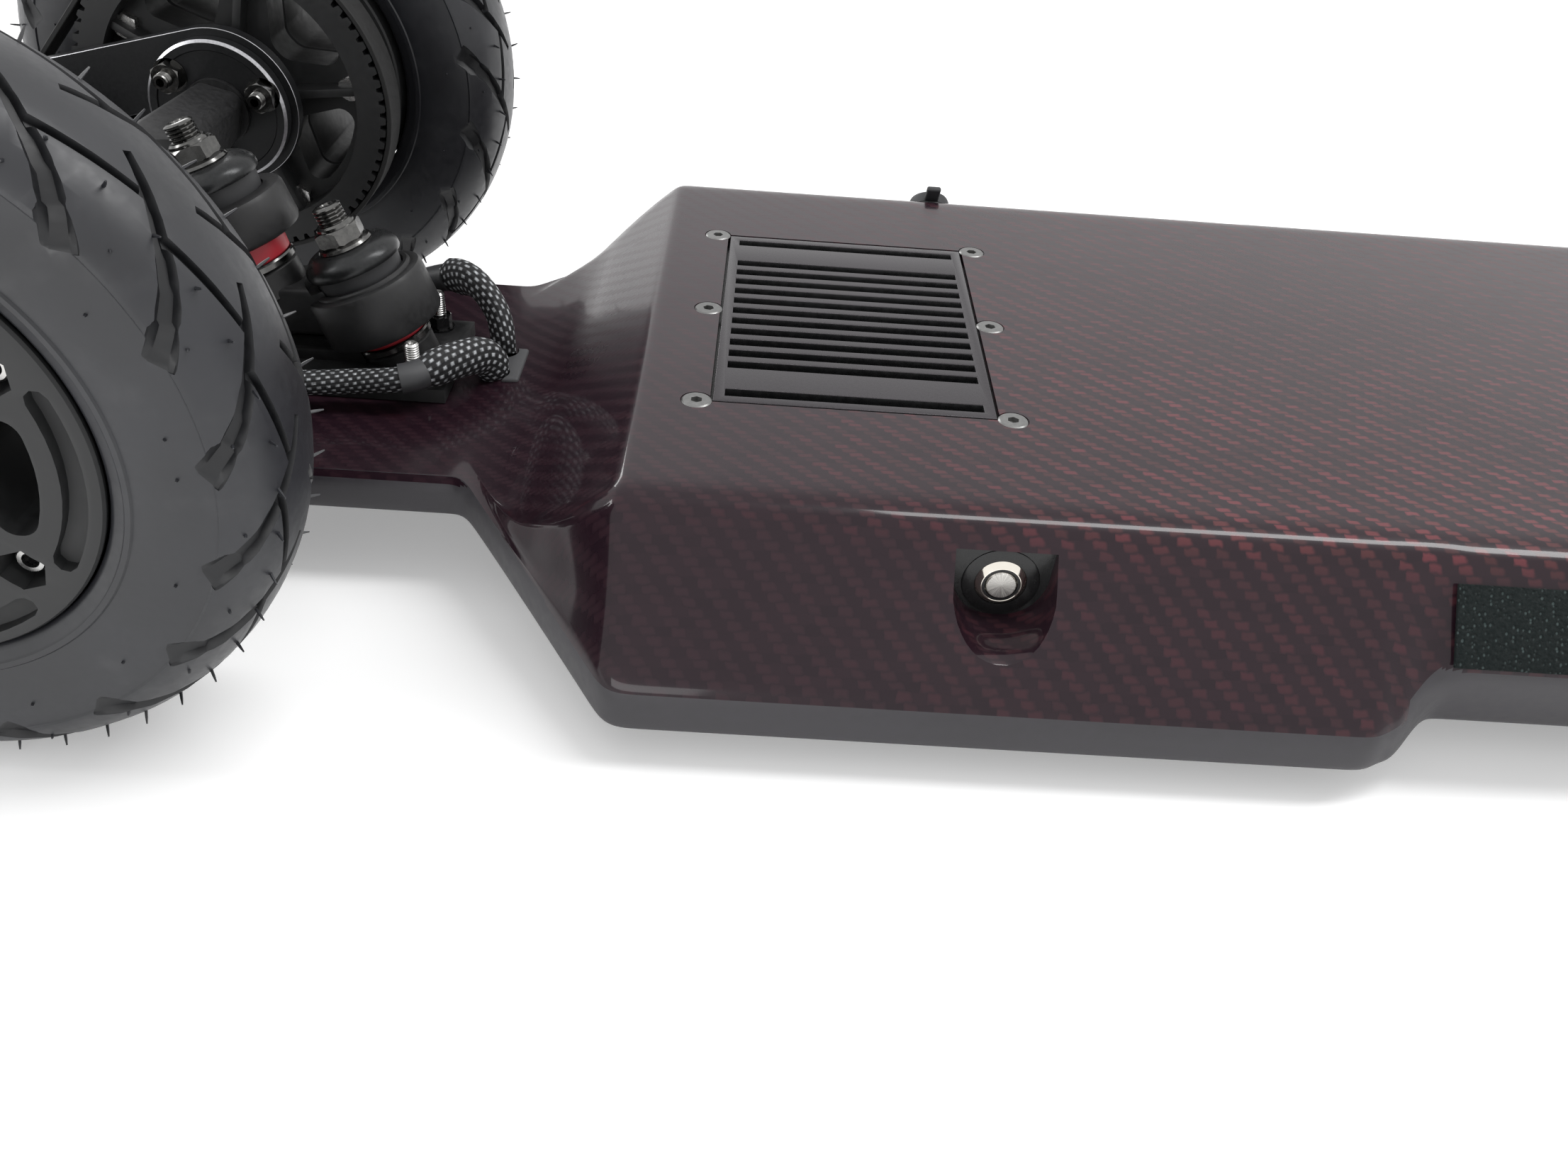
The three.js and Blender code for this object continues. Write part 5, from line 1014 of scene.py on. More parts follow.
# %% Cut the deck
SINK_X, SINK_HALF_X, SINK_HALF_Y = -272.4, 44.8, 66.0
SINK_SCREWS = [(SINK_X + x, y) for x in (-49.8, 49.8) for y in (-66.3, 0.0, 66.3)]
LID_SCREWS = [(-295 + 590 * i / 3, y) for i in range(4) for y in (-57.0, 57.0)]
BASE_BOLTS = [(x, y) for x in (92.6, 38.6) for y in (-20.65, 20.65)]
DECK_BOLTS = [(end * (AXLE_X - x), y) for end in (-1, 1) for x, y in BASE_BOLTS]
BOLT_WAY_R = 2.7
SEAT_HALF, SEAT_FOOT, SEAT_HEAD = 14.8, 38.3, 62.2
SEAT_WAIST, SEAT_ROUND = 0.96, 0.78
SEAT_STEPS = 17


def curved(a, b, c, share):
    """A number on the way from a to c that leans towards b."""
    return (1 - share) ** 2 * a + 2 * share * (1 - share) * b + share * share * c


def seat_ring(y, grow):
    half, foot, head = SEAT_HALF + grow, SEAT_FOOT - grow, SEAT_HEAD + grow
    ring = [(-half, head), (-half * SEAT_WAIST, BUTTON[2])]
    for k in range(1, SEAT_STEPS):
        t = k / SEAT_STEPS
        if t < 0.5:
            share = t * 2
            ring.append((curved(-half * SEAT_WAIST, -half * SEAT_ROUND, 0, share),
                         curved(BUTTON[2], foot, foot, share)))
        else:
            share = t * 2 - 1
            ring.append((curved(0, half * SEAT_ROUND, half * SEAT_WAIST, share),
                         curved(foot, foot, BUTTON[2], share)))
    ring += [(half * SEAT_WAIST, BUTTON[2]), (half, head)]
    return [(BUTTON[0] + x, y, z) for x, z in ring]


bay_rings = []
for x in (-331, -101, -96, 96, 101, 331):
    low = 118 if abs(x) <= 96 else 128
    side = [(low, 31), (low, 40), (112, 67)]
    bay_rings.append([(x, y, z) for y, z in side] + [(x, -y, z) for y, z in side[::-1]])
bay = skin("bay", bay_rings)
boss = block("boss", (BUTTON[0] - 18, -160, 30), (BUTTON[0] + 18, BUTTON[1] + 3, 68))
cut(bay, boss)
SEAT_DRAFT = ((-36, 5.0), (-22.5, 2.3), (-20.5, 1.5), (-18.5, 0.95), (-16.0, 0.6), (-8, 0.3), (0, -0.4))
scoop = skin("scoop", [seat_ring(BUTTON[1] + y, grow) for y, grow in SEAT_DRAFT])
opening = rounded("sink_opening", SINK_HALF_X + 0.9, SINK_HALF_Y + 0.9, 1.6, 62, 80)
place(opening, at(SINK_X, 0, 0))
mouth = rounded("lid_mouth", 291, 53, 10, 20, 35)
recess = rounded("lid_recess", 300.3, 62.3, 10.3, 20, 28.3)
button_hole = rod("button_hole", 6.3, (BUTTON[0], -130, BUTTON[2]), (BUTTON[0], -105, BUTTON[2]))
outlet = rounded("outlet", 4.2, 10, 3, 28, 46)
place(outlet, at(-396, 4, 0))
holes = [rod("bolt_hole", BOLT_WAY_R, (x, y, 20), (x, y, 45), 20) for x, y in DECK_BOLTS]
for x, y in SINK_SCREWS:
    profile = [(0, -12), (2.8, -12), (2.8, -2.6), (5.05, -0.4), (5.05, 4), (0, 4)]
    holes.append(place(lathe("sink_screw_seat", profile, 32), at(x, y, FACE_Z)))
cut(shell, bay, scoop, opening, mouth, recess, button_hole, outlet, joined("screw_holes", *holes))
shell.name = shell.data.name = "deck_shell_skin"
coat(shell, "carbon_shell", "rim", "seat_black")
for face in shell.data.polygons:
    x, y, z = (v / MM for v in face.center)
    rim_low = ride_height(half_width(abs(x))) + 2.0
    outside = abs(y) > half_width(abs(x)) - 4.0 or abs(x) > TIP_X - 4.0
    under = face.normal.z < -0.45 and z < 32
    waist = abs(x) < 112 and z < 40.5
    edge_on = outside and abs(face.normal.z) < 0.5 and (z < rim_low + 13.2 or waist)
    face.material_index = 1 if under or edge_on else 0
    # The flat floor of the button's scoop takes the near-black finish: painted shade in the recess.
    in_seat = abs(x - BUTTON[0]) < SEAT_HALF + 0.7 and 37 < z < 64
    if abs(y - BUTTON[1]) < 0.5 and in_seat and face.normal.y < -0.9:
        face.material_index = 2
done(shell, "carbon_shell", "deck_shell", angle=28)
print(shell.name, len(shell.data.polygons), "faces")

# %% [markdown]
# ## Cable fittings on the deck
# The far sleeve, the near sleeve and a bead of grey sealant share the outlet. The bead is a small
# rounded pad on the platform.

# %% Sealant
sealant = rounded("cable_sealant", 6.2, 12.2, 4.0, 39.4, 41.6)
place(sealant, at(-395, 3.4, 0))
bevelled(sealant, 1.0, 3, 50)
cut(sealant, rod("sleeve_way", 5.4, (-397, -3, 36), (-399, -6, 46)),
    rod("sleeve_way", 5.4, (-397, 11, 36), (-398, 14, 46)))
done(sealant, "sealant", body="deck")

# %% [markdown]
# ## Heat sink and its screws
# One extruded block stands in the opening with thirteen round-ended slots milled along it, and a
# wider foot under the shell takes six countersunk screws with hexagon sockets.

# %% Heat sink
SLOT_STEP = 8.2
sink = rounded("heat_sink_body", SINK_HALF_X, SINK_HALF_Y, 2.6, 55, FACE_Z)
place(sink, at(SINK_X, 0, 0))
cut(sink, block("sink_foot", (SINK_X - 54.8, -76, 63.5), (SINK_X + 54.8, 76, 66.7)), operation="UNION")
slots = []
for y in [-60, 60] + [(i - 5) * SLOT_STEP for i in range(11)]:
    slot = rounded("sink_slot", 41.2, 2.4, 2.38, 61, 76, 6)
    slots.append(place(slot, at(SINK_X, y, 0)))
ways = [rod("sink_way", 2.8, (x, y, 60), (x, y, 70), 20) for x, y in SINK_SCREWS]
cut(sink, joined("sink_slots", *slots), joined("sink_ways", *ways))
bevelled(sink, 0.45, 3, 50)
# Faces below the top, the walls and floors of the slots and the sides, take the near-black finish: painted shade in
# the slots, the metal being the same.
coat(sink, "sink_black", "seat_black")
for face in sink.data.polygons:
    face.material_index = 1 if face.center.z < 69.3 * MM else 0
done(sink, "sink_black", "heat_sink", angle=30)


def socket_screw(name, head_r, head_deep, shank_r, long, key, sunk=True):
    """A screw that points down from z = 0, with a hexagon socket in its head."""
    if sunk:
        profile = [(0, 0.15), (head_r - 0.5, 0.15), (head_r, -0.25), (shank_r, -head_deep)]
    else:
        profile = [(0, head_deep), (head_r * 0.6, head_deep), (head_r * 0.93, head_deep * 0.62),
                   (head_r, 0.2), (head_r, 0), (shank_r, 0)]
    profile += [(shank_r, -long), (0, -long)]
    made = lathe(name, profile, 32)
    top = 0.15 if sunk else head_deep
    key_hole = rod("key_hole", key, (0, 0, top - 1.5), (0, 0, top + 2), 6)
    return cut(made, key_hole)


screw = socket_screw("sink_screw", 4.85, 2.5, 2.5, 9.5, 1.95)
screws = [copied(screw, "sink_screw", at(x, y, FACE_Z) @ turn("Z", 17 * i))
          for i, (x, y) in enumerate(SINK_SCREWS)]
bpy.data.objects.remove(screw)
done(joined("sink_screws", *screws), "grey_steel", body="deck", angle=30)
print("heat sink and", len(screws), "screws")

# %% [markdown]
# ## Riding side
# The lid of the bay and the grip sheet around it face the rider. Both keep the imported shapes, with
# their edges eased, because they are plain sheets. The battery, the controller and the loop tape on the
# waist are as plain and are dressed the same way. The lid has eight small button-head screws.

# %% Lid and grip
def dressed(node, name, finish, bevel=0.4, segments=2, angle=35, flat=1.0):
    source = NODES[node]
    data = source.data.copy()
    made = bpy.data.objects.new(name, data)
    bpy.context.scene.collection.objects.link(made)
    data.name = name
    data.materials.clear()
    for tag in list(made.keys()):
        del made[tag]
    edit(made)
    bpy.ops.mesh.remove_doubles(threshold=0.002 * MM)
    bpy.ops.mesh.dissolve_limited(angle_limit=math.radians(flat))
    bpy.ops.mesh.normals_make_consistent(inside=False)
    leave()
    if bevel:
        bevelled(made, bevel, segments, angle)
    return done(made, finish, node)


dressed("deck_lid", "bay_lid", "carbon_shell", 0.5)
dressed("grip_sheet", "grip_tape", "grip", 0.3, 1, 50)
dressed("battery_pack", "battery", "battery_wrap", 1.5, 3)
dressed("speed_controller", "controller", "black_anodised", 0.5)
dressed("hook_strip_near", "loop_strip_near", "loop_tape", 0.4)
dressed("hook_strip_far", "loop_strip_far", "loop_tape", 0.4)
screw = socket_screw("lid_screw", 2.9, 1.5, 1.5, 5.0, 1.1, sunk=False)
screws = [copied(screw, "lid_screw", at(x, y, RIDE_Z) @ turn("X", 180)) for x, y in LID_SCREWS]
bpy.data.objects.remove(screw)
done(joined("lid_screws", *screws), "black_steel", body="deck", angle=30)
print("riding side ready")

# %% [markdown]
# ## Power button
# A push button of bright steel sits in the D-shaped seat: bevelled bezel, dark seal behind it, and a
# cap whose face is turned, so its light runs in rays. The barrel and nut are inside the bay.

# %% Power button
BUTTON_FRAME = at(*BUTTON) @ turn("X", 90)
bezel = lathe("button_bezel", [
    (4.95, 1.1), (5.5, 1.1), (5.5, 1.6), (5.6, 1.72), (5.8, 1.72), (7.35, 0.55), (7.5, 0.35), (7.5, 0.05),
    (6.0, 0.05), (6.0, -16.0), (0, -16.0), (0, -4.6), (4.95, -4.6)], 72)
nut = cut(rod("button_nut", 8.2, (0, 0, -6.3), (0, 0, -3.3), 6),
          rod("nut_bore", 5.8, (0, 0, -8), (0, 0, 0)))
bezel = place(joined("power_button_bezel", bezel, nut), BUTTON_FRAME)
done(bezel, "polished", "power_button_body", angle=24)
ring = lathe("button_ring", [(4.75, 1.05), (5.5, 1.05), (5.5, 1.5), (4.75, 1.5)], 64, True)
disc = lathe("button_disc", [(7.6, 0.05), (11.3, 0.05), (11.2, 0.25), (10.8, 0.4), (7.6, 0.4)], 72, True)
done(place(joined("power_button_seal", ring, disc), BUTTON_FRAME), "seat_black", body="deck")
cap = lathe("power_button_face", [(0, 1.85), (0.4, 1.8), (3.8, 2.05), (4.15, 2.0), (4.3, 1.8), (4.6, 1.2),
                                  (4.6, -2.5), (0, -2.5)], 72)
place(cap, BUTTON_FRAME)
done(cap, "brushed", "power_button_cap", angle=24)

# %% [markdown]
# ## Charge port
# On the far wall a round socket stands on its flange under a hinged rubber cap. The cap's tab points
# up the slope and its strap goes down to the hinge, so it opens away from the face.

# %% Charge port
PORT = Matrix(((-1, 0, 0, -233.5 * MM), (0, -0.6139, 0.7894, 129.4 * MM), (0, 0.7894, 0.6139, 59.2 * MM),
               (0, 0, 0, 1)))
socket = lathe("charge_socket_body", [
    (4.4, 1.5), (4.8, 1.9), (9.1, 1.9), (9.5, 1.5), (9.5, 0.3), (7.5, 0.3), (7.5, -17.7), (0, -17.7),
    (0, -10.1), (4.4, -10.1)], 56)
pin = lathe("charge_pin", [(0, -10.1), (1.1, -10.1), (1.1, -3.2), (0.7, -2.4), (0, -2.4)], 24)
done(place(socket, PORT), "black_plastic", "charge_socket")
done(place(pin, PORT), "bright_steel", body="deck")
cap = lathe("cap_body", [(0, -0.8), (3.0, -0.8), (3.5, -0.3), (3.5, 2.2), (8.3, 2.2), (8.6, 2.5),
                         (8.6, 6.0), (8.1, 7.1), (7.0, 7.7), (6.0, 7.4), (0, 7.4)], 56)
tab = block("cap_tab", (-3, 4.3, 2.2), (3, 16.6, 4.6), 0.9, 3)
ridges = [block("cap_ridge", (-2.6, 11 + 1.6 * i, 4.4), (2.6, 11.7 + 1.6 * i, 5.1), 0.2, 1)
          for i in range(3)]
strap = block("cap_strap", (-2.5, -11.4, 2.2), (2.5, -4.3, 3.8), 0.5, 2)
done(place(joined("charge_port_cap", cap, tab, strap, *ridges), PORT), "black_rubber", "charge_cap")
print("button and port ready")

# %% [markdown]
# ## Kingpin stacks
# Each truck turns on two leaning kingpins. From the tip down: thread, flanged nut, domed cup, black
# bushing, the eye it clamps, red bushing, low cup. All of it is turned work, drawn along Z and then
# leaned over; the threads are rings and not a helix, which at this size looks the same.

# %% Kingpins
LEAN = 21.0
TIPS = {"inner": (62.8, 98.0), "outer": (18.4, 122.9)}
KINGPIN_END = {"inner": 57.5, "outer": 60.5}
NUT_TURN = {"inner": 11, "outer": -14}
DOWN = (math.sin(math.radians(LEAN)), -math.cos(math.radians(LEAN)))


def on_kingpin(which, s):
    return (TIPS[which][0] + DOWN[0] * s, TIPS[which][1] + DOWN[1] * s)


def kingpin_frame(which):
    return at(TIPS[which][0] - AXLE_X, 0, TIPS[which][1]) @ turn("Y", -LEAN)


def thread(major, low, high, pitch, tip=0.0):
    """Points of a threaded length from its tip at high down to low."""
    points = [(0, high - 0.6), (major * 0.32, high - 0.6), (major * 0.4, high - 0.1), (major * 0.72, high)]
    z = high - 0.7
    while z > low + pitch:
        points += [(major * 0.88, z + pitch * 0.3), (major, z), (major, z - pitch * 0.25)]
        z -= pitch
    return points + [(major * 0.88, z), (major * 0.88, low)]


def hex_nut(name, corner, low, high, chamfer=0.9):
    made = rod(name, corner, (0, 0, low), (0, 0, high), 6)
    shape = [(0, low), (corner * 0.9, low), (corner * 1.01, low + chamfer), (corner * 1.01, high - chamfer),
             (corner * 0.88, high), (0, high)]
    return cut(made, lathe("nut_shape", shape, 48), operation="INTERSECT")


def both_ends(item, finish, *nodes, body=None, angle=32):
    """Finishes a piece of the drive truck and its twin, half a turn round, on the free one."""
    twin = copied(item, item.name.replace("drive", "free"), turn("Z", 180))
    swap = [node.replace("drive", "free") for node in nodes]
    done(item, finish, *nodes, body=body, angle=angle)
    done(twin, finish, *swap, body=body.replace("drive", "free") if body else None, angle=angle)
    return item, twin


def bushing(item, finish, node, which, still, follows):
    """The cup's end of a bushing stays with its kingpin and the eye's end follows the eye."""
    bodies = {"inner": ("deck", "link_drive"), "outer": ("link_drive", "hanger_drive")}[which]
    twin = copied(item, item.name.replace("drive", "free"), turn("Z", 180))
    for made, end, half_turn in ((item, "drive", Matrix()), (twin, "free", turn("Z", 180))):
        coat(made, finish)
        smooth(made, 32)
        spots = (on_kingpin(which, still), on_kingpin(which, follows))
        a, b = (half_turn @ (Vector((x - AXLE_X, 0, z)) * MM) for x, z in spots)
        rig.blend(made, *(body.replace("drive", end) for body in bodies), a, b)
        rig.slot(made, finish)
        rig.replaces(made, node.replace("drive", end))


for which in TIPS:
    node = which + "_kingpin_drive"
    stud = lathe("stud", thread(5.0, -9.0, 0.0, 1.25) + [(5.0, -9.6), (5.0, -KINGPIN_END[which]),
                                                         (0, -KINGPIN_END[which])], 40)
    nut = place(hex_nut("nut", 8.6, -12.9, -7.4, 1.0), turn("Z", NUT_TURN[which]))
    flange = lathe("flange", [(5.1, -12.4), (7.4, -12.4), (9.1, -13.3), (9.6, -14.2), (9.4, -14.6),
                              (5.1, -14.6)], 48, True)
    collar = lathe("collar", [(5.0, -6.0), (5.8, -6.0), (6.6, -6.6), (6.8, -7.3), (6.8, -8.0),
                              (5.0, -8.0)], 40, True)
    low_cup = lathe("low_cup", [(5.1, -49.6), (12.4, -49.6), (13.3, -49.3), (13.7, -49.9), (13.7, -51.6),
                                (13.2, -52.1), (5.1, -52.1)], 56, True)
    hardware = joined(which + "_kingpin_set_drive", stud, nut, flange, collar, low_cup)
    place(hardware, kingpin_frame(which))
    both_ends(hardware, "bolt_steel", node, angle=28)
    top_cup = lathe(which + "_top_cup_drive", [
        (5.1, -14.6), (9.6, -14.6), (12.0, -14.9), (13.9, -15.7), (15.4, -16.9), (16.4, -18.0),
        (16.8, -19.3), (16.8, -20.8), (16.5, -21.3), (15.8, -21.3), (15.3, -20.8), (15.3, -18.9),
        (5.1, -18.9)], 72, True)
    both_ends(place(top_cup, kingpin_frame(which)), "cup_black", body=NODES[node]["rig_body"])
    top = lathe(which + "_upper_bushing_drive", [
        (5.4, -18.9), (14.1, -18.9), (14.8, -19.8), (15.0, -23.0), (14.5, -27.5), (14.7, -32.6),
        (14.0, -33.7), (5.4, -33.7)], 64, True)
    bushing(place(top, kingpin_frame(which)), "black_rubber", which + "_top_bushing_drive", which,
            21.5, 29.0)
    low = lathe(which + "_lower_bushing_drive", [
        (5.4, -38.3), (12.6, -38.3), (13.0, -39.0), (13.0, -43.0), (13.25, -46.0), (13.0, -48.7),
        (12.5, -49.3), (5.4, -49.3)], 64, True)
    bushing(place(low, kingpin_frame(which)), "red_rubber", which + "_low_bushing_drive", which, 48.5, 40.0)
print("kingpins ready")

# %% [markdown]
# ## Castings of the trucks
# Baseplate, link and hanger each carry an eye or a post that is round about a kingpin, and a round nose
# or the cup it pivots in. The round parts are turned, the webs sawn from blocks and drilled, and then
# they are joined. One fused casting would need every crossing rounded by hand, in a place that is dark.

# %% Baseplate and link
EYE_TOP = -27.0
PLATE_LOW = 40.3
PIVOT_AT = (36.0, 51.5)
OUTER_SLOPE = math.radians(40)


def eye(high, lip):
    top, low = EYE_TOP, EYE_TOP - high
    if lip:
        rim = [(15.1, top + 0.5), (15.5, top + 1.0), (16.8, top + 1.0), (17.4, top + 0.5),
               (17.6, top - 0.2), (18.9, top)]
    else:
        rim = [(15.1, top), (18.9, top)]
    body = [(20.3, top - 0.6), (21.0, top - 2.0), (21.0, low + 2.0), (20.3, low + 0.6), (18.9, low),
            (13.3, low), (13.3, -38.0), (8.0, -38.0), (8.0, -34.0), (15.1, -34.0)]
    return lathe("eye", rim + body, 72, True)


def room(radius, top, low, which):
    return place(rod("room", radius, (0, 0, top), (0, 0, low), 48), kingpin_frame(which))


def bores(which, high):
    return [room(15.1, -24, -34, which), room(8, -30, -40, which), room(13.3, -38, -28 - high, which)]


def pivot_point(centre, slope, distance):
    return (centre[0] - math.cos(slope) * distance - AXLE_X, 0, centre[1] - math.sin(slope) * distance)


EYES = {"inner": on_kingpin("inner", 36.5), "outer": on_kingpin("outer", 34.5)}
SLOPES = {"inner": math.atan2(EYES["inner"][1] - PIVOT_AT[1], EYES["inner"][0] - PIVOT_AT[0]),
          "outer": OUTER_SLOPE}


def pivot_cup(which, start, end):
    a, b = (pivot_point(EYES[which], SLOPES[which], d) for d in (start, end))
    cup = rod("pivot_cup", 8.3, a, b, 40, 1.2)
    return cut(cup, rod("pivot_bore", 5.0, pivot_point(EYES[which], SLOPES[which], start - 4),
                        pivot_point(EYES[which], SLOPES[which], end - 2.7), 32))


def nose(which, start, end):
    return rod("nose", 4.6, pivot_point(EYES[which], SLOPES[which], start),
               pivot_point(EYES[which], SLOPES[which], end - 3.3), 32, 1.4)


plate = rounded("plate", 44, 27, 5, PLATE_LOW, PLATE_LOW + 5.0)
place(plate, at(60 - AXLE_X, 0, 0))
bolt_ways = [rod("bolt_way", BOLT_WAY_R, (x - AXLE_X, y, 38), (x - AXLE_X, y, 48), 20)
             for x, y in BASE_BOLTS]
cut(plate, *bolt_ways, room(5.3, 0, -57.8, "inner"))
post = lathe("post", [(5.3, -52.4), (12.6, -52.4), (13.2, -53.0), (13.2, -66.0), (5.3, -66.0)], 64, True)
place(post, kingpin_frame("inner"))
cup = pivot_cup("inner", 45, 57)
for piece in (post, cup):
    cut(piece, block("under", (-560, -60, 0), (-360, 60, PLATE_LOW + 0.05)))
ribs = [block("rib", (30 - AXLE_X, y - 1.6, 44), (78 - AXLE_X, y + 1.6, 49), 0.8) for y in (-9.0, 9.0)]
for rib in ribs:
    cut(rib, room(14.0, 0, -54, "inner"))
bevelled(plate, 0.7, 2, 40)
both_ends(joined("truck_base_drive", plate, post, cup, *ribs), "black_cast", "baseplate_drive")

web = block("web", (37.3 - AXLE_X, -11.2, 54.4), (75.9 - AXLE_X, 11.2, 71.6), 2.4, 3)
cut(web, *bores("inner", 19), room(18.7, 0, -24.5, "inner"), room(14.1, -40, -52.4, "outer"))
arm = block("arm", (5.9 - AXLE_X, -7.9, 61.7), (40.6 - AXLE_X, 7.9, 71.6), 2.2, 3)
cut(arm, room(14.1, -40, -52.4, "outer"), room(5.3, 0, -60.8, "outer"),
    rod("pivot_bore", 5.0, pivot_point(EYES["outer"], SLOPES["outer"], 22),
        pivot_point(EYES["outer"], SLOPES["outer"], 35.8), 32))
post = lathe("post", [(5.3, -52.4), (12.6, -52.4), (13.2, -53.0), (13.2, -61.4), (12.6, -62.0),
                      (5.3, -62.0)], 64, True)
place(post, kingpin_frame("outer"))
ring = place(eye(19, True), kingpin_frame("inner"))
link = joined("truck_link_drive", web, arm, post, ring, pivot_cup("outer", 26.5, 38.5),
              nose("inner", 20.7, 57))
both_ends(link, "black_cast", "link_drive")
print("baseplates and links ready")

# %% [markdown]
# ## Hanger and axle
# The hanger's bar is an eight-sided casting, thickest behind the kingpin and tapered to both ends,
# turned a little on its own line. It is skinned over four sections. The eye, the spindles and, on
# the drive side, a disc that carries the motor plate are turned and joined on.

# %% Hanger
AXLE_Z, WHEEL_Y = 100.0, 149.1
BAR_TURN = math.radians(14)


def bar_section(half_x, half_z, y):
    chamfer = 0.3 * half_x
    ring = []
    for sx, sz in ((1, 1), (-1, 1), (-1, -1), (1, -1)):
        a, b = (sx * half_x, sz * (half_z - chamfer)), (sx * (half_x - chamfer), sz * half_z)
        ring += [a, b] if sx * sz > 0 else [b, a]
    return [(x * math.cos(BAR_TURN) + z * math.sin(BAR_TURN) - AXLE_X, y,
             z * math.cos(BAR_TURN) - x * math.sin(BAR_TURN) + AXLE_Z) for x, z in ring]


def crosswise(item, side):
    """Lays a piece turned along Z on the axle, its outboard end away from the board's middle."""
    return place(item, at(-AXLE_X, 0, AXLE_Z) @ turn("X", 90 if side < 0 else -90))


def hanger_castings():
    body = skin("bar", [bar_section(9.5, 9.5, -80.1), bar_section(10, 13.5, -21), bar_section(10, 13.5, 21),
                        bar_section(9.5, 9.5, 80.1)])
    bevelled(body, 1.1, 2, 25)
    cut(body, room(18.7, 4, -26.7, "outer"), *bores("outer", 15))
    ring = place(eye(15, False), kingpin_frame("outer"))
    items = [body, ring, nose("outer", 16, 38.5)]
    for side in (-1, 1):
        spindle = lathe("spindle", [(6.3, 60), (9.0, 60), (9.0, 124), (8.6, 128.3), (8.0, 128.8),
                                    (6.3, 128.8)], 48, True)
        shoulder = lathe("shoulder", [(6.3, 78), (12.2, 78), (12.2, 82.5), (11.4, 83.4),
                                      (6.3, 83.4)], 48, True)
        items += [crosswise(spindle, side), crosswise(shoulder, side)]
    return items


driven = joined("truck_hanger_drive", *hanger_castings())
free = joined("truck_hanger_free", *hanger_castings())
place(free, turn("Z", 180))
done(free, "black_cast", "hanger_free")
done(driven, "black_cast", "hanger_drive")

PLATE_BOLTS = [math.radians(21.8 + 120 * k) for k in range(3)]
PLATE_BOLTS_R = 19.7
for side, word in ((-1, "near"), (1, "far")):
    disc = lathe("plate_disc_" + word, [(9.2, 80.1), (22.0, 80.1), (22.4, 79.5), (25.0, 79.5), (26.0, 80.4),
                                        (26.0, 85.2), (9.2, 85.2)], 96, True)
    crosswise(disc, side)
    coat(disc, "black_anodised", "plate_edge")
    for face in disc.data.polygons:
        x, y, z = (v / MM for v in face.center)
        on_rim = math.hypot(x + AXLE_X, z - AXLE_Z) > 24.8 and abs(face.normal.y) < 0.85
        face.material_index = 1 if on_rim and abs(y) < 80.6 else 0
    done(disc, "black_anodised", body="hanger_drive")
    fixings = []
    for angle in PLATE_BOLTS:
        rod_end = lathe("plate_stud", [(1.5, -70.8), (1.5, -69.9), (2.5, -69.9), (2.9, -70.5)]
                        + [p for z in range(5) for p in ((2.9, -71.0 - z), (2.5, -71.5 - z))]
                        + [(2.9, -77.0), (2.9, -92.0), (0, -92.0), (0, -70.8)], 32)
        nut = hex_nut("plate_nut", 5.8, -79.6, -74.6, 0.7)
        washer = lathe("washer", [(3.0, -80.1), (6.3, -80.1), (6.3, -79.5), (3.0, -79.5)], 40, True)
        head = socket_screw("plate_screw", 5.0, 2.6, 2.9, 3.0, 1.9, sunk=False)
        place(head, at(0, 0, -91.1) @ turn("X", 180))
        bolt = place(joined("plate_bolt", rod_end, nut, washer, head), Matrix.Scale(-1, 4, (0, 0, 1)))
        tidy(bolt)
        spot = at(PLATE_BOLTS_R * math.cos(angle),
                  PLATE_BOLTS_R * math.sin(angle) * (1 if side < 0 else -1), 0)
        fixings.append(crosswise(place(bolt, spot), side))
    done(joined("plate_bolts_" + word, *fixings), "bolt_steel", body="hanger_drive", angle=30)
print("hangers ready")

# %% [markdown]
# ## Axles
# One steel bar passes right through each hanger, necked where it crosses the kingpin, with a thread
# and a lock nut at both ends.

# %% Axles
axle_parts = [rod("neck", 4.0, (-AXLE_X, -38.5, AXLE_Z), (-AXLE_X, 38.5, AXLE_Z), 32)]
for side in (-1, 1):
    stem = lathe("stem", [(0, 37.7), (6.0, 37.7), (6.0, 168.5)]
                 + [p for k in range(8) for p in ((6.0, 169.0 + 1.2 * k), (5.35, 169.6 + 1.2 * k))]
                 + [(6.0, 178.4), (5.4, 179.1), (0, 179.1)], 40)
    nut = hex_nut("axle_nut", 10.4, 169.4, 176.2, 1.2)
    ring = lathe("lock_ring", [(6.05, 176.0), (8.4, 176.0), (8.2, 177.3), (6.6, 177.4),
                               (6.05, 177.0)], 40, True)
    axle_parts += [crosswise(item, side) for item in (stem, nut, ring)]
both_ends(joined("wheel_axle_drive", *axle_parts), "bright_steel", "axle_drive")

# %% [markdown]
# ## Bolts of the baseplates
# Four bolts per truck come up through the platform; the photograph shows their threads above the
# nuts. Their button heads are on the riding side.

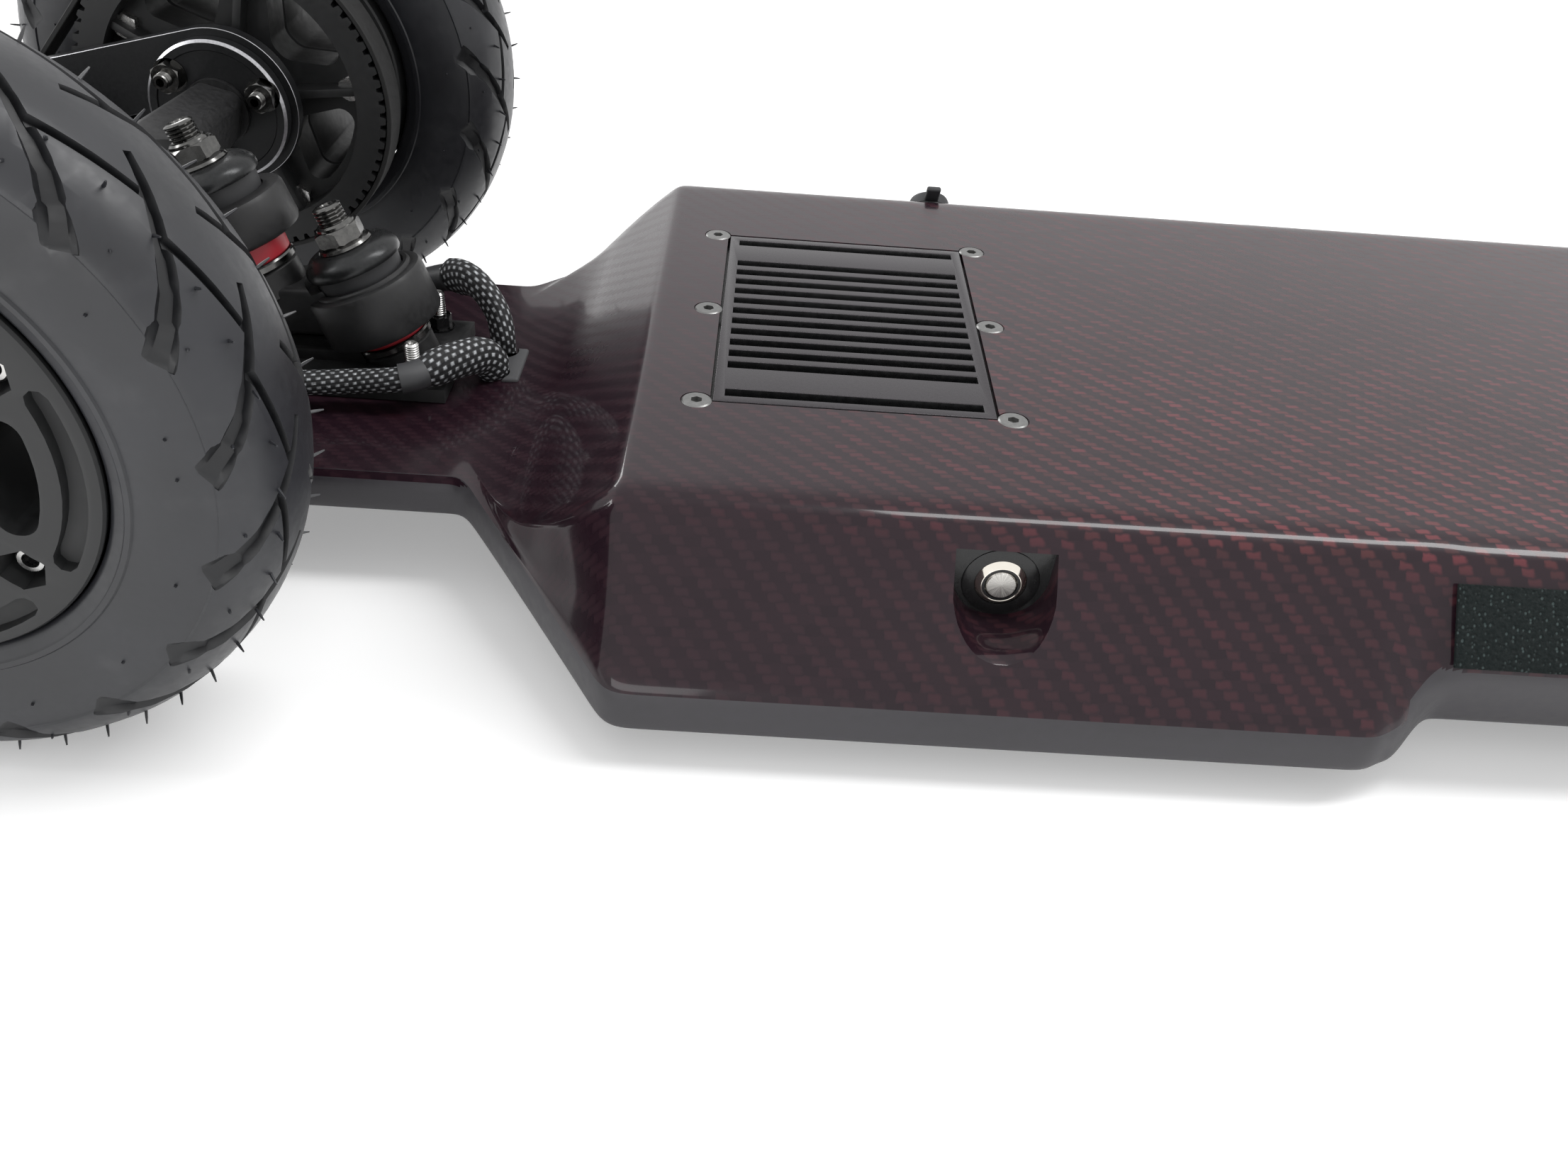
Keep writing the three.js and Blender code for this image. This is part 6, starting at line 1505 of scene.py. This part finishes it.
# %% Baseplate bolts
studs, nuts = [], []
for x, y in BASE_BOLTS:
    stud = lathe("base_stud", thread(2.5, 48.0, 59.5, 0.85) + [(2.5, 47.0), (2.5, RIDE_Z), (0, RIDE_Z)], 28)
    head = socket_screw("base_screw", 4.6, 2.4, 2.5, 2.0, 1.6, sunk=False)
    place(head, at(0, 0, RIDE_Z) @ turn("X", 180))
    studs.append(place(joined("base_bolt", stud, head), at(x - AXLE_X, y, 0)))
    nut = hex_nut("base_nut", 4.6, 46.1, 50.6, 0.6)
    washer = lathe("washer", [(2.6, 45.35), (5.2, 45.35), (5.2, 46.1), (2.6, 46.1)], 36, True)
    nuts.append(place(joined("base_nut", nut, washer), at(x - AXLE_X, y, 0)))
both_ends(joined("base_bolts_drive", *studs), "bright_steel", body="deck", angle=30)
both_ends(joined("base_nuts_drive", *nuts), "black_steel", body="deck", angle=30)
print("axles and bolts ready")

# %% [markdown]
# ## Wheels
# The hub is turned, then sawn through five rounded openings, with a shallow arc slot outside each
# and a hexagon pocket between each pair that shows the bright end of a clamp bolt. It is drawn with
# the outboard face up and laid on the axle afterwards. All four wheels are copies.

# %% Hub
HUB_TURN = -6.0
SLOT_R, SLOT_WIDE = 53, 6
HUB_BOLTS_R = 46.0


def prism(name, outline, low, high, corner=0.0, steps=4):
    """A flat outline raised between two heights, its upright corners rounded."""
    data = bpy.data.meshes.new(name)
    data.from_pydata([(x * MM, y * MM, low * MM) for x, y in outline], [], [tuple(range(len(outline)))])
    made = bpy.data.objects.new(name, data)
    bpy.context.scene.collection.objects.link(made)
    edit(made)
    bpy.ops.mesh.extrude_region_move(TRANSFORM_OT_translate={"value": (0, 0, (high - low) * MM)})
    bpy.ops.mesh.select_all(action="SELECT")
    bpy.ops.mesh.normals_make_consistent(inside=False)
    if corner:
        bpy.ops.mesh.select_all(action="DESELECT")
        cage = bmesh.from_edit_mesh(made.data)
        for edge in cage.edges:
            upright = abs((edge.verts[0].co - edge.verts[1].co).z) > 0.1 * MM
            edge.select = upright and abs(edge.calc_face_angle(0)) > math.radians(25)
        cage.select_flush_mode()
        bmesh.update_edit_mesh(made.data)
        bpy.ops.mesh.bevel(offset=corner * MM, segments=steps, affect="EDGES")
    leave()
    return made


def polar(radius, degrees):
    return (radius * math.cos(math.radians(degrees)), radius * math.sin(math.radians(degrees)))


def opening_cutter(middle, low, high):
    arc = [polar(45.0, middle + a) for a in (-20, -15, -10, -5, 0, 5, 10, 15, 20)]
    foot = [polar(40.0, middle + 24.5), polar(24.0, middle + 9), polar(24.0, middle - 9),
            polar(40.0, middle - 24.5)]
    return prism("opening", arc + foot, low, high, 2.6)


def slot_end(middle, sign):
    """The round end of an arc slot, on the side that sign says."""
    return [polar(SLOT_R + sign * SLOT_WIDE / 2 * math.cos(k), middle + sign * (25 + 3.2 * math.sin(k)))
            for k in (0.8, 1.57, 2.34)]


def arc_cutter(middle, low, high):
    outer = [polar(SLOT_R + SLOT_WIDE / 2, middle + a) for a in range(-25, 26, 5)]
    inner = [polar(SLOT_R - SLOT_WIDE / 2, middle - a) for a in range(-25, 26, 5)]
    return prism("arc_slot", outer + slot_end(middle, 1) + inner + slot_end(middle, -1), low, high)


hub = lathe("hub", [(15.5, 23.6), (46.0, 23.6), (48.4, 23.3), (57.2, 23.5), (59.0, 23.0), (59.6, 22.2),
                    (59.6, 21.2), (58.0, 20.6), (58.0, -23.0), (57.2, -23.6), (14.3, -23.6), (14.3, -12.0),
                    (8.4, -12.0), (8.4, 12.0), (14.3, 12.0), (14.3, 20.0), (15.5, 20.0)], 120, True)
middles = [HUB_TURN + 72 * k for k in range(5)]
cut(hub, joined("openings", *[opening_cutter(m, -30, 30) for m in middles]))
cut(hub, joined("arc_slots", *[arc_cutter(m, 19.6, 30) for m in middles]))
pockets, clamp_bolts = [], []
for m in middles:
    x, y = polar(HUB_BOLTS_R, m + 36)
    pockets.append(place(rod("pocket", 6.2, (0, 0, 12), (0, 0, 30), 6), at(x, y, 0) @ turn("Z", m + 6)))
    clamp = lathe("clamp_bolt", [(2.2, 17.0), (2.2, 19.2), (3.3, 19.2), (3.8, 18.7), (3.8, 11.5), (0, 11.5),
                                 (0, 17.0)], 32)
    clamp_bolts.append(place(clamp, at(x, y, 0)))
cut(hub, joined("pockets", *pockets))
bevelled(hub, 0.7, 2, 40)
clamps = joined("clamp_bolts", *clamp_bolts)
BEARING_HALF = [(8.2, 20.0), (8.4, 19.6), (12.2, 19.6), (12.4, 20.0), (14.0, 20.0), (14.0, 12.0),
                (8.1, 12.0)]
bearings = lathe("bearings", [(6.3, 20.0)] + BEARING_HALF + [(r, -z) for r, z in BEARING_HALF[::-1]]
                 + [(6.3, -20.0)], 64, True)
print("hub", len(hub.data.polygons), "faces")

# %% [markdown]
# ## Tyres
# A road tyre of 200 by 50. The tread repeats eighteen times on each side: a long groove starts near
# the crown, crosses the shoulder and widens down the wall, and a thin groove links each to the next.
# The grooves are cut with small swept bars laid on the surface. A displaced surface was the other
# way, but its groove edges would be soft. Little moulding hairs stand on the shoulders.

# %% Tyre
WALL = [(100.0, 0.0), (99.75, 4.8), (98.9, 9.6), (97.3, 14.6), (94.6, 19.0), (91.2, 22.3), (87.9, 24.1),
        (86.6, 24.4), (86.0, 24.0), (82.0, 24.6), (76.0, 24.9), (70.0, 24.6), (66.5, 24.0), (66.0, 24.5),
        (64.6, 24.3), (64.0, 23.6), (61.8, 22.8), (60.4, 21.6), (60.0, 20.4)]
# The grooves pass over this step of the wall.
WALL_STEP = ((87.9, 24.1), (86.6, 24.4), (86.0, 24.0))
INSIDE = [(60.0, 17.5), (66.0, 18.6), (76.0, 19.4), (86.0, 18.6), (91.5, 13.5), (93.0, 5.0)]
PITCHES = 18
TREAD_TURN = -6.3
SLANT = [  # degrees from its spot, run from the crown, width and depth
    (9.5, 1.8, 1.7, 1.7), (4.2, 8.0, 2.3, 2.2), (0, 13.5, 2.9, 2.3), (-6, 20.5, 3.9, 2.2),
    (-10.5, 27.0, 4.9, 1.9), (-13.9, 32.0, 5.6, 0.0)]
LINK = [(-0.6, 13.2, 1.9, 2.0), (-15.4, 8.6, 1.7, 2.0)]


def on_tyre(degrees, run):
    """A point on the tyre and its outward direction, run millimetres from the crown."""
    left, points = abs(run), [point for point in WALL if point not in WALL_STEP]
    for a, b in zip(points, points[1:]):
        long = math.dist(a, b)
        if left <= long:
            break
        left -= long
    share = min(1.0, left / long)
    radius, across = mix(a[0], b[0], share), mix(a[1], b[1], share)
    out = Vector((b[1] - a[1], a[0] - b[0])).normalized()
    sign = 1 if run >= 0 else -1
    spin = Vector((math.cos(math.radians(degrees)), math.sin(math.radians(degrees)), 0))
    point = spin * radius + Vector((0, 0, sign * across))
    return point, (spin * out.x + Vector((0, 0, sign * out.y))).normalized()


def groove(name, stops, steps=7):
    """A bar along stops of angle, run, width and depth, half sunk in the rubber."""
    rings, line = [], []
    for a, b in zip(stops, stops[1:]):
        for k in range(steps):
            line.append([mix(a[i], b[i], k / steps) for i in range(4)])
    line.append(list(stops[-1]))
    spots = [on_tyre(s[0], s[1]) for s in line]
    for i, ((point, out), stop) in enumerate(zip(spots, line)):
        on_way = (spots[min(i + 1, len(spots) - 1)][0] - spots[max(i - 1, 0)][0]).normalized()
        side = on_way.cross(out).normalized()
        wide, deep = stop[2] / 2, stop[3]
        rise = max(0.0, 0.5 - deep)
        half = ((1.75, rise + 1.6), (1.3, rise), (0.95, rise - 0.4 * abs(deep)), (0.7, rise - deep))
        rings.append([point + side * wide * a + out * b for a, b in half]
                     + [point - side * wide * a + out * b for a, b in half[::-1]])
    return skin(name, rings)


profile = WALL + INSIDE + [(r, -z) for r, z in INSIDE[::-1]] + [(r, -z) for r, z in WALL[:0:-1]]
tyre = lathe("tyre", profile, 144, True)
slants, links = [], []
for k in range(PITCHES):
    for sign, shift in ((1, 0.0), (-1, 10.0)):
        spot = 360 / PITCHES * k + shift + TREAD_TURN
        for made, name, stops, steps in ((slants, "slant", SLANT, 5), (links, "link", LINK, 10)):
            moved = [(spot + a, sign * run, wide, deep) for a, run, wide, deep in stops]
            made.append(groove(name, moved, steps))
# The cut faces of the grooves take the darker groove finish: painted shade in the grooves.
coat(tyre, "tyre", "groove")
for cutter in (joined("slants", *slants), joined("links", *links)):
    coat(cutter, "tyre", "groove")
    for face in cutter.data.polygons:
        face.material_index = 1
    cut(tyre, cutter)
print("tyre", len(tyre.data.polygons), "faces")

points, faces = [], []
HAIRS = 46
HAIR_SIDES = 5
HAIR_ROWS = ((14.5, 3.6, 1), (24.0, 1.1, 2), (38.0, 0.9, 3))
for k in range(HAIRS):
    for sign, shift in ((1, 0.0), (-1, 3.3)):
        for run, lift, every in HAIR_ROWS:
            if k % every:
                continue
            angle = 360 / HAIRS * k + shift + run * 0.2
            root, out = on_tyre(angle, sign * run)
            sway = Vector((math.sin(k * 5.1), math.cos(k * 3.7), 0)) * 0.22
            lean = (out + Vector((0, 0, sign * 0.7)) + sway).normalized()
            a = lean.orthogonal().normalized()
            b = lean.cross(a)
            base = len(points)
            for level, radius in ((-0.6, 0.5), (lift * 0.5, 0.4), (lift, 0.22)):
                for n in range(HAIR_SIDES):
                    turn_at = n * 2 * math.pi / HAIR_SIDES
                    side = a * math.cos(turn_at) + b * math.sin(turn_at)
                    points.append((root + lean * level + side * radius) * MM)
            for low in (base, base + HAIR_SIDES):
                high = low + HAIR_SIDES
                for n in range(HAIR_SIDES):
                    after = (n + 1) % HAIR_SIDES
                    faces.append((low + n, low + after, high + after, high + n))
            faces += [tuple(base + 2 * HAIR_SIDES + n for n in range(HAIR_SIDES)),
                      tuple(base + HAIR_SIDES - 1 - n for n in range(HAIR_SIDES))]
data = bpy.data.meshes.new("hairs")
data.from_pydata(points, [], faces)
data.materials.append(FINISH["tyre"])
hairs = bpy.data.objects.new("hairs", data)
bpy.context.scene.collection.objects.link(hairs)
tyre = joined("tyre", tyre, hairs)

# %% [markdown]
# ## Wheel pulleys
# Both drive wheels carry a moulded pulley of 76 teeth on the inboard side, dished to save weight and
# open behind the hub's openings.

# %% Pulleys
BELT_PITCH = 5
BELT_OVER_TIPS = 0.9
TOOTH_DEEP = 2.1
WHEEL_TEETH, MOTOR_TEETH = 76, 16


def tip_radius(teeth):
    return teeth * BELT_PITCH / (2 * math.pi) - BELT_OVER_TIPS


def toothed(name, teeth, low, high):
    tip = tip_radius(teeth)
    outline = []
    for k in range(teeth):
        for share, radius in ((-0.26, tip - 0.25), (-0.2, tip), (0.2, tip), (0.26, tip - 0.25),
                              (0.36, tip - TOOTH_DEEP), (0.64, tip - TOOTH_DEEP)):
            outline.append(polar(radius, 360 / teeth * (k + share)))
    return prism(name, outline, low, high)


rim = toothed("rim", WHEEL_TEETH, -54.3, -38.7)
cut(rim, rod("hollow", 48.5, (0, 0, -60), (0, 0, -43.7), 96),
    rod("hollow", 17, (0, 0, -60), (0, 0, -30), 64))
cut(rim, joined("openings", *[opening_cutter(m, -60, -30) for m in middles]))
collar = lathe("collar", [(17, -38.9), (48.5, -38.9), (48.5, -25.8), (17, -25.8)], 96, True)
cut(collar, joined("openings", *[opening_cutter(m, -60, -20) for m in middles]))
guard = lathe("guard", [(54.0, -38.7), (60.6, -38.7), (61.0, -38.1), (60.6, -37.4),
                        (54.0, -37.4)], 120, True)
ribs = [place(block("rib", (18, -1.6, -52), (49, 1.6, -43), 0.5), turn("Z", m + 36)) for m in middles]
bolts = []
for m in middles:
    x, y = polar(45.0, m + 36)
    bolts.append(place(hex_nut("clamp_nut", 5.0, -47.6, -43.7, 0.6), at(x, y, 0)))
wheel_pulley = joined("wheel_pulley", rim, collar, guard, *ribs)
pulley_nuts = joined("pulley_nuts", *bolts)

for end, word, x, y, spin in (("drive", "near", -AXLE_X, -WHEEL_Y, 0),
                              ("drive", "far", -AXLE_X, WHEEL_Y, 180),
                              ("free", "near", AXLE_X, -WHEEL_Y, 0), ("free", "far", AXLE_X, WHEEL_Y, 180)):
    frame_of = at(x, y, AXLE_Z) @ turn("Z", spin) @ turn("X", 90)
    tag = end + "_" + word
    done(copied(tyre, "air_tyre_" + tag, frame_of), "tyre", "tyre_" + tag, angle=38, weighted=True)
    done(copied(hub, "wheel_hub_" + tag, frame_of), "black_plastic", "hub_" + tag, angle=30)
    done(copied(bearings, "bearing_pair_" + tag, frame_of), "bright_steel", "wheel_bearings_" + tag)
    done(copied(clamps, "clamp_bolts_" + tag, frame_of), "bright_steel", body="wheel_" + tag)
    if end == "drive":
        done(copied(wheel_pulley, "big_pulley_" + word, frame_of), "black_plastic", "wheel_pulley_" + word)
        done(copied(pulley_nuts, "pulley_nuts_" + word, frame_of), "bright_steel", body="wheel_" + tag)
for item in (tyre, hub, bearings, clamps, wheel_pulley, pulley_nuts):
    bpy.data.objects.remove(item)
print("wheels ready")

# %% [markdown]
# ## Motor plates, motors, belts
# A plate with two round ends reaches back and down from each disc to its motor. Its cut edges are
# bright. The motor is an outrunner: a fixed foot with the windings, and a can that turns with the
# shaft, the small pulley and, through the belt, the wheel.

# %% Drives
MOTOR_DROP = math.radians(14.7)
CENTRES = 84
MOTOR_AT = (-AXLE_X - CENTRES * math.cos(MOTOR_DROP), AXLE_Z - CENTRES * math.sin(MOTOR_DROP))
PLATE_END_R = 28.8
PLATE_INNER, PLATE_OUTER = 85.5, 91.1
MOTOR_SCREWS_R = 12.5
MOTOR_SCREWS = (0.8, 2.37, 3.94, 5.51)
BELT_FROM, BELT_TO = 95.0, 110.2
SHAFT_R = 4.3


def dropped(x, z):
    """A point of a level drive turned down about the axle, as the real one lies."""
    return (x * math.cos(MOTOR_DROP) - z * math.sin(MOTOR_DROP),
            x * math.sin(MOTOR_DROP) + z * math.cos(MOTOR_DROP))


def belt_loop(grow):
    big, small = tip_radius(WHEEL_TEETH) + grow, tip_radius(MOTOR_TEETH) + grow
    open_by = math.acos((big - small) / CENTRES)
    line = []
    for k in range(65):
        angle = math.pi + open_by + k / 64 * (2 * math.pi - 2 * open_by)
        line.append((big * math.cos(angle), big * math.sin(angle)))
    for k in range(25):
        angle = math.pi - open_by + k / 24 * 2 * open_by
        line.append((small * math.cos(angle) - CENTRES, small * math.sin(angle)))
    return [(x - AXLE_X, z + AXLE_Z) for x, z in (dropped(*point) for point in line)]


def drive_hole(radius, x, z, sides):
    return rod("plate_hole", radius, (x, z, 80), (x, z, 95), sides)


for side, word in ((-1, "near"), (1, "far")):
    outline = [polar(PLATE_END_R, a) for a in range(-90, 91, 5)]
    outline += [(x - CENTRES, z) for x, z in (polar(PLATE_END_R, a) for a in range(90, 271, 5))]
    outline = [dropped(x, z) for x, z in outline]
    if side > 0:
        outline = [(x, -z) for x, z in outline][::-1]
    plate = prism("motor_plate_" + word, outline, PLATE_INNER, PLATE_OUTER)
    motor_x, motor_z = MOTOR_AT[0] + AXLE_X, (MOTOR_AT[1] - AXLE_Z) * (1 if side < 0 else -1)
    around = [at(motor_x + MOTOR_SCREWS_R * math.cos(a), motor_z + MOTOR_SCREWS_R * math.sin(a), 0)
              for a in MOTOR_SCREWS]
    cutters = [drive_hole(9.3, 0, 0, 64), drive_hole(8.0, motor_x, motor_z, 64)]
    cutters += [place(drive_hole(2.1, 0, 0, 20), spot) for spot in around]
    slot = rounded("plate_slot", 10.5, 3.2, 3.1, 80, 95, 6)
    towards_motor = turn("Z", math.degrees(math.atan2(motor_z, motor_x)))
    place(slot, at(motor_x * 0.52, motor_z * 0.52, 0) @ towards_motor)
    cut(plate, joined("plate_holes", *cutters), slot)
    bevelled(plate, 0.8, 1, 50)
    coat(plate, "black_anodised", "plate_edge")
    for face in plate.data.polygons:
        face.material_index = 1 if 0.2 < abs(face.normal.z) < 0.95 else 0
    done(crosswise(plate, side), "black_anodised", "motor_mount_" + word)
    heads = [place(socket_screw("motor_screw", 3.5, 2.0, 1.9, 8.0, 1.3, sunk=False),
                   spot @ at(0, 0, PLATE_OUTER)) for spot in around]
    done(crosswise(joined("motor_screws_" + word, *heads), side), "black_steel", body="hanger_drive",
         angle=30)

    def on_motor(item):
        return place(item, at(MOTOR_AT[0], side * 85.2, MOTOR_AT[1]) @ turn("X", -90 if side < 0 else 90))

    foot = lathe("motor_foot_" + word, [
        (SHAFT_R, 0.3), (30.2, 0.3), (31.2, 1.3), (31.2, 6.6), (30.6, 7.3), (26.0, 7.3), (26.0, 60.0),
        (22.0, 63.0), (SHAFT_R, 63.0)], 72, True)
    done(on_motor(foot), "black_anodised", "motor_base_" + word)
    can = lathe("motor_bell_" + word, [
        (0, -26.0), (4.0, -26.0), (4.0, 64.0), (27.4, 66.0), (28.5, 60.0), (28.5, 7.9), (31.5, 7.9),
        (31.5, 10.5), (31.1, 11.0), (31.1, 13.0), (31.5, 13.5), (31.5, 62.0), (30.9, 65.5), (28.5, 69.0),
        (26.0, 70.0), (10.0, 70.0), (9.0, 69.4), (0, 69.4)], 96)
    vent_outline = [polar(24.5, a) for a in range(-14, 15, 7)] + [polar(13.0, 7), polar(13.0, -7)]
    vents = [place(prism("vent", vent_outline, 60, 75, 1.5, 3), turn("Z", 45 * k)) for k in range(8)]
    cut(can, joined("vents", *vents))
    done(on_motor(can), "black_anodised", "motor_can_" + word, angle=28)
    coil = lathe("motor_coil_" + word, [(12.0, 63.0), (12.6, 64.6), (22.4, 64.6), (23.4, 63.0)], 60, True)
    done(on_motor(coil), "copper", body="hanger_drive")

    small = toothed("small_pulley_" + word, MOTOR_TEETH, 94.2, 111.0)
    flanges = [lathe("flange", [(SHAFT_R, low), (14.6, low), (15.0, low + 0.4), (15.0, low + 0.9),
                                (14.6, low + 1.2), (SHAFT_R, low + 1.2)], 56, True)
               for low in (93.0, 111.0)]
    small = joined("small_pulley_" + word, small, *flanges)
    cut(small, rod("bore", SHAFT_R, (0, 0, 90), (0, 0, 120), 40))
    place(small, at(MOTOR_AT[0], 0, MOTOR_AT[1]) @ turn("X", 90 if side < 0 else -90))
    done(small, "bright_steel", "motor_pulley_" + word)

    inner, outer = belt_loop(0.35), belt_loop(2.15)
    rings = [[(a[0], side * BELT_TO, a[1]), (b[0], side * BELT_TO, b[1]),
              (b[0], side * BELT_FROM, b[1]), (a[0], side * BELT_FROM, a[1])] for a, b in zip(inner, outer)]
    belt = skin("toothed_belt_" + word, rings, closed=True)
    bevelled(belt, 0.25, 1, 60)
    done(belt, "belt_rubber", "drive_belt_" + word)
print("drives ready")

# %% [markdown]
# ## Sizes
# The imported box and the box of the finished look, kept for the record.

# %% Sizes
low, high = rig.bounds()
sizes = {"cad": [list(cad_low), list(cad_high)], "visual": [list(low), list(high)]}
with open("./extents.json", "w") as target:
    json.dump(sizes, target, indent=1)
print(sizes)
